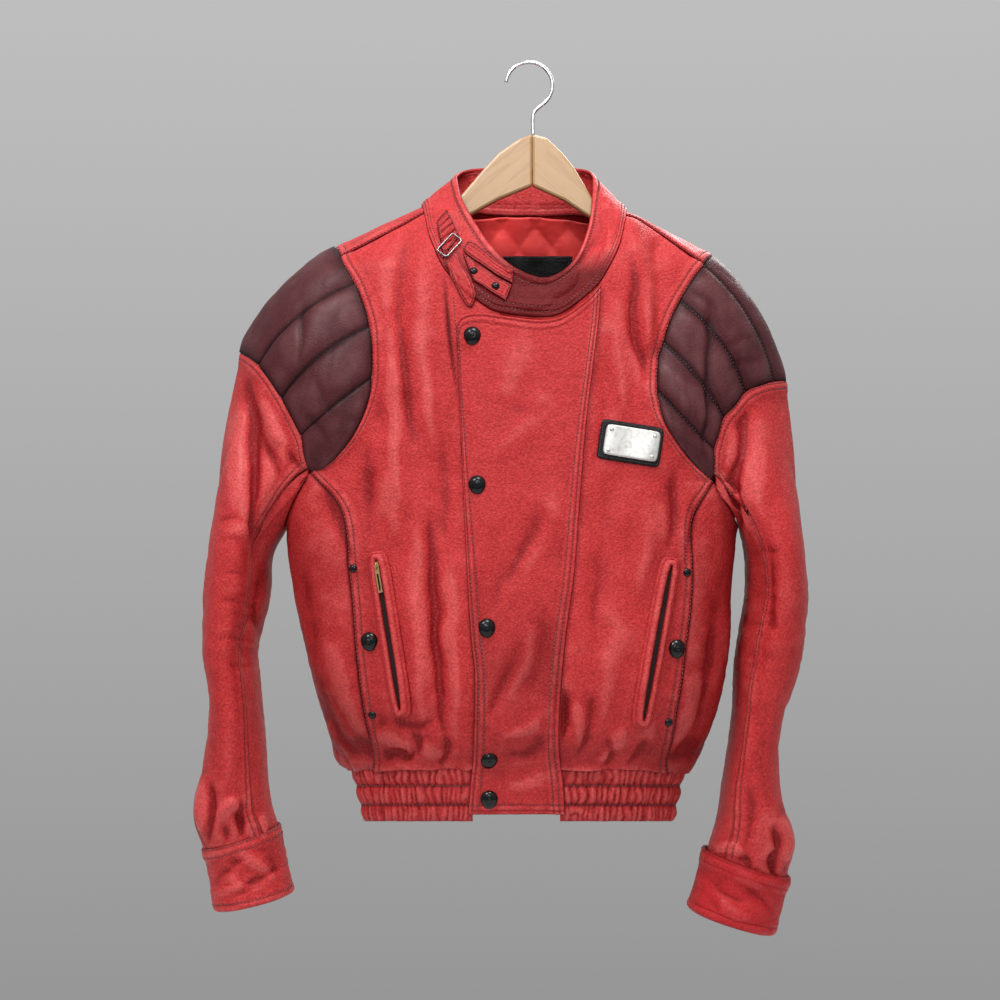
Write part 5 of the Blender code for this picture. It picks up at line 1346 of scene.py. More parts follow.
BODY_CREASES = creased(
    (((430, 505), (431, 560), (434, 640), (440, 700), (448, 748)), 7, -4.6, 0.25),
    (((414, 520), (415, 600), (420, 680), (428, 735)), 10, 2.6),
    (((448, 530), (450, 620), (455, 690), (459, 742)), 8, 2.6),
    (((436, 395), (440, 460), (446, 530), (448, 580)), 12, -2.4),
    (((408, 225), (400, 265), (398, 320), (406, 395), (414, 450)), 8, -3.0, 0.25),
    (((386, 255), (387, 330), (394, 420), (398, 500)), 9, 2.4),
    (((428, 262), (424, 340), (430, 410), (436, 470)), 9, 1.8),
    (((360, 430), (367, 480), (371, 545)), 10, -1.9, -0.2),
    (((631, 250), (636, 285), (634, 330), (646, 385)), 8, -3.8, 0.3),
    (((616, 290), (618, 350), (626, 420)), 9, 2.4),
    (((655, 262), (650, 310), (647, 360)), 7, 2.2),
    (((607, 330), (604, 400), (596, 470)), 6, -1.8),
    (((322, 482), (340, 520), (352, 560)), 6, -2.6, -0.3),
    (((384, 455), (392, 500), (396, 545)), 10, 2.0),
    (((700, 486), (690, 525), (684, 568)), 6, -2.6, 0.3),
    (((674, 455), (673, 505), (668, 552)), 8, -3.0, 0.2),
    (((652, 480), (646, 540), (640, 600)), 11, 2.0),
    (((610, 470), (600, 560), (592, 650)), 12, -2.2),
    (((626, 590), (610, 670), (596, 735)), 11, 2.4),
    (((561, 690), (565, 712), (562, 742)), 4.5, -4.0, 0.3),
    (((571, 700), (582, 722), (576, 750)), 6, 3.0),
    (((330, 640), (340, 690), (366, 742)), 8, 2.6, 0.3),
    (((312, 665), (330, 722), (360, 758)), 6, -3.0),
    (((378, 730), (392, 742), (408, 748)), 7, 2.6),
    (((384, 757), (396, 752), (408, 758), (414, 750)), 3.6, -3.2, 0.3),
    (((420, 742), (430, 752), (446, 756)), 6, 2.4),
    (((410, 732), (418, 744), (416, 757)), 3.4, -2.6),
    (((444, 735), (448, 750), (440, 763)), 3.6, -2.4),
    (((392, 722), (418, 726), (440, 716)), 4.5, -1.8),
    (((352, 735), (364, 748), (372, 762)), 4, -2.2),
    (((592, 690), (588, 728), (574, 760)), 6, -2.4),
    (((628, 722), (614, 745), (598, 762)), 6, 2.2),
    (((606, 735), (612, 750), (606, 764)), 3.6, -2.4),
    (((650, 738), (640, 752), (626, 764)), 4, -2.2),
    (((702, 670), (690, 716), (668, 756)), 8, 2.6, -0.3),
    (((716, 630), (704, 688), (690, 732)), 6, -2.6),
    (((300, 560), (312, 620), (318, 690)), 9, -2.2),
    (((724, 560), (716, 620), (708, 680)), 9, -2.4),
)
FLAP_CREASES = creased(
    (((545, 505), (528, 540), (504, 585)), 13, -2.0, 0.2),
    (((560, 480), (548, 530), (520, 575)), 12, 1.4),
    (((560, 380), (520, 430), (484, 462)), 14, 1.0),
    (((495, 400), (520, 412), (552, 408)), 9, -0.7),
    (((519, 640), (505, 680), (488, 718)), 9, -2.2, 0.3),
    (((546, 610), (540, 660), (528, 705)), 9, -1.5),
    (((534, 625), (524, 665), (510, 700)), 7, 1.6),
    (((496, 520), (500, 575), (494, 620)), 10, -1.0),
    (((552, 700), (530, 728), (498, 738)), 6, 1.5),
    (((548, 735), (524, 755), (500, 752)), 6, -1.4),
    (((556, 760), (535, 782), (505, 790)), 7, 1.2),
    (((530, 330), (512, 372), (508, 420)), 16, 1.0),
)
BACK_CREASES = tuple(Crease(*row) for row in (
    (((-150, -250), (-110, -330), (-95, -430)), 12, -3.0, 0.3),
    (((130, -245), (96, -330), (88, -440)), 12, -3.0, -0.3),
    (((-60, -300), (-50, -400), (-58, -520)), 14, 2.5),
    (((40, -290), (48, -400), (36, -500)), 14, 2.5),
    (((-185, -430), (-130, -470), (-70, -480)), 9, -2.6),
    (((170, -440), (120, -470), (50, -485)), 9, -2.4),
    (((-170, -520), (-120, -540), (-40, -530)), 8, -2.0),
    (((150, -540), (90, -560), (20, -550)), 8, -2.0),
    (((-120, -600), (-110, -660), (-118, -715)), 9, -2.8, 0.2),
    (((-40, -590), (-48, -650), (-40, -715)), 9, -2.4),
    (((60, -600), (66, -660), (58, -715)), 9, -2.6),
    (((130, -590), (120, -650), (126, -715)), 9, -2.6, -0.2),
    (((-10, -560), (-6, -640), (-14, -710)), 11, 2.4),
))


def bloused(points: Array) -> Array:
    """Points of the body let down unevenly over the hem band."""
    around = np.arctan2(points[..., 0] - CENTRE_X, -points[..., 1]) * BODY_RADIUS
    near = np.exp(-np.clip(points[..., 2] - HEM_TOP, 0, None) / 14)
    strip = np.stack([around, 0 * around], axis=-1)
    drop = 3.5 + 3.5 * noise(strip, 26.0, 51) + 2.0 * noise(strip, 11.0, 52)
    moved = points.copy()
    moved[..., 2] -= near * drop
    return moved


def hem_puff(x: Array, above: Array, seed: int) -> Array:
    """Relief of the body where it is gathered into the hem band.

    Args:
        x: Place along the hem.
        above: Height over the band's top.
        seed: Which noise.

    Returns:
        The heights.
    """
    strip = np.stack([x, 0.3 * above], axis=-1)
    gathers = puckers(strip, 15.0, seed) - 0.45
    wide = noise(strip, 34.0, seed + 9)
    puff = 7.0 * hump(above, 11, 11) * (0.7 + 0.45 * wide)
    return puff + 4.6 * gathers * np.exp(-above / 24) - 3.5 * hump(above, 0, 3.0)


def fine_wrinkles(points: Array, amount: Array | float, stretch: Sequence[float], size: float,
                  seed: int) -> Array:
    """Shallow wrinkles of soft leather.

    Args:
        points: Where they are.
        amount: Their height at each point.
        stretch: How much longer they run along each axis.
        size: Their width.
        seed: Which noise.

    Returns:
        The heights.
    """
    return amount * (puckers(points / np.array(stretch), size, seed) - 0.5)


@dataclass
class BodyPanels:
    """Fronts, sides and back, from the shoulders to the hem band."""

    seams: dict[str, Seams]
    neck: Neck
    sewing: Stitching
    rows: int = 176
    front_columns: int = 88
    front_limits: dict = field(default_factory=lambda: {"right": (-30.0, -38.0),
                                                        "left": (62.0, 18.0)})
    notch_rows: int = 2
    facing: Points = traced((444.5, 272), (446, 296), (449, 332), (452, 356), (455.5, 382),
                            (458, 402))
    facing_stitches: float = 7.5
    tuck_angle: float = 0.022
    cuts: dict = field(default_factory=lambda: {
        "front_right": ((0.2, 0.6), 0.076), "front_left": ((0.17, 0.6), 0.063),
        "side_right": ((0.26, 0.3), 0.057), "side_left": ((0.25, 0.3), 0.052),
        "back": ((0.55, 0.62), 0.226)})
    sheets: dict = field(default_factory=dict)

    def build(self) -> None:
        """Build all panels."""
        for name in ("right", "left"):
            self.sheets[f"front_{name}"] = self.front(self.seams[name])
            self.sheets[f"side_{name}"] = self.side(self.seams[name])
        for name, cloth in self.sheets.items():
            self.dress(name, cloth)
        self.back()

    def dress(self, name: str, cloth: Cloth, cells: Array | None = None) -> None:
        """Make a panel, and look up its cut."""
        obj = cloth.make(Finish.RED, inside=Finish.RED_INSIDE, cells=cells)
        finish_piece(obj, "red_leather", name)
        flat, area = self.cuts[name]

    def front_field(self, seams: Seams) -> Array:
        """x and z of a front panel's grid."""
        right, neck = seams.side is RIGHT, self.neck
        limit, foot = self.front_limits[seams.side.name]
        stop = int(np.argmin(np.abs(neck.seen_front[:, 0] - limit)))
        chosen = np.arange(stop + 1) if right else np.arange(len(neck.seen_front) - 1, stop - 1, -1)
        outer = np.vstack([seams.arm_front, seams.princess[1:]])
        neck_edge = neck.seen_front[chosen]
        front_edge = even([neck_edge[-1], (foot, HEM_TOP)], len(outer) - len(chosen))
        inner = np.vstack([neck_edge, front_edge[1:]])
        left, right_edge = (outer, inner) if right else (inner, outer)
        top = seams.shoulder[::-1] if right else seams.shoulder
        return patch(top, even([left[-1], right_edge[-1]], len(top) - 1), left, right_edge)

    def front(self, seams: Seams) -> Cloth:
        """Front panel of one side.

        Args:
            seams: That side's seams.

        Returns:
            The cloth.
        """
        right = seams.side is RIGHT
        grid = np.swapaxes(respaced(self.front_field(seams), self.front_columns), 0, 1)
        grid = np.swapaxes(respaced(grid, self.rows), 0, 1)
        edge, beside = (0, 1) if right else (-1, -2)
        grid[:, edge] += SEAM.lap_reach * unit(grid[:, edge] - grid[:, beside])
        points, normals = TORSO.wall(TORSO.front_point, grid[..., 0], grid[..., 1])
        points = bloused(points)
        outer = apart(points)[0 if right else 1]
        from_top = apart_down(points)[0]
        relief = edge_height(outer, Edge.LAPPED) + edge_height(from_top, Edge.UNDER)
        relief = relief + body_relief(points, 11 + seams.side.sign)
        shade = edge_shade(outer, Edge.LAPPED) + edge_shade(from_top, Edge.UNDER)
        # Painted shade toward the hem and on the sides.
        shade = np.clip(shade + painted_low_shade(points), 0, 1)
        cloth = Cloth(f"front_panel_{seams.side.name}", points, normals, relief, shade)
        for row in SEAM.rows:
            self.sewing.row(*cloth.line("l" if right else "r", row, outer))
        if right:
            self.facing_seam(cloth)
        return cloth

    def facing_seam(self, cloth: Cloth) -> None:
        """Sink the short seam that runs from the neck to the flap, and sew beside it."""
        x0, z0 = seen(cloth.points)
        line = Crease(self.facing, 1.5, -1.0)
        dent = line.height(x0, z0)
        cloth.relief += dent
        # Painted shade in the sunk seam.
        cloth.shade += np.clip(-0.8 * dent, 0, 1)
        path = spaced([(x + self.facing_stitches, z) for x, z in self.facing[1:]], 60)
        spots = laid_on(cloth.tree(), *path.T)
        self.sewing.row(spots, TORSO.normals(TORSO.front_point, *path.T))

    def side(self, seams: Seams) -> Cloth:
        """Panel under an arm, between the front and back lapped seams.

        Args:
            seams: That side's seams.

        Returns:
            The cloth.
        """
        edges = []
        for surface, seam in ((TORSO.front_point, seams.princess),
                              (TORSO.back_point, seams.back_seam)):
            edges.append(np.stack([TORSO.side_angle(surface(*seam.T), seam[:, 1]), seam[:, 1]],
                                  axis=1))
        bottom = even([edges[0][-1], edges[1][-1]], len(seams.underarm) - 1)
        grid = patch(seams.underarm, bottom, edges[0], edges[1])
        tucked = np.sign(grid[:, -1, 0] - grid[:, -2, 0]) * self.tuck_angle
        grid[:, -1, 0] += tucked * np.linspace(0, 1, len(grid))
        points, normals = TORSO.wall(TORSO.side_point, grid[..., 0], grid[..., 1], ANGLE_STEP)
        points = bloused(points)
        from_front, from_back = apart(points)
        relief = edge_height(from_front, Edge.UNDER) + edge_height(from_back, Edge.UNDER)
        relief = relief + body_relief(points, 23 + seams.side.sign)
        shade = edge_shade(from_front, Edge.UNDER) + edge_shade(from_back, Edge.UNDER)
        # Painted shade toward the hem and on the sides.
        shade = np.clip(shade + painted_low_shade(points), 0, 1)
        parts = points, normals, relief, shade
        if seams.side is RIGHT:
            parts = (part[:, ::-1] for part in parts)
        return Cloth(f"side_panel_{seams.side.name}", *parts)

    def back_field(self) -> Array:
        """x and climb of the back's grid: one block on each shoulder and one below the neck."""
        left, right, neck = self.seams["left"], self.seams["right"], self.neck
        fine = neck.fine
        down, last = self.notch_rows * fine, (neck.back_count - self.notch_rows) * fine
        count = fine * left.shoulder_count
        corners = neck.climb[down], neck.climb[last]
        across = [even([left.arm_back[down], corners[0]], count),
                  even([corners[1], right.arm_back[down]], count)]
        shoulders = [patch(left.climbed(left.shoulder[::-1]), across[0],
                           left.arm_back[:down + 1], neck.climb[:down + 1]),
                     patch(right.climbed(right.shoulder), across[1],
                           neck.climb[last:][::-1], right.arm_back[:down + 1])]
        top = np.vstack([across[0], neck.climb[down + 1:last], across[1]])
        left_edge = np.vstack([left.arm_back[down:], left.back_seam[1:]])
        right_edge = np.vstack([right.arm_back[down:], right.back_seam[1:]])
        below = patch(top, even([left_edge[-1], right_edge[-1]], len(top) - 1), left_edge,
                      right_edge)
        notch = np.repeat(top[None, count + 1:-count - 1], down, axis=0)
        above = np.concatenate([shoulders[0][:-1], notch, shoulders[1][:-1]], axis=1)
        return np.concatenate([above, below])

    def back(self) -> None:
        """Back panel, which wraps forward over both shoulders to their seams."""
        grid = self.back_field()
        points, normals = TORSO.wall(TORSO.back_point, grid[..., 0], grid[..., 1])
        points = bloused(points)
        fine = self.neck.fine
        down, count = self.notch_rows * fine, fine * self.seams["left"].shoulder_count
        cells = np.ones((grid.shape[0] - 1, grid.shape[1] - 1), dtype=bool)
        cells[:down, count:-count] = False
        across, beyond = apart(points)
        edge = np.minimum(across, beyond)
        top = apart_down(points)[0]
        column = np.arange(grid.shape[1])
        top = np.where(np.minimum(column, column[::-1]) <= count, top, 99.0)
        lap = np.minimum(edge, top)
        relief = edge_height(lap, Edge.LAPPED) + body_relief(points, 31)
        cloth = Cloth("back_panel", points, normals, relief, edge_shade(lap, Edge.LAPPED))
        for side in ("l", "r"):
            away = across if side == "l" else beyond
            for row in SEAM.rows:
                self.sewing.row(*cloth.line(side, row, away))
        for columns in (slice(0, count), slice(-count, None)):
            part = Cloth("", *(grid_part[:, columns] for grid_part in
                               (cloth.points, cloth.normals, cloth.relief, cloth.shade)))
            self.sewing.row(*part.line("t", SEAM.rows[0], top[:, columns]))
        self.dress("back", cloth, cells)
        self.inner_back = (points - 2.0 * normals)[down:]


def painted_low_shade(points: Array) -> Array:
    """Painted shade toward the hem and the sides, where the cloth turns away from the light."""
    hem = np.clip((-600 - points[..., 2]) / 170, 0, 1)
    sides = np.clip((np.abs(points[..., 0] - CENTRE_X) - 114) / 34, 0, 1)
    sides = sides * np.clip((-points[..., 2] - 430) / 80, 0, 1)
    return (0.26 * hem + 0.22 * sides) * (1 + 0.6 * noise(points, 40.0, 77))


def body_relief(points: Array, seed: int) -> Array:
    """Creases, hem gathers and wrinkles of the body's cloth.

    Args:
        points: Points of the body's wall.
        seed: Which noise.

    Returns:
        The heights.
    """
    ahead = np.clip(-points[..., 1] / 30, 0, 1)
    behind = np.clip(points[..., 1] / 30, 0, 1)
    x, z = points[..., 0], points[..., 2]
    height = crease_height(BODY_CREASES, points) * ahead
    height = height + 0.6 * sum(crease.height(x, z) for crease in BACK_CREASES) * behind
    above = np.clip(z - (HEM_TOP - 9 * ahead), 0, None)
    around = np.arctan2(x - CENTRE_X, -points[..., 1]) * BODY_RADIUS
    height = height + hem_puff(around, above, seed)
    low = np.clip((-560 - z) / 140, 0, 1)
    sides = np.clip((np.abs(x - CENTRE_X) - 120) / 60, 0, 1) * np.clip((-z - 380) / 60, 0, 1)
    amount = 0.25 + 0.75 * low + 0.7 * sides
    height = height + fine_wrinkles(points, 0.8 * amount, (1.7, 1.5, 0.9), 9.0, seed + 2)
    return height + 0.8 * noise(points, 45.0, seed + 3) + 0.35 * noise(points, 16.0, seed + 4)


# ---- shoulder caps and sleeves -------------------------------------------------------------------

CAP_CREASES = {
    "right": creased(
        (((306, 300), (301, 330), (303, 372)), 3.5, -1.3, 0.3),
        (((316, 372), (322, 398), (330, 412)), 4, -0.8),
        (((300, 405), (318, 425), (332, 444)), 5, -1.0)),
    "left": creased(
        (((711, 296), (707, 330), (708, 385), (702, 440), (705, 462)), 4.2, -2.6, 0.3),
        (((688, 290), (704, 300), (716, 312)), 4, -1.1),
        (((720, 352), (735, 340), (752, 334)), 3, -0.8),
        (((722, 372), (742, 362), (760, 360)), 3, -0.7)),
}


@dataclass
class ShoulderCap:
    """Quilted cap between the armhole and the sleeve head."""

    seams: Seams
    sewing: Stitching
    rows: int = 40
    centre: tuple[float, float] = (139.0, -330.0)
    bulge: float = 12.0
    full_span: float = 90.0
    puff: float = 3.8
    flat: tuple[float, float] = (0.13, 0.5)
    area: float = 0.046

    def form(self) -> tuple[Array, Array]:
        """Grid of the cap without its channels, and its normals."""
        seams = self.seams
        centre = np.array([seams.side.at(self.centre[0]), 0.0, self.centre[1]])
        span = np.linalg.norm(seams.head_ring - seams.arm_ring, axis=1, keepdims=True)
        bulge = self.bulge * np.clip(span / self.full_span, 0, 1) ** 2
        out = unit((seams.arm_ring + seams.head_ring) / 2 - centre)
        t = np.linspace(0, 1, self.rows + 1)[:, None, None]
        grid = (1 - t) * seams.arm_ring + t * seams.head_ring + 4 * t * (1 - t) * bulge * out
        return grid, outward(grid_normals(grid), grid, centre)

    def build(self) -> None:
        """Build the cap and its quilting stitches."""
        seams = self.seams
        grid, normals = self.form()
        counts = list(seams.front_runs[::-1]) + list(seams.back_runs)
        ridge = len(seams.front_runs)
        if seams.side is RIGHT:
            counts[ridge - 1:ridge + 1] = [sum(counts[ridge - 1:ridge + 1])]
        channel = [0.0]
        for count in counts:
            channel += [math.sin(math.pi * i / count) ** 0.5 for i in range(1, count)] + [0.0]
        channel = np.array(channel)
        t = np.linspace(0, 1, self.rows + 1)[:, None]
        ends = np.clip(np.minimum(t, 1 - t) * 7, 0, 1)
        full = 0.35 + 0.65 * ends * (2 - ends)
        uneven = 1 + 0.22 * noise(grid, 26.0, 5)
        relief = self.puff * channel * full * uneven - 1.0 * (1 - channel) - 0.6
        relief += fine_wrinkles(grid, 0.7 * full, (1.0, 1.0, 1.6), 11.0, 7)
        ahead = np.clip(0.4 - 1.6 * normals[..., 1], 0, 1)
        relief += 0.6 * noise(grid, 19.0, 9)
        relief += ahead * crease_height(CAP_CREASES[seams.side.name], grid)
        middle = lengths(grid[self.rows // 2])
        stops = middle[np.cumsum([0] + counts)]
        apart = np.abs(middle[:, None] - stops).min(axis=1)
        edge = np.minimum(t, 1 - t) * 70
        # Painted shade along the quilting lines and at both sewn edges.
        shade = np.clip(0.9 * hump(apart, 0, 1.3) + 0.8 * hump(edge, 0, 2.0), 0, 1)
        cloth = Cloth(f"quilted_cap_{seams.side.name}", grid, normals, relief, shade + 0 * relief)
        surface = cloth.surface()
        for column in np.cumsum(counts)[:-1]:
            self.sewing.row(surface[:, column], normals[:, column])
        obj = cloth.make(Finish.MAROON)
        finish_piece(obj, "maroon_leather", f"shoulder_cap_{seams.side.name}")


SLEEVE_CREASES = {
    "right": creased(
        (((247, 372), (250, 420), (251, 475), (252, 520), (254, 565)), 6, -7.5, 0.3),
        (((261, 400), (270, 430), (290, 462)), 8, 3.0),
        (((256, 402), (267, 446), (283, 482)), 5, -2.6),
        (((272, 440), (286, 452), (303, 470)), 4, -2.0),
        (((232, 400), (231, 460), (233, 520)), 9, 1.6),
        (((216, 524), (234, 519), (256, 527)), 1.8, -0.9, 0.4),
        (((214, 543), (236, 540), (257, 548)), 1.6, -0.8),
        (((222, 534), (240, 531), (256, 538)), 5, 0.6),
        (((213, 574), (232, 570), (256, 577)), 1.8, -0.9, 0.4),
        (((211, 602), (230, 598), (257, 606)), 1.8, -1.0, -0.4),
        (((214, 616), (236, 613), (260, 620)), 1.5, -0.8),
        (((212, 642), (234, 637), (260, 645)), 1.8, -0.9, 0.4),
        (((216, 667), (236, 664), (262, 668)), 1.6, -0.8),
        (((262, 560), (258, 612), (262, 662)), 6, -2.4),
        (((226, 680), (230, 735), (224, 798)), 9, 1.0),
        (((246, 690), (252, 740), (250, 798)), 9, -1.0),
        (((262, 700), (264, 750), (266, 800)), 8, 0.8),
        (((212, 700), (214, 745), (210, 780)), 8, -0.8),
        (((241, 800), (241, 818), (242, 838)), 3.2, -6.0),
        (((219, 818), (233, 804), (247, 818)), 4, 2.8),
        (((204, 774), (199, 800), (202, 832)), 6, 4.0),
        (((207, 776), (211, 808), (209, 842)), 3.4, -4.0),
        (((258, 812), (262, 828), (262, 840)), 4, 2.4),
        (((225, 822), (227, 832), (228, 843)), 3, -2.0),
        (((208, 890), (222, 873), (246, 858)), 7, -4.2, 0.3),
        (((236, 852), (256, 864), (278, 878)), 6, 3.2),
        (((238, 885), (258, 881), (280, 868)), 5, -3.4, 0.3),
        (((214, 900), (240, 894), (266, 884)), 3.4, -1.4),
        (((216, 893), (238, 887), (256, 874)), 4, 2.2),
        (((268, 848), (275, 862), (280, 880)), 6, -2.4),
    ),
    "left": creased(
        (((745, 405), (740, 450), (738, 500), (743, 560)), 5, -4.2, -0.3),
        (((732, 425), (733, 455), (726, 480)), 6, 2.4),
        (((725, 455), (732, 490), (742, 530)), 4.5, -2.6),
        (((716, 480), (726, 505), (736, 540)), 5, 1.8),
        (((762, 400), (758, 470), (762, 540)), 10, 1.8),
        (((775, 545), (768, 590), (772, 640)), 8, -2.4),
        (((745, 560), (765, 552), (792, 558)), 1.8, -0.9, 0.4),
        (((740, 600), (760, 594), (790, 600)), 1.8, -0.9, -0.4),
        (((738, 628), (758, 624), (786, 632)), 1.6, -0.8),
        (((738, 660), (756, 655), (782, 660)), 1.8, -0.9, 0.4),
        (((742, 640), (750, 700), (744, 775)), 9, 1.3),
        (((768, 690), (762, 750), (768, 815)), 9, -1.2),
        (((728, 740), (736, 795), (727, 845)), 8, 1.2),
        (((750, 780), (752, 815), (744, 850)), 6, -1.4),
        (((772, 852), (772, 868), (774, 882)), 3.4, -6.0),
        (((783, 815), (791, 838), (786, 868)), 6, 4.0),
        (((776, 824), (779, 845), (775, 866)), 3.6, -4.0),
        (((714, 850), (734, 846), (746, 860)), 4, 2.4),
        (((740, 852), (748, 864), (750, 874)), 3.2, -2.6),
        (((702, 868), (720, 892), (746, 906)), 7, -4.0, 0.3),
        (((736, 882), (757, 896), (774, 918)), 6, -3.6, -0.3),
        (((718, 901), (734, 913), (752, 919)), 5, 2.6),
        (((705, 889), (713, 903), (724, 914)), 4, -2.0),
        (((734, 880), (750, 885), (764, 894)), 5, 2.8),
    ),
}


OUTER_CREASES = tuple(Crease(*row) for row in (
    (((-40, -395), (-20, -430), (8, -452)), 9, -1.6, 0.3),
    (((34, -420), (20, -470), (26, -520)), 9, -1.8),
    (((-30, -470), (-34, -540), (-22, -600)), 10, 1.6),
    (((-46, -508), (-12, -518), (22, -506)), 5, -1.4, 0.3),
    (((-50, -560), (-20, -572), (-2, -566)), 4, -1.2),
    (((-48, -648), (-8, -662), (36, -650)), 6, -1.6, -0.3),
    (((-40, -690), (0, -700), (30, -692)), 5, -1.1),
    (((-14, -690), (-20, -740), (-10, -790)), 10, 1.5),
    (((14, -720), (18, -760), (10, -806)), 7, -1.8),
    (((-34, -770), (-26, -795), (-30, -822)), 4, -2.0, 0.3),
))


@dataclass
class Sleeve:
    """Sleeve from its head down to the cuff, with its elbow patch."""

    seams: Seams
    sections: Points
    sewing: Stitching
    crease_at: float = 138.0
    crease_spread: float = 26.0
    corner_angle: float = 130.0
    head_ease: float = 0.5
    head_rows: int = 50
    lower_rows: int = 80
    tuck: float = 7.0
    rows: int = 140
    upper_columns: int = 110
    under_columns: int = 50
    cuts: dict = field(default_factory=lambda: {"upper": ((0.34, 0.55), 0.113),
                                                "under": ((0.15, 0.37), 0.038)})

    def section(self, table: Points, level: Array, angle: Array) -> Array:
        """Point of the sleeve's section.

        Args:
            table: The sections.
            level: Height of the section.
            angle: Angle from its outer side to its front.

        Returns:
            The points.
        """
        x, y, wide, deep, crease, tilt, square = (column_curve(table, k)(level)
                                                  for k in range(1, 8))
        cosine, sine = np.cos(np.radians(angle)), np.sin(np.radians(angle))
        shape = 1 - crease * hump(angle, self.crease_at, self.crease_spread)
        across = wide * shape * np.sign(cosine) * np.abs(cosine) ** (2 / square)
        ahead = deep * shape * np.sign(sine) * np.abs(sine) ** (2 / square)
        drop = np.tan(np.radians(tilt)) * across
        return np.stack([x + self.seams.side.sign * across, y - ahead, level - drop], axis=-1)

    def angles(self, ring: Array, crescent: int) -> Array:
        """Angle of section() that each point of the sleeve's upper edge runs down to."""
        along = lengths(ring)
        crown = np.interp(0, ring[:crescent, 1], along[:crescent])
        end, whole = along[crescent - 1], along[-1] + np.linalg.norm(ring[0] - ring[-1])
        corner = self.corner_angle
        angles = np.where(along <= crown, corner * (1 - along / crown),
                          -corner * (along - crown) / (end - crown))
        under = -corner - (360 - 2 * corner) * (along - end) / (whole - end)
        angles = np.where(along > end, under, angles)
        return np.where(angles < -180, angles + 360, angles)

    def form(self, cap_leave: Array) -> Array:
        """Closed grid of the sleeve from its head and the underarm down to the cuff.

        Args:
            cap_leave: Direction in which the cap runs on at the sleeve head.

        Returns:
            The grid.
        """
        seams, table = self.seams, self.sections
        underarm = TORSO.wall(TORSO.side_point, *seams.underarm[::-1].T, ANGLE_STEP)[0]
        ring = np.vstack([seams.head_ring, underarm[1:-1]])
        crescent = len(seams.head_ring)
        angles = self.angles(ring, crescent)
        top, end = table[0][0], table[-1][0]
        first = self.section(table, top + 0 * angles, angles)
        below = self.section(table, top - 10 + 0 * angles, angles)
        length = np.linalg.norm(first - ring, axis=1, keepdims=True)
        leave = unit(first - ring)
        leave[:crescent] = unit(leave[:crescent] + self.head_ease * cap_leave)
        arrive = unit(below - first)
        t = np.linspace(0, 1, self.head_rows + 1)[:-1, None, None]
        upper = ((2 * t + 1) * (1 - t) ** 2 * ring + t * (1 - t) ** 2 * length * leave
                 + t * t * (3 - 2 * t) * first - t * t * (1 - t) * length * arrive)
        levels = np.linspace(top, end, self.lower_rows + 1)[:, None]
        lower = self.section(table, levels + 0 * angles, angles + 0 * levels)
        inside = lower[-1:] + self.tuck * unit(lower[-1:] - lower[-2:-1])
        return np.concatenate([upper, lower, inside])

    def relief(self, points: Array, normals: Array, seed: int) -> Array:
        """Creases and wrinkles of the sleeve.

        Args:
            points: Points of the sleeve.
            normals: Its normals.
            seed: Which noise.

        Returns:
            The heights.
        """
        creases = SLEEVE_CREASES[self.seams.side.name]
        ahead = np.clip(0.35 - 1.6 * normals[..., 1], 0, 1)
        behind = np.clip(1.6 * normals[..., 1] - 0.25, 0, 1)
        height = crease_height(creases, points) * ahead
        mirror = points * (1, -1, 1) + (4, 0, 13)
        height = height + 0.8 * crease_height(creases, mirror) * behind
        z = points[..., 2]
        elbow = hump(z, -610, 75) + 0.8 * hump(z, -830, 45)
        rings = fine_wrinkles(points, 0.45 + 0.6 * np.clip(elbow, 0, 1), (2.8, 2.8, 0.7), 7.0, seed)
        inner = np.clip(-normals[..., 0] * self.seams.side.sign, 0, 1)
        crook = fine_wrinkles(points, 1.5 * inner * hump(z, -560, 90),
                              (2.5, 2.5, 0.9), 13.0, seed + 3)
        return height + rings + crook + self.outer_creases(points, normals)

    def outer_creases(self, points: Array, normals: Array) -> Array:
        """Heights of the creases on the sleeve's outer side."""
        out = np.clip(1.6 * normals[..., 0] * self.seams.side.sign - 0.3, 0, 1)
        y, z = points[..., 1], points[..., 2] + 6 * self.seams.side.sign
        return 0.65 * out * sum(crease.height(y, z) for crease in OUTER_CREASES)

    def build(self, cap_leave: Array) -> None:
        """Build the sleeve's two pieces and its elbow patch."""
        name, crescent = self.seams.side.name, len(self.seams.head_ring)
        grid = self.form(cap_leave)
        count = grid.shape[1]
        under = np.concatenate([np.arange(crescent - 1, count), [0]])
        turn = 1 if self.seams.side is RIGHT else -1
        for part, columns, width, edge in (
                ("upper", np.arange(crescent), self.upper_columns, Edge.LAPPED),
                ("under", under, self.under_columns, Edge.UNDER)):
            points = np.swapaxes(respaced(grid[:, columns], width), 0, 1)
            points = np.swapaxes(respaced(points, self.rows), 0, 1)
            if part == "upper":
                points[0] += SEAM.lap_reach * unit(points[0] - points[1])
            normals = grid_normals(points)
            if np.sum(normals[-1] * (grid[-1].mean(axis=0) - points[-1])) > 0:
                points, normals = points[:, ::-1], -normals[:, ::-1]
            sides = apart(points)
            seam = np.minimum(*sides)
            from_top = apart_down(points)[0]
            near = np.minimum(seam, from_top)
            relief = edge_height(near, edge) + self.relief(points, normals, 41 + turn)
            cloth = Cloth(f"sleeve_{part}_{name}", points, normals, relief, edge_shade(near, edge))
            if part == "upper":
                for row in SEAM.rows:
                    self.sewing.row(*cloth.line("t", row, from_top))
                    self.sewing.row(*cloth.line("l", row, sides[0]))
                    self.sewing.row(*cloth.line("r", row, sides[1]))
                self.patch(cloth)
            obj = cloth.make(Finish.RED, inside=Finish.RED_INSIDE)
            finish_piece(obj, "red_leather", f"sleeve_{name}_{part}")
            flat, area = self.cuts[part]

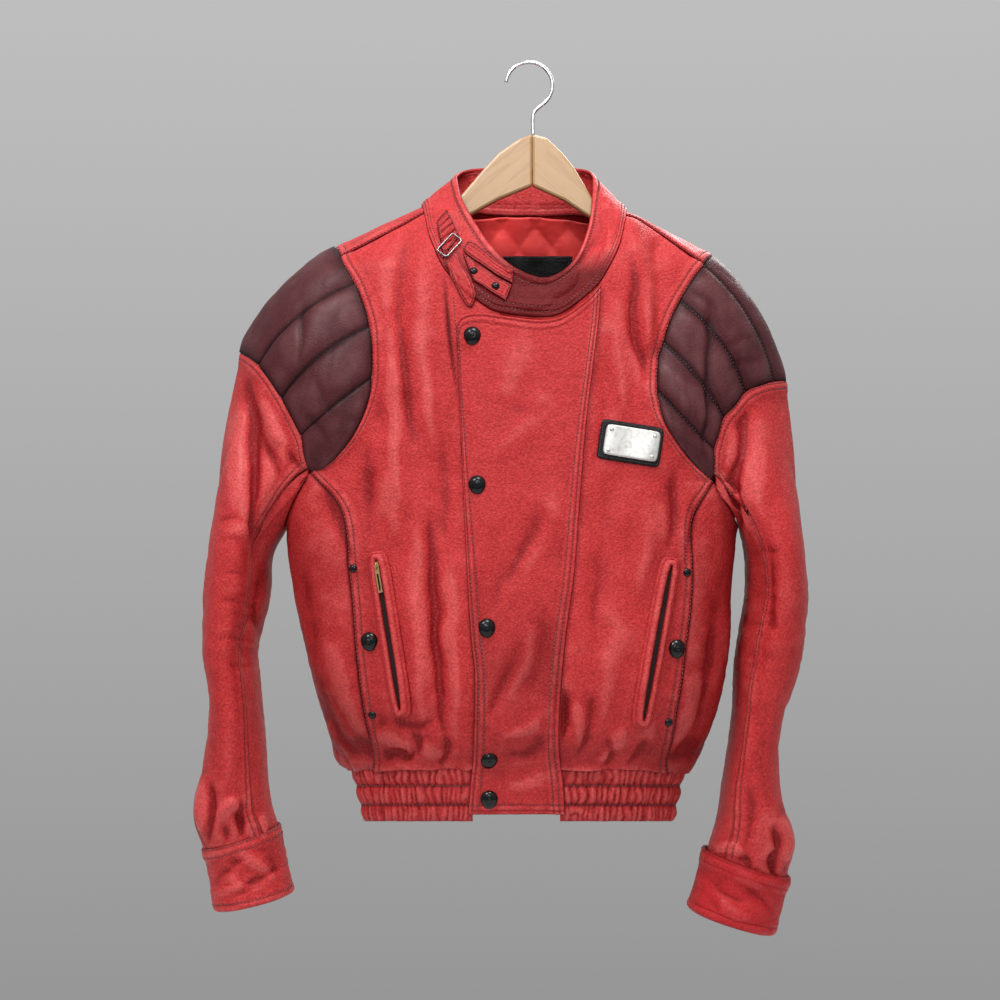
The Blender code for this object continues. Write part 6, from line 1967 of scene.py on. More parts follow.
    def patch(self, sleeve: Cloth) -> None:
        """Elbow patch on the outer back of the sleeve.

        Args:
            sleeve: The upper sleeve's cloth.
        """
        rows = sleeve.points.shape[0] * 0.40, sleeve.points.shape[0] * 0.62
        wide = sleeve.points.shape[1]
        back_right = np.argmax(sleeve.normals[sleeve.points.shape[0] // 2, :, 1])
        outer = np.argmax(sleeve.normals[sleeve.points.shape[0] // 2, :, 0]
                          * self.seams.side.sign)
        low, high = sorted((int(outer - 0.04 * wide * np.sign(back_right - outer)),
                            int(0.3 * outer + 0.7 * back_right)))
        area = slice(int(rows[0]), int(rows[1])), slice(low, high)
        points, normals = sleeve.surface()[area], sleeve.normals[area]
        across, beyond = apart(points)
        down, above = apart_down(points)
        beside, ends = np.minimum(across, beyond), np.minimum(down, above)
        corner = np.hypot(np.clip(14 - beside, 0, None), np.clip(14 - ends, 0, None))
        edge = np.minimum(np.minimum(beside, ends), 14 - corner)
        relief = 1.6 - 1.4 * np.exp(-(np.clip(edge, 0, None) / 0.9) ** 2)
        relief = np.where(edge < 0, -1.6, relief) - 0.4 * hump(edge, 2.4, 0.8)
        # Painted shade round the patch's edge.
        shade = np.clip(hump(edge, 0, 0.9), 0, 1)
        cloth = Cloth(f"elbow_patch_sewn_{self.seams.side.name}", points, normals, relief, shade)
        for side, away in (("l", across), ("r", beyond), ("t", down), ("b", above)):
            path, path_normals = cloth.line(side, 2.4, away)
            cut = max(3, int(14 / max(lengths(path)[-1], 1) * len(path)))
            self.sewing.row(path[cut:-cut], path_normals[cut:-cut])
        cells = (edge[:-1, :-1] > -0.5) & (edge[1:, 1:] > -0.5)
        obj = cloth.make(Finish.RED, 1.2, cells=cells)
        name = self.seams.side.name
        finish_piece(obj, "red_leather", f"elbow_patch_{name}")


# ---- cuffs and hem -------------------------------------------------------------------------------

@dataclass
class Cuff:
    """Turned cuff below a sleeve."""

    sleeve: Sleeve
    sections: Points
    rows: int = 44
    columns: int = 132
    top_rows: tuple[float, float] = (2.0, 10.0)
    bottom_row: float = 7.0
    flat: tuple[float, float] = (0.285, 0.068)

    def build(self) -> None:
        """Build the cuff and its stitching."""
        sleeve, name = self.sleeve, self.sleeve.seams.side.name
        angles = np.linspace(0, 360, self.columns + 1)[:-1][None, :]
        levels = np.linspace(self.sections[0][0] + 2, self.sections[-1][0], self.rows + 1)[:, None]
        angles, levels = np.broadcast_arrays(np.where(angles > 180, angles - 360, angles), levels)
        grid = sleeve.section(self.sections, levels, angles)
        normals = outward(grid_normals(grid, True), grid, grid.mean(axis=(0, 1)))
        from_top, from_foot = apart_down(grid)
        relief = edge_height(from_top, Edge.LAPPED, self.top_rows)
        relief += edge_height(from_foot, Edge.FOLDED, (0.1, self.bottom_row))
        relief += 0.6 * sleeve.relief(grid, normals, 61)
        relief += fine_wrinkles(grid, 1.3, (2.2, 2.2, 1.0), 11.0, 63)
        # Painted shade in the top seam's dents and along the bottom row.
        shade = edge_shade(from_top, Edge.LAPPED, self.top_rows)
        shade += 0.6 * hump(from_foot, self.bottom_row, 0.7)
        cloth = Cloth(f"turned_cuff_{name}", grid, normals, relief, np.clip(shade, 0, 1), True)
        for row in self.top_rows:
            sleeve.sewing.row(*looped(*cloth.line("t", row, from_top)))
        sleeve.sewing.row(*looped(*cloth.line("b", self.bottom_row, from_foot)))
        obj = cloth.make(Finish.RED, 2.4, Finish.RED_INSIDE)
        finish_piece(obj, "red_leather", f"cuff_{name}")


def looped(path: Array, normals: Array) -> tuple[Array, Array]:
    """A line and its normals, closed."""
    return np.vstack([path, path[:1]]), np.vstack([normals, normals[:1]])


@dataclass
class HemBand:
    """Gathered elastic band round the hem, in three parts, two of which end under the flap."""

    seams: dict[str, Seams]
    sewing: Stitching
    edge_right: float
    edge_left: float
    channels: Sequence[float] = (0.0, 20.0, 39.5, 57.0)
    rows: int = 34
    column: float = 1.5
    pitch: float = 7.4
    rise: float = 3.9
    tuck: float = 6.0
    flats: dict = field(default_factory=lambda: {"right": (0.25, 0.058), "left": (0.26, 0.058),
                                                 "back": (0.39, 0.058)})

    def build(self) -> None:
        """Build the three parts."""
        ends = {name: float(TORSO.side_angle(TORSO.back_point(*own.back_seam[-1]), HEM_TOP))
                for name, own in self.seams.items()}
        front = {name: lambda level, x0=x0: TORSO.side_angle(TORSO.front_point(x0, level), level)
                 for name, x0 in (("right", self.edge_right + self.tuck),
                                  ("left", self.edge_left - self.tuck))}
        self.part("right", lambda level: ends["right"] + 0 * level, front["right"])
        self.part("left", front["left"], lambda level: ends["left"] + 0 * level)
        self.part("back", lambda level: ends["left"] + 0 * level,
                  lambda level: ends["right"] + 2 * math.pi + 0 * level)

    def part(self, name: str, start: Callable, stop: Callable) -> None:
        """Build one part.

        Args:
            name: Its name.
            start: Gives the angle of its first end at each level.
            stop: Gives the angle of its other end.
        """
        levels = np.linspace(HEM_TOP + 1.5, HEM_BOTTOM, self.rows + 1)[:, None]
        first, last = start(levels), stop(levels)
        fine = np.linspace(float(first[0, 0]), float(last[0, 0]), 300)
        along = lengths(TORSO.side_point(fine, HEM_TOP + 0 * fine))
        count = int(along[-1] / self.column)
        share = np.interp(np.linspace(0, along[-1], count + 1), along, fine)
        share = (share - share[0]) / (share[-1] - share[0])
        angles = first + (last - first) * share
        levels = levels + 0 * angles
        grid = TORSO.side_point(angles, levels)
        normals = TORSO.normals(TORSO.side_point, angles, levels, ANGLE_STEP)
        place = np.broadcast_to(np.linspace(0, along[-1], count + 1), grid.shape[:2])
        down = HEM_TOP - levels
        relief, shade = self.gathers(place, down, len(name))
        under_flap = {"right": place[:, -1:] - place, "left": place}.get(name, self.tuck + place)
        relief = relief * np.clip(under_flap / self.tuck, 0, 1)
        cloth = Cloth(f"gathered_hem_{name}", grid, normals, relief, shade)
        for line in self.channels[1:3]:
            self.sewing.row(*cloth.line("t", line, down))
        obj = cloth.make(Finish.RED, 1.8, Finish.RED_INSIDE)
        finish_piece(obj, "red_leather", f"hem_band_{name}")

    def gathers(self, place: Array, down: Array, seed: int) -> tuple[Array, Array]:
        """Relief and shade of the gathered channels.

        Args:
            place: Length along the band.
            down: Depth below its top.
            seed: Which unevenness.

        Returns:
            The heights and the shade.
        """
        relief, shade = np.full(place.shape, -0.3), np.zeros(place.shape)
        for index, (top, foot) in enumerate(zip(self.channels, self.channels[1:])):
            v = (down - top) / (foot - top)
            inside = (v >= 0) & (v <= 1)
            v = np.clip(v, 0, 1)
            line = place[0] / self.pitch
            wobble = np.stack([line, 0 * line + 7 * index + seed], axis=-1)
            phase = line + 0.8 * noise(wobble, 1.6, seed + index)
            bend = 0.3 * noise(np.stack([place / 9, down / 9], axis=-1), 1.0, seed + 20 + index)
            lobe = np.abs(np.sin(math.pi * (phase[None, :] + bend))) ** 0.6
            size = 0.8 + 0.35 * noise(wobble, 0.9, seed + 40 + index)[None, :]
            puff = np.sin(math.pi * v) ** 0.55
            height = self.rise * size * puff * (0.28 + 0.72 * lobe) - 0.5 * (1 - lobe)
            relief = np.where(inside, height, relief)
            # Painted shade in the valleys between the gathers, less on the puffs.
            shade = np.where(inside, 0.08 + 0.6 * (1 - lobe) * (1 - 0.4 * puff), shade)
        # Painted shade along the two stitched channel lines.
        for line in self.channels[1:3]:
            shade = shade + 0.7 * hump(down, line, 1.1)
        creased = puckers(np.stack([place, 0.4 * down], axis=-1), 4.5, seed + 60) - 0.5
        relief = relief + 0.9 * creased + 0.35 * noise(np.stack([place, down], axis=-1), 5.0, seed)
        return relief, np.clip(shade, 0, 1)


# ---- front flap and collar -----------------------------------------------------------------------

@dataclass
class FrontFlap:
    """Long flap that closes over both fronts, snapped down the wearer's right."""

    sewing: Stitching
    free_edge: Points = ((-73, -280), (-68, -430), (-65, -500), (-62, -560), (-59, -600),
                         (-56, -632), (-57, -700), (-60, -740), (-63, -772))
    seam_edge: Points = ((74, -228), (72, -260), (66, -310), (58, -380), (51, -470), (46, -530),
                         (38, -590), (32, -660), (31, -700), (35, -740), (37, -772))
    top: Points = ((-73, -280), (-72, -265), (-66, -259), (-50, -257), (-20, -261), (10, -264.5),
                   (34, -260.5), (60, -243), (74, -228))
    draft: tuple[int, int] = (96, 48)
    rows: int = 212
    columns: int = 70
    lift: float = 3.5
    opening: float = 3.0
    opening_level: float = -690.0
    opening_length: float = 90.0
    free_rows: tuple[float, float] = (4.1, 10.3)
    seam_rows: tuple[float, float] = (5.2, 11.3)
    flat: tuple[float, float] = (0.15, 0.53)
    area: float = 0.057

    def build(self) -> BVHTree:
        """Build the flap and its stitching.

        Returns:
            A search tree over it.
        """
        rows, cols = self.draft
        top, left = spaced(self.top, cols), spaced(self.free_edge, rows)
        right = spaced(self.seam_edge, rows)
        field_grid = patch(top, even([left[-1], right[-1]], cols), left, right)
        field_grid = respaced(field_grid, self.columns)
        field_grid = np.swapaxes(respaced(np.swapaxes(field_grid, 0, 1), self.rows), 0, 1)
        points, normals = TORSO.wall(TORSO.front_point, field_grid[..., 0], field_grid[..., 1])
        from_free, from_seam = apart(points)
        from_top, from_foot = apart_down(points)
        across = from_free / (from_free + from_seam)
        down = np.exp(-((field_grid[..., 1] - self.opening_level) / self.opening_length) ** 2)
        lift = self.lift + self.opening * down * np.clip(1 - 3 * across, 0, 1)
        free = np.minimum(np.minimum(from_free, from_foot), from_top + 1.0)
        relief = edge_height(free, Edge.FOLDED, self.free_rows)
        relief += edge_height(from_seam, Edge.LAPPED, self.seam_rows) - 0.6
        relief += 1.3 * crease_height(FLAP_CREASES, points)
        low = np.clip((-600 - points[..., 2]) / 100, 0, 1)
        relief += fine_wrinkles(points, 0.25 + 0.9 * low, (1.6, 1.0, 1.0), 8.0, 71)
        relief += 0.7 * noise(points, 42.0, 73)
        # Painted shade in the edges' dents and over a band across the flap's lower part.
        shade = edge_shade(free, Edge.FOLDED, self.free_rows)
        dusk = hump(points[..., 2], -615, 85) * (1 + 0.6 * noise(points, 40.0, 78))
        shade = shade + edge_shade(from_seam, Edge.LAPPED, self.seam_rows) + 0.36 * dusk
        shade = np.clip(shade, 0, 1)
        cloth = Cloth("snapped_front_flap", points + lift[..., None] * normals, normals, relief,
                      shade)
        for row in self.free_rows:
            self.sewing.row(*cloth.line("l", row, from_free))
        for row in self.seam_rows:
            self.sewing.row(*cloth.line("r", row, from_seam))
        self.sewing.row(*cloth.line("b", self.free_rows[1], from_foot))
        obj = cloth.make(Finish.RED, inside=Finish.RED_INSIDE)
        finish_piece(obj, "red_leather", "front_flap")
        return cloth.tree()


@dataclass
class Collar:
    """Stand collar with its bound upper edge."""

    neck: Neck
    sewing: Stitching
    top_front: Points = ((-74, 8, -119), (-70, -18, -138), (-60, -32, -159), (-43, -50, -187),
                         (-21, -62, -212), (9, -66, -226), (28, -64, -222), (45, -57, -207),
                         (55, -44, -186), (62, -25, -160), (65, -4, -132), (66, 8, -121))
    top_back: Points = ((66, 8, -121), (66, 22, -112), (60, 46, -102), (39, 62, -98),
                        (-5, 68, -97), (-46, 62, -98), (-66, 48, -102), (-74, 22, -111),
                        (-74, 8, -119))
    rows: int = 46
    bulge: float = 3.0
    seam_rows: tuple[float, float] = (5.6, 10.8)
    binding: float = 8.5
    lap: float = 5.0
    flat: tuple[float, float] = (0.56, 0.085)
    area: float = 0.0305
    creases: Sequence[Crease] = field(default_factory=lambda: creased(
        (((600, 205), (596, 235), (575, 272)), 5, -2.2, 0.3),
        (((612, 222), (606, 250), (590, 276)), 4, 1.6),
        (((588, 262), (572, 288), (552, 300)), 4, -1.6),
        (((452, 225), (462, 250), (480, 276)), 5, -1.6),
        (((500, 275), (525, 286), (556, 284)), 4.5, -1.4),
        (((505, 298), (532, 303), (560, 300)), 3.5, 1.0)))

    def build(self) -> Cloth:
        """Build the collar.

        Returns:
            Its cloth.
        """
        neck = self.neck
        front = spaced(self.top_front, neck.fine * neck.front_count)
        back = spaced(self.top_back, neck.fine * neck.back_count)
        top = np.vstack([front, back[1:-1]])
        out = unit((neck.ring - neck.ring.mean(axis=0)) * (1, 1, 0))
        t = np.linspace(0, 1, self.rows + 1)[:, None, None]
        grid = (1 - t) * top + t * neck.ring + 4 * t * (1 - t) * self.bulge * out
        behind = np.clip((neck.ring[:, 1:2] - 10) / 25, 0, 1)
        grid = grid + self.lap * t ** 6 * behind * unit(neck.ring - top)
        normals = outward(grid_normals(grid, True), grid, grid.mean(axis=(0, 1)))
        from_top, from_foot = apart_down(grid)
        relief = edge_height(from_foot, Edge.LAPPED, self.seam_rows)
        band = np.clip(from_top / self.binding, 0, 1)
        relief += 1.3 * np.sqrt(np.clip(1 - (2 * band - 1) ** 2, 0, 1)) * (from_top < self.binding)
        relief -= 0.6 * hump(from_top, self.binding, 0.9)
        ahead = np.clip(-normals[..., 1] * 3, 0, 1)
        relief += crease_height(self.creases, grid) * ahead
        # Painted shade on the lower collar front, which faces down away from the light.
        below = np.clip((-196 - grid[..., 2]) / 26, 0, 1) * ahead
        relief += fine_wrinkles(grid, 0.7, (1.0, 1.0, 1.4), 8.0, 81)
        relief += 0.6 * noise(grid, 26.0, 83)
        # Painted shade in the seam dents, in the groove under the binding and on the lower collar
        # front.
        shade = edge_shade(from_foot, Edge.LAPPED, self.seam_rows)
        shade += 0.8 * hump(from_top, self.binding, 0.9) + below
        cloth = Cloth("stand_collar", grid, normals, relief, np.clip(shade, 0, 1), True)
        for row in self.seam_rows:
            self.sewing.row(*looped(*cloth.line("b", row, from_foot)))
        self.sewing.row(*looped(*cloth.line("t", self.binding + 1.6, from_top)))
        obj = cloth.make(Finish.RED, 3.0, Finish.RED)
        finish_piece(obj, "red_leather", "collar")
        return cloth


@dataclass
class CollarStraps:
    """Tab with two studs, and a strap that runs through a wire loop."""

    sewing: Stitching
    straps: dict = field(default_factory=lambda: {
        "collar_tab": (((-64, -184.5), (-60, -183), (-49.5, -189.5), (-34, -203), (-15.5, -213)),
                       ((-67, -189.5), (-67.5, -193), (-61, -199), (-48.5, -207.5),
                        (-33.5, -218), (-17, -227))),
        "collar_tab_foot": (((-68.5, -196.5), (-61, -201), (-48.5, -209), (-33.5, -220),
                             (-17.5, -229)),
                            ((-57, -224), (-49.5, -228), (-40, -234.5), (-24, -245))),
        "collar_strap_carrier": (((-95, -163), (-92.5, -179), (-88.5, -200)),
                                 ((-84.5, -150.5), (-79.5, -161.5), (-72, -177))),
        "collar_strap_tongue": (((-86.5, -206), (-77, -226.5), (-68, -244), (-63, -250.5)),
                                ((-74.5, -191.5), (-70, -204), (-64.5, -214.5), (-58.5, -225),
                                 (-55, -234.5), (-55, -243), (-59, -250.5)))})
    flats: dict = field(default_factory=lambda: {
        "collar_tab": (0.065, 0.0165), "collar_tab_foot": (0.052, 0.022),
        "collar_strap_carrier": (0.042, 0.024), "collar_strap_tongue": (0.062, 0.0185)})
    lengthwise: int = 46
    across: int = 26
    seat: float = 0.4
    wall: float = 1.6
    edge_row: float = 2.2
    rib_pitch: float = 7.5
    loop_centre: tuple[float, float] = (-82.0, -186.5)
    loop_size: tuple[float, float] = (29.0, 12.0)
    loop_tilt: float = 53.0
    wire: float = 2.0

    def build(self, under: Sequence[Array]) -> dict[str, Cloth]:
        """Build all straps.

        Args:
            under: The grids that they lie on.

        Returns:
            Their cloths.
        """
        tree, made = tree_of(under), {}
        for name, edges in self.straps.items():
            first, last = (spaced(edge, self.lengthwise) for edge in edges)
            share = np.linspace(0, 1, self.across)[:, None, None]
            flat = (1 - share) * first + share * last
            grid = smoothed(laid_on(tree, flat[..., 0], flat[..., 1]), 2)
            if grid_normals(grid)[1, 1, 1] > 0:
                grid = grid[::-1]
            normals = grid_normals(grid)
            sides = four_sides(grid)
            edge = np.minimum.reduce(list(sides.values()))
            relief = edge_height(edge, Edge.FOLDED, (self.edge_row, 2.5 * self.edge_row))
            # Painted shade at the edge row and the cut edge, in the carrier's rib grooves, and an
            # even share over the whole strap.
            shade = 0.7 * hump(edge, self.edge_row, 0.6) + hump(edge, 0, 0.7)
            if name == "collar_strap_carrier":
                rib = hump(np.mod(sides["l"], self.rib_pitch), self.rib_pitch / 2, 0.9)
                relief, shade = relief - 1.1 * rib, shade + 0.6 * rib
            grid = grid + (self.seat + self.wall) * normals
            shade = np.clip(0.2 + shade, 0, 1)
            cloth = Cloth(f"{name}_sewn", grid, normals, relief + 0.3, shade)
            for side, away in sides.items():
                path, path_normals = cloth.line(side, self.edge_row, away)
                cut = max(1, int(self.edge_row / max(lengths(path)[-1], 1) * len(path)))
                self.sewing.row(path[cut:-cut], path_normals[cut:-cut])
            obj = cloth.make(Finish.RED, self.wall)
            finish_piece(obj, "red_leather", name)
            made[name] = cloth
        self.loop(tree_of(list(under) + [cloth.surface() for cloth in made.values()]))
        return made

    def loop(self, tree: BVHTree) -> None:
        """Wire loop lying on the strap."""
        seat, normal = seat_on(tree, *self.loop_centre, self.loop_size[0] / 2)
        turn = math.radians(self.loop_tilt)
        along = np.array([math.cos(turn), 0, math.sin(turn)])
        along = unit(along - normal * float(along @ normal))
        other = np.cross(normal, along)
        outline = rounded_box(self.loop_size[0], -self.loop_size[1] / 2, self.loop_size[1] / 2,
                              3.0, 8)
        path = np.array([seat + normal * self.wire / 2 + along * x + other * y
                         for x, y in outline])
        obj = tube("collar_wire_loop", path, self.wire / 2, Finish.STEEL, True)
        finish_piece(obj, "steel", "collar_buckle")


def smoothed(grid: Array, rounds: int) -> Array:
    """Grid with its inner points eased between their neighbours."""
    grid = grid.copy()
    for _ in range(rounds):
        grid[1:-1] = 0.5 * grid[1:-1] + 0.25 * (grid[:-2] + grid[2:])
        grid[:, 1:-1] = 0.5 * grid[:, 1:-1] + 0.25 * (grid[:, :-2] + grid[:, 2:])
    return grid


# ---- small pieces on the cloth -------------------------------------------------------------------

def rounded_box(width: float, low: float, high: float, radius: float, steps: int = 4) -> Points:
    """Outline of a rectangle with round corners, from low to high."""
    outline, half = [], width / 2 - radius
    for x, y, start in ((half, high - radius, 0), (-half, high - radius, 90),
                        (-half, low + radius, 180), (half, low + radius, 270)):
        for angle in np.radians(start + 90 * np.arange(steps + 1) / steps):
            outline.append((x + radius * math.cos(angle), y + radius * math.sin(angle)))
    return outline


def tube(name: str, path: Array, radius: float, finish: Finish, closed: bool = False,
         sides: int = 14) -> bpy.types.Object:
    """Round wire along a path.

    Args:
        name: The piece's name.
        path: The points it runs through.
        radius: Its radius.
        finish: Its finish.
        closed: Whether its ends meet.
        sides: Faces round it.

    Returns:
        The object.
    """
    along = unit(np.roll(path, -1, 0) - np.roll(path, 1, 0) if closed
                 else np.gradient(path, axis=0))
    helper = np.array([0.0, 1.0, 0.0]) if np.ptp(path[:, 1]) < 1 else unit(
        np.cross(path[1] - path[0], path[len(path) // 2] - path[0]))
    side = unit(np.cross(along, helper))
    up = np.cross(side, along)
    rings = [path + radius * (side * math.cos(turn) + up * math.sin(turn))
             for turn in np.arange(sides) * 2 * math.pi / sides]
    grid = np.stack(rings, axis=1)
    count = len(path)
    faces = []
    for i in range(count if closed else count - 1):
        for j in range(sides):
            a, b, k = i * sides, (i + 1) % count * sides, (j + 1) % sides
            faces.append([a + j, b + j, b + k, a + k])
    if not closed:
        faces += [list(range(sides)), list(range(count * sides - 1, (count - 1) * sides - 1, -1))]
    obj = mesh_object(name, grid.reshape(-1, 3), faces, finish)
    face_outward(obj)
    return obj


def face_outward(obj: bpy.types.Object) -> None:
    """Turn the faces of a closed mesh outward."""
    mesh = bmesh.new()
    mesh.from_mesh(obj.data)
    bmesh.ops.recalc_face_normals(mesh, faces=mesh.faces)
    mesh.to_mesh(obj.data)
    mesh.free()


def seat_on(tree: BVHTree, x0: float, z0: float, radius: float) -> tuple[Array, Array]:
    """Point clear of the cloth all over a radius, and the outward normal there."""
    around = np.linspace(0, 2 * math.pi, 9)[:-1]
    spots = [(x0 + r * np.cos(around), z0 + r * np.sin(around)) for r in (radius, radius / 2)]
    spots = np.concatenate(spots + [np.array([[x0], [z0]])], axis=1)
    hits = laid_on(tree, spots[0], spots[1])
    normal = unit(np.cross(hits[2] - hits[6], hits[0] - hits[4]))
    normal = -normal if normal[1] > 0 else normal
    return hits[-1] + normal * float(np.median((hits - hits[-1]) @ normal)), normal


@dataclass
class Fasteners:
    """Domed snaps, rivets and studs in black enamel."""

    snap: Points = ((0, 5.3), (1.0, 5.25), (1.7, 4.9), (2.1, 4.5), (2.9, 4.55), (4.4, 4.2),
                    (6.2, 3.2), (7.6, 1.9), (8.3, 0.9), (8.6, 0.35), (8.5, -0.4), (7.5, -1.4))
    rivet: Points = ((0, 2.3), (1.4, 2.15), (2.6, 1.7), (3.5, 1.0), (4.1, 0.3), (4.0, -0.5),
                     (3.2, -1.2))
    snap_stretch: float = 1.1
    steps: int = 40

    def build(self, groups: Sequence[tuple[str, Points, BVHTree, bool]]) -> None:
        """Build every fastener.

        Args:
            groups: Node name, places, cloth and whether they are snaps, for each group.
        """
        for name, spots, tree, is_snap in groups:
            for index, (x0, z0) in enumerate(spots):
                self.one(f"{name}_{index + 1}", x0, z0, tree, is_snap)

    def one(self, node: str, x0: float, z0: float, tree: BVHTree, is_snap: bool) -> None:
        """Build one fastener, a snap slightly pear-shaped towards its lower side."""
        profile = np.array(self.snap if is_snap else self.rivet)
        point, normal = seat_on(tree, x0, z0, 0.8 * profile[:, 0].max())
        up = unit(np.array([0, 0, 1.0]) - normal * normal[2])
        across = np.cross(up, normal)
        turns = np.arange(self.steps) * 2 * math.pi / self.steps
        rings = [point[None] + normal * profile[0, 1]]
        for radius, height in profile[1:]:
            x, y = radius * np.cos(turns), radius * np.sin(turns)
            if is_snap:
                share = radius / profile[:, 0].max()
                y = np.where(y < 0, y * (1 + (self.snap_stretch - 1) * 2 * share), y)
                x = x * (1 - 0.07 * share * np.clip(-y / radius, 0, 1))
            rings.append(point + normal * height + across * x[:, None] + up * y[:, None])
        faces = [[0, 1 + j, 1 + (j + 1) % self.steps] for j in range(self.steps)]
        for ring in range(len(rings) - 2):
            a, b = 1 + ring * self.steps, 1 + (ring + 1) * self.steps
            faces += [[a + j, b + j, b + (j + 1) % self.steps, a + (j + 1) % self.steps]
                      for j in range(self.steps)]
        last = 1 + (len(rings) - 2) * self.steps
        faces.append(list(range(last, last + self.steps)))
        obj = mesh_object(f"{node}_domed", np.vstack(rings), faces, Finish.ENAMEL)
        face_outward(obj)
        finish_piece(obj, "black_enamel", node)


@dataclass
class Pocket:
    """Slanted zip pocket: a leaf-shaped gap between two leather lips, over a tape with teeth."""

    name: str
    top: tuple[float, float]
    foot: tuple[float, float]
    sewing: Stitching
    slot_half: float = 3.2
    lips: tuple[float, float] = (8.5, 12.5)
    lip_rise: float = 1.7
    around: int = 150
    rings: int = 12
    tooth: tuple[float, float, float] = (2.0, 0.9, 0.9)
    tooth_pitch: float = 1.75
    flat: tuple[float, float] = (0.34, 0.0105)
    tape_flat: tuple[float, float] = (0.155, 0.0105)
    tape_area: float = 0.00115

    def outline(self, half: tuple[float, float], extra: float, square: float) -> Array:
        """Curve round the slot.

        Args:
            half: Half its width towards the side and towards the front's middle.
            extra: How much longer than the slot it is at both ends.
            square: 1 for an oval, less for squarer corners.

        Returns:
            Its x and z.
        """
        top, foot = np.array(self.top, float), np.array(self.foot, float)
        down = unit(foot - top)
        across = np.array([-down[1], down[0]])
        length = np.linalg.norm(foot - top)
        turn = np.linspace(0, 2 * math.pi, self.around + 1)[:-1]
        along = -np.sign(np.cos(turn)) * np.abs(np.cos(turn)) ** square
        wide = np.sign(np.sin(turn)) * np.abs(np.sin(turn)) ** square
        half = np.where(wide * middle_sign(self.name) > 0, half[1], half[0])
        middle = (top + foot) / 2
        return (middle + down * (along * (length / 2 + extra))[:, None]
                + across * (wide * half)[:, None])

    def build(self, tree: BVHTree) -> None:
        """Build the lips, the tape and the teeth.

        Args:
            tree: The body's cloth.
        """
        share = np.linspace(0, 1, self.rings + 1)
        flat = []
        for part in share:
            ring = self.outline((self.slot_half, self.slot_half), 1.0, 0.65)
            wide = self.outline(self.lips, 8.0, 0.3)
            flat.append(ring + (wide - ring) * part)
        flat = np.array(flat)
        seat = laid_on(tree, flat[..., 0], flat[..., 1])
        seat = smooth_rings(seat)
        normals = outward(grid_normals(seat, True), seat, seat.mean(axis=(0, 1)) + (0, 200, 0))
        out = np.broadcast_to(share[:, None] * 8.0, seat.shape[:2])
        height = self.lip_rise * hump(out, 2.2, 3.0) + 1.5
        height -= 1.6 * hump(out, 0, 0.9) + 0.5 * hump(out, 5.6, 0.8)
        height -= 1.1 * np.clip((out - 6.6) / 1.4, 0, 1)
        height += 0.4 * noise(seat, 7.0, 91)
        # Painted shade in the slot and in the stitch groove.
        shade = np.clip(hump(out, 0, 1.2) + 0.5 * hump(out, 5.6, 0.7), 0, 1)
        cloth = Cloth(f"pocket_lips_{self.name}", seat, normals, height, shade, True)
        self.sewing.row(*looped(*cloth.line("t", 5.6, out)))
        obj = cloth.make(Finish.RED, 1.6)
        finish_piece(obj, "red_leather", f"pocket_welt_{self.name}")
        self.zip(tree)

    def zip(self, tree: BVHTree) -> None:
        """Build the tape and its two rows of teeth."""
        top, foot = np.array(self.top, float), np.array(self.foot, float)
        down = unit(foot - top)
        side = np.array([-down[1], down[0]])
        path = even([top, foot], 60)
        flat = path[None] + side * np.linspace(-1, 1, 7)[:, None, None] * (self.slot_half + 0.4)
        grid = smoothed(laid_on(tree, flat[..., 0], flat[..., 1]), 4)
        if grid_normals(grid)[1, 1, 1] > 0:
            grid = grid[::-1]
        normals = grid_normals(grid)
        relief = np.full(grid.shape[:2], 1.3)
        tape = Cloth(f"zip_tape_{self.name}", grid, normals, relief, 0 * relief)
        obj = tape.make(Finish.TAPE, 0.9)
        finish_piece(obj, "zip_tape", f"pocket_zip_{self.name}")
        surface = tape.surface()
        middle, up = surface[3], normals[3]
        along = lengths(middle)
        spots = np.arange(4.0, along[-1] - 2, self.tooth_pitch)
        points, faces = [], []
        for index, spot in enumerate(spots):
            centre = at_lengths(middle, [spot])[0]
            row = int(np.searchsorted(along, spot)) - 1
            out, run = up[row], unit(middle[row + 1] - middle[row])
            wide = np.cross(out, run) * (1 if index % 2 else -1)
            points, faces = add_block(points, faces, centre + wide * 0.75 + out * 0.35,
                                      (wide, run, out), self.tooth)
        teeth = mesh_object(f"zip_teeth_{self.name}", np.array(points), faces, Finish.TEETH, False)
        finish_piece(teeth, "zip_tape")


def middle_sign(name: str) -> int:
    """Sign of x towards the middle of the front from the wearer's right or left."""
    return 1 if name == "right" else -1


def smooth_rings(grid: Array) -> Array:
    """Closed rings with each point eased between its neighbours."""
    for _ in range(3):
        grid = 0.5 * grid + 0.25 * (np.roll(grid, 1, axis=1) + np.roll(grid, -1, axis=1))
    return grid


def add_block(points: list, faces: list, centre: Array, axes: Sequence[Array],
              size: Sequence[float]) -> tuple[list, list]:
    """Add a block with slanted sides to lists of points and faces.

    Args:
        points: The points so far.
        faces: The faces so far.
        centre: The block's centre.
        axes: Its three directions.
        size: Its three sizes.

    Returns:
        Both lists.
    """
    start = len(points)
    for up in (-0.5, 0.5):
        taper = 1.0 if up < 0 else 0.78
        for a, b in ((-0.5, -0.5), (0.5, -0.5), (0.5, 0.5), (-0.5, 0.5)):
            points.append(centre + axes[0] * a * size[0] * taper + axes[1] * b * size[1] * taper
                          + axes[2] * up * size[2])
    quads = [[3, 2, 1, 0], [4, 5, 6, 7], [0, 1, 5, 4], [1, 2, 6, 5], [2, 3, 7, 6], [3, 0, 4, 7]]
    if np.dot(np.cross(axes[0], axes[1]), axes[2]) < 0:
        quads = [quad[::-1] for quad in quads]
    faces += [[start + k for k in quad] for quad in quads]
    return points, faces


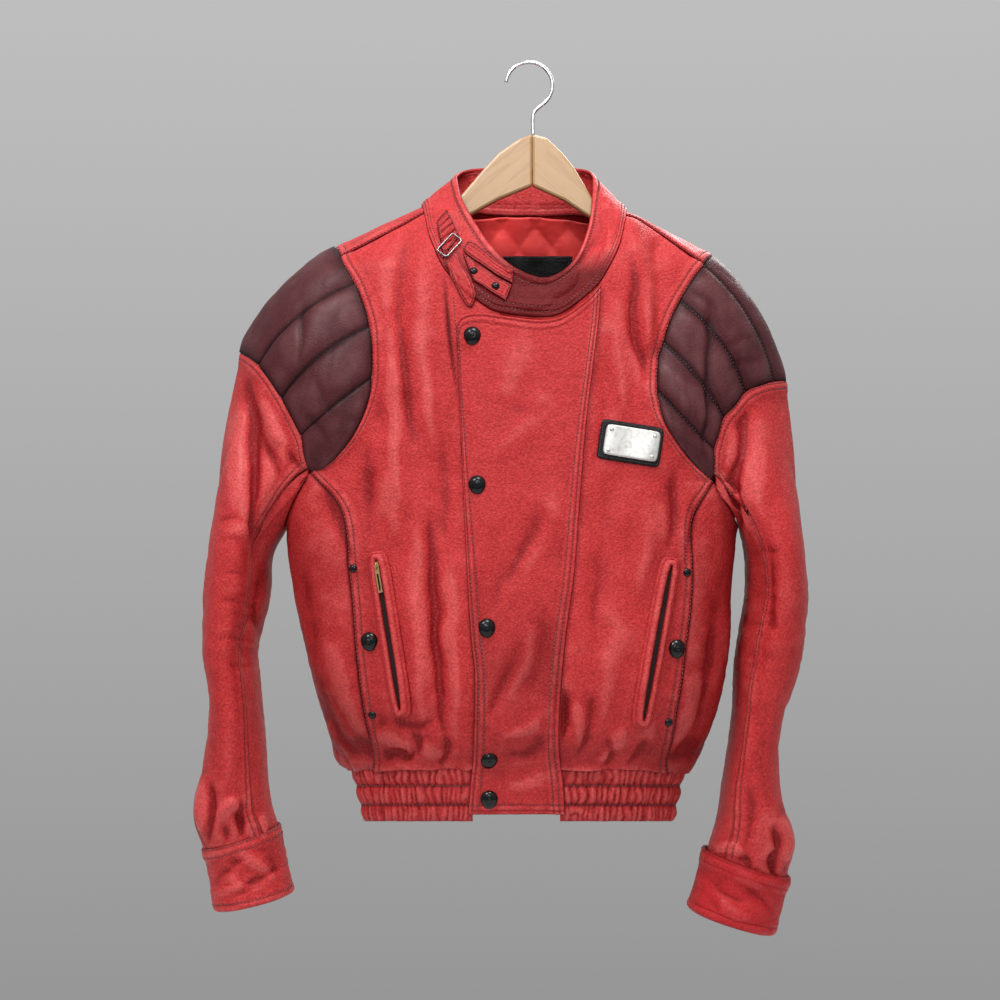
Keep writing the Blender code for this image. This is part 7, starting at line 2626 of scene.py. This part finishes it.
@dataclass
class ChestBadge:
    """Blank metal plate riveted to a stitched leather backing."""

    sewing: Stitching
    backing_centre: tuple[float, float] = (104.3, -390.5)
    plate_centre: tuple[float, float] = (105.8, -390.3)
    tilt: float = -9.0
    backing_size: tuple[float, float] = (65.0, 41.0)
    plate_size: tuple[float, float] = (56.5, 31.5)
    rivet_in: tuple[float, float] = (4.2, 4.2)
    rivet: Points = ((0.05, 1.2), (1.1, 1.0), (1.8, 0.5), (2.1, -0.1))
    rivet_sides: int = 16
    rounding: float = 0.06

    def place(self, centre: Sequence[float], size: Sequence[float], columns: int,
              rows: int) -> tuple[Array, Array]:
        """x and z of a grid over a tilted rectangle, rows from its upper edge down."""
        turn = math.radians(self.tilt)
        u, v = np.meshgrid(np.linspace(-1, 1, columns), np.linspace(1, -1, rows))
        pull = 1 - self.rounding * (u * v) ** 12
        along, up = u * pull * size[0] / 2, v * pull * size[1] / 2
        return (centre[0] + along * math.cos(turn) - up * math.sin(turn),
                centre[1] + along * math.sin(turn) + up * math.cos(turn))

    def build(self, tree: BVHTree) -> None:
        """Build the backing, the plate and its rivets."""
        flat = self.place(self.backing_centre, self.backing_size, 66, 42)
        grid = smoothed(laid_on(tree, *flat), 6)
        normals = grid_normals(grid)
        sides = four_sides(grid)
        edge = np.minimum.reduce(list(sides.values()))
        relief = 2.4 - 1.0 * hump(edge, 0, 0.8) - 0.35 * hump(edge, 2.2, 0.6)
        cloth = Cloth("badge_backing", grid, normals, relief, 0 * relief)
        for side, away in sides.items():
            path, path_normals = cloth.line(side, 2.2, away)
            self.sewing.row(path[2:-2], path_normals[2:-2])
        obj = cloth.make(Finish.BLACK, 1.6)
        finish_piece(obj, "black_leather", "chest_plate_backing")
        tree = cloth.tree()
        grid = smoothed(laid_on(tree, *self.place(self.plate_centre, self.plate_size, 50, 30)), 8)
        normals = grid_normals(grid)
        edge = np.minimum.reduce(list(four_sides(grid).values()))
        relief = 1.45 - 0.5 * hump(edge, 0, 0.7)
        plate = Cloth("badge_plate", grid, normals, relief, 0 * relief)
        obj = plate.make(Finish.PLATE, 1.2)
        finish_piece(obj, "steel", "chest_plate")
        self.rivets(plate.tree())

    def rivets(self, tree: BVHTree) -> None:
        """Put a small rivet in each corner."""
        size = [side - 2 * gap for side, gap in zip(self.plate_size, self.rivet_in)]
        x0, z0 = self.place(self.plate_centre, size, 2, 2)
        points, faces = [], []
        for x, z in zip(x0.ravel(), z0.ravel()):
            point, normal = seat_on(tree, x, z, 1.2)
            up = unit(np.array([0, 0, 1.0]) - normal * normal[2])
            across = np.cross(up, normal)
            start, sides = len(points), self.rivet_sides
            for radius, height in self.rivet:
                for turn in np.arange(sides) * 2 * math.pi / sides:
                    points.append(point + normal * height + across * radius * math.cos(turn)
                                  + up * radius * math.sin(turn))
            for low in range(start, len(points) - sides, sides):
                faces += [[low + j, low + sides + j, low + sides + (j + 1) % sides,
                           low + (j + 1) % sides] for j in range(sides)]
            faces += [[start + j for j in range(sides)],
                      [len(points) - 1 - j for j in range(sides)]]
        obj = mesh_object("badge_rivets", np.array(points), faces, Finish.PLATE)
        face_outward(obj)
        finish_piece(obj, "steel")


# ---- lining and hanger ---------------------------------------------------------------------------

@dataclass
class NeckLining:
    """Diamond-quilted lining behind the neck, with a blank label sewn on it."""

    sewing: Stitching
    label_sewing: Stitching
    inside_point: Sequence[float] = (-11.0, -2300.0, -230.0)
    sides: tuple[float, float] = (-90.0, 70.0)
    low: float = -318.0
    top: float = -152.0
    drop: float = 8.0
    diamond: tuple[float, float] = (34.0, 46.0)
    puff: float = 2.6
    samples: int = 81
    label: Sequence[float] = (-26.0, 45.0, -192.0, -235.0)
    flat: tuple[float, float] = (0.167, 0.173)

    def build(self, tree: BVHTree) -> None:
        """Build the lining and the label.

        Args:
            tree: Inner side of the back.
        """
        left, right = self.sides
        x0 = np.linspace(left, right, self.samples)[None, :]
        middle = (left + right) / 2
        top = self.top - self.drop * (np.abs(x0 - middle) / (right - middle)) ** 2
        share = np.linspace(0, 1, self.samples)[:, None]
        z0 = top + (self.low - top) * share
        grid = smoothed(laid_on(tree, x0 + 0 * z0, z0, self.inside_point), 12)
        normals = grid_normals(grid)
        x0 = x0 + 0 * z0
        a = (x0 - middle) / self.diamond[0] + z0 / self.diamond[1]
        b = (x0 - middle) / self.diamond[0] - z0 / self.diamond[1]
        lobes = np.abs(np.sin(math.pi * a)) * np.abs(np.sin(math.pi * b))
        relief = 2.1 + self.puff * lobes ** 0.7 + 0.6 * noise(grid, 14.0, 95)
        relief += 0.9 * (1 - lobes) * (puckers(grid, 7.0, 96) - 0.5)
        # Painted shade along the quilting lines.
        shade = 0.8 * np.exp(-(np.minimum(np.abs(np.sin(math.pi * a)),
                                          np.abs(np.sin(math.pi * b))) / 0.06) ** 2)
        cloth = Cloth("quilted_neck_lining", grid, normals, relief, shade)
        obj = cloth.make(Finish.LINING, 1.2)
        finish_piece(obj, "red_lining", "neck_lining")
        self.sew_label(cloth.tree())

    def sew_label(self, tree: BVHTree) -> None:
        """Build the blank label and the double line sewn round it."""
        left, right, top, low = self.label
        x0, z0 = np.meshgrid(np.linspace(left, right, 50), np.linspace(top, low, 34))
        grid = smoothed(laid_on(tree, x0, z0, self.inside_point), 10)
        normals = grid_normals(grid)
        sides = four_sides(grid)
        edge = np.minimum.reduce(list(sides.values()))
        relief = 1.9 - 0.5 * hump(edge, 0, 0.6)
        cloth = Cloth("blank_neck_label", grid, normals, relief, 0 * relief)
        for inset in (1.6, 4.2):
            for side, away in sides.items():
                path, path_normals = cloth.line(side, inset, away)
                self.label_sewing.row(path[2:-2], path_normals[2:-2])
        obj = cloth.make(Finish.BLACK, 0.8)
        finish_piece(obj, "black_leather", "neck_label")


@dataclass
class Hanger:
    """Wire hook of the wooden hanger; the arms are the frame's own."""

    radius: float = 24.0
    wire: float = 4.0
    stem_x: float = 4.0
    foot: float = -73.3

    def build(self) -> None:
        """Build the hook and finish the arms."""
        start, stop = math.radians(172), math.radians(-58)
        centre = self.wire / 2 - self.radius
        bend = [(self.radius * math.cos(a), 0, centre + self.radius * math.sin(a))
                for a in np.linspace(start, stop, 70)]
        stem = spaced([bend[-1], (7.0, 0, -47.5), (self.stem_x, 0, -54.0),
                       (self.stem_x, 0, self.foot)], 30)
        obj = tube("wire_hook", np.vstack([bend, stem[1:]]), self.wire / 2, Finish.CHROME, sides=20)
        finish_piece(obj, "steel", "hanger_hook")
        for name, finish in (("right", Finish.WOOD_RIGHT), ("left", Finish.WOOD_LEFT)):
            dress_node(f"hanger_arm_{name}", finish)


def dress_node(node: str, finish: Finish) -> None:
    """Give a solid that stays the finish of its kind."""
    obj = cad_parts[node]
    obj.data.materials.clear()
    obj.data.materials.append(finish.material())


@dataclass
class Studio:
    """Pale floor, soft lights and the camera."""

    floor_level: float = -1.25
    lens: float = 80.4

    def build(self) -> None:
        """Set the scene round the jacket."""
        self.floor()
        self.lights()
        camera = bpy.data.cameras.new("camera")
        camera.lens, camera.sensor_width, camera.sensor_fit = self.lens, 36.0, "HORIZONTAL"
        camera.clip_end = 50.0
        viewer = bpy.data.objects.new("camera", camera)
        viewer.location = (-0.0299, -2.3, -0.449)
        viewer.rotation_euler = (math.pi / 2, 0, 0)
        bpy.context.scene.collection.objects.link(viewer)
        bpy.context.scene.camera = viewer

    def floor(self) -> None:
        """Lay a plain pale floor under the jacket."""
        size, low = 1.2, self.floor_level
        mesh = bpy.data.meshes.new("floor")
        mesh.from_pydata([(-size, -size, low), (size, -size, low), (size, size, low),
                          (-size, size, low)], [], [(0, 1, 2, 3)])
        g = Graph("floor_paint")
        speckle = g.noise(g.place(), 40.0)
        tint = g.blend(speckle, rgb(0.7, 0.7, 0.7), rgb(0.66, 0.66, 0.66))
        mesh.materials.append(g.finish({"Base Color": tint, "Roughness": 0.8}))
        floor = bpy.data.objects.new("floor", mesh)
        bpy.context.scene.collection.objects.link(floor)

    def lights(self) -> None:
        """Hang large soft lights and light the air, brighter from above than from below."""
        world = bpy.data.worlds.new("studio_air")
        world.use_nodes = True
        nodes, links = world.node_tree.nodes, world.node_tree.links
        spot, split, rise = (nodes.new(f"ShaderNode{kind}")
                             for kind in ("TexCoord", "SeparateXYZ", "MapRange"))
        for socket, value in (("From Min", -0.6), ("From Max", 0.8), ("To Min", 0.12),
                              ("To Max", 0.8)):
            rise.inputs[socket].default_value = value
        links.new(spot.outputs["Generated"], split.inputs[0])
        links.new(split.outputs["Z"], rise.inputs["Value"])
        links.new(rise.outputs[0], nodes["Background"].inputs["Strength"])
        nodes["Background"].inputs["Color"].default_value = rgb(1.0, 1.0, 1.0)
        bpy.context.scene.world = world
        bpy.context.scene.view_settings.view_transform = "Standard"
        for name, spot, size, power in (("key", (-1.3, -1.6, 1.7), 0.8, 47.0),
                                        ("front", (0.0, -2.6, 0.35), 0.7, 15.0),
                                        ("top", (0.3, -0.7, 1.4), 0.7, 26.0),
                                        ("rear", (0.8, 1.9, 1.0), 1.2, 24.0)):
            lamp = bpy.data.lights.new(name, "AREA")
            lamp.energy, lamp.size = power, size
            holder = bpy.data.objects.new(name, lamp)
            holder.location = spot
            aim = Vector((0, 0, -0.45)) - Vector(spot)
            holder.rotation_euler = aim.to_track_quat("-Z", "Y").to_euler()
            bpy.context.scene.collection.objects.link(holder)


# ---- the whole jacket ----------------------------------------------------------------------------

SLEEVES = {
    "right": ((-515, -297.5, 0, 31.5, 78, 0.28, 0, 2.3), (-545, -299.5, 0, 32.5, 78, 0.30, 0, 2.3),
              (-580, -304, 0, 29.5, 76, 0.30, 0, 2.3), (-605, -307, 0, 27, 74, 0.24, 0, 2.3),
              (-635, -303.5, 0, 25.5, 71, 0.16, 0, 2.3), (-696, -301.5, 0, 29.5, 64, 0.08, 2, 2.2),
              (-743, -303, 0, 34, 58, 0.05, 6, 2.2), (-772, -304, 0, 39, 54, 0.03, 12, 2.2),
              (-796, -296.5, 0, 38, 45, 0, 17, 2.1)),
    "left": ((-515, 251, -14, 29, 78, 0.12, 0, 2.3), (-545, 252, -12, 30, 78, 0.14, 0, 2.3),
             (-580, 249, -8, 32, 76, 0.14, 0, 2.3), (-605, 246, -5, 33, 74, 0.14, 0, 2.3),
             (-635, 241.5, -2, 30.5, 71, 0.12, 0, 2.3), (-665, 236, 0, 26, 68, 0.08, 1, 2.2),
             (-700, 231, 0, 25, 64, 0.05, 3, 2.2), (-745, 228, 0, 29, 58, 0.04, 8, 2.2),
             (-790, 231, 0, 38.5, 52, 0.02, 15, 2.2), (-824, 224, 0, 41, 45, 0, 19, 2.1))}
CUFFS = {
    "right": ((-796, -296, 0, 39, 46, 0, 17, 2.1), (-830, -289.5, 0, 40.5, 46, 0, 15, 2.1),
              (-861, -283, 0, 41, 46, 0, 13, 2.1)),
    "left": ((-824, 223.5, 0, 42, 46, 0, 19, 2.1), (-853, 216, 0, 42.5, 46, 0, 18, 2.1),
             (-880, 208, 0, 43, 46, 0, 17, 2.1))}
POCKETS = {"right": ((-157, -511), (-132.5, -664)), "left": ((146, -517), (117.5, -675))}
FLAP_SNAPS = ((-58.5, -279), (-53.5, -432.5), (-43.5, -580), (-41, -717), (-41, -757))
POCKET_SNAPS = ((-164.5, -594), (152.5, -601.5))
POCKET_RIVETS = ((-181.3, -519.6), (-161.5, -670.5), (162.7, -523.7), (143.6, -678))
COLLAR_STUDS = ((-57, -213), (-34.5, -228.5))


def main() -> None:
    """Build the jacket on its hanger, piece by piece."""
    red, maroon = Stitching("red_stitching"), Stitching("maroon_stitching", Finish.MAROON_THREAD)
    black = Stitching("black_stitching", Finish.BLACK_THREAD, 2.6, 1.9, 0.22)
    seams = {side.name: Seams(side, FINENESS) for side in (RIGHT, LEFT)}
    body = BodyPanels(seams, Neck(FINENESS), red)
    body.build()
    for side in (RIGHT, LEFT):
        cap = ShoulderCap(seams[side.name], maroon)
        cap.build()
        grid = cap.form()[0]
        sleeve = Sleeve(seams[side.name], SLEEVES[side.name], red)
        sleeve.build(unit(grid[-1] - grid[-2]))
        Cuff(sleeve, CUFFS[side.name]).build()
    flap = FrontFlap(red)
    flap_tree = flap.build()
    HemBand(seams, red, flap.free_edge[-1][0] - 1.0, flap.seam_edge[-1][0] + 1.0).build()
    collar = Collar(body.neck, red).build()
    fronts = [body.sheets[f"front_{name}"].surface() for name in ("right", "left")]
    collar_grid = collar.surface()
    skirt = collar_grid[-1:] + 4 * unit(collar_grid[-1:] - collar_grid[-3:-2])
    collar_grid = np.concatenate([collar_grid, skirt - 1.5 * collar.normals[-1:]])
    closed = np.concatenate([collar_grid, collar_grid[:, :1]], axis=1)
    straps = CollarStraps(red).build([closed] + fronts)
    sides = [body.sheets[f"side_{name}"].surface() for name in ("right", "left")]
    front_tree = tree_of(fronts + sides)
    Fasteners().build((("flap_snap", FLAP_SNAPS, flap_tree, True),
                       ("pocket_snap", POCKET_SNAPS, front_tree, True),
                       ("pocket_rivet", POCKET_RIVETS, front_tree, False),
                       ("collar_stud", COLLAR_STUDS, straps["collar_tab_foot"].tree(), False)))
    for name, (top, foot) in POCKETS.items():
        Pocket(name, top, foot, red).build(front_tree)
    for node in ("zip_slider", "zip_bail", "zip_pull"):
        dress_node(node, Finish.BRASS)
    ChestBadge(black).build(front_tree)
    NeckLining(red, black).build(tree_of([body.inner_back]))
    Hanger().build()
    for sewing, slot in ((red, "red_leather"), (maroon, "maroon_leather"),
                         (black, "black_leather")):
        sewing.make(slot)
    Studio().build()


if __name__ == "__main__":
    logging.basicConfig(level=logging.INFO, format="%(name)s %(message)s")
    main()
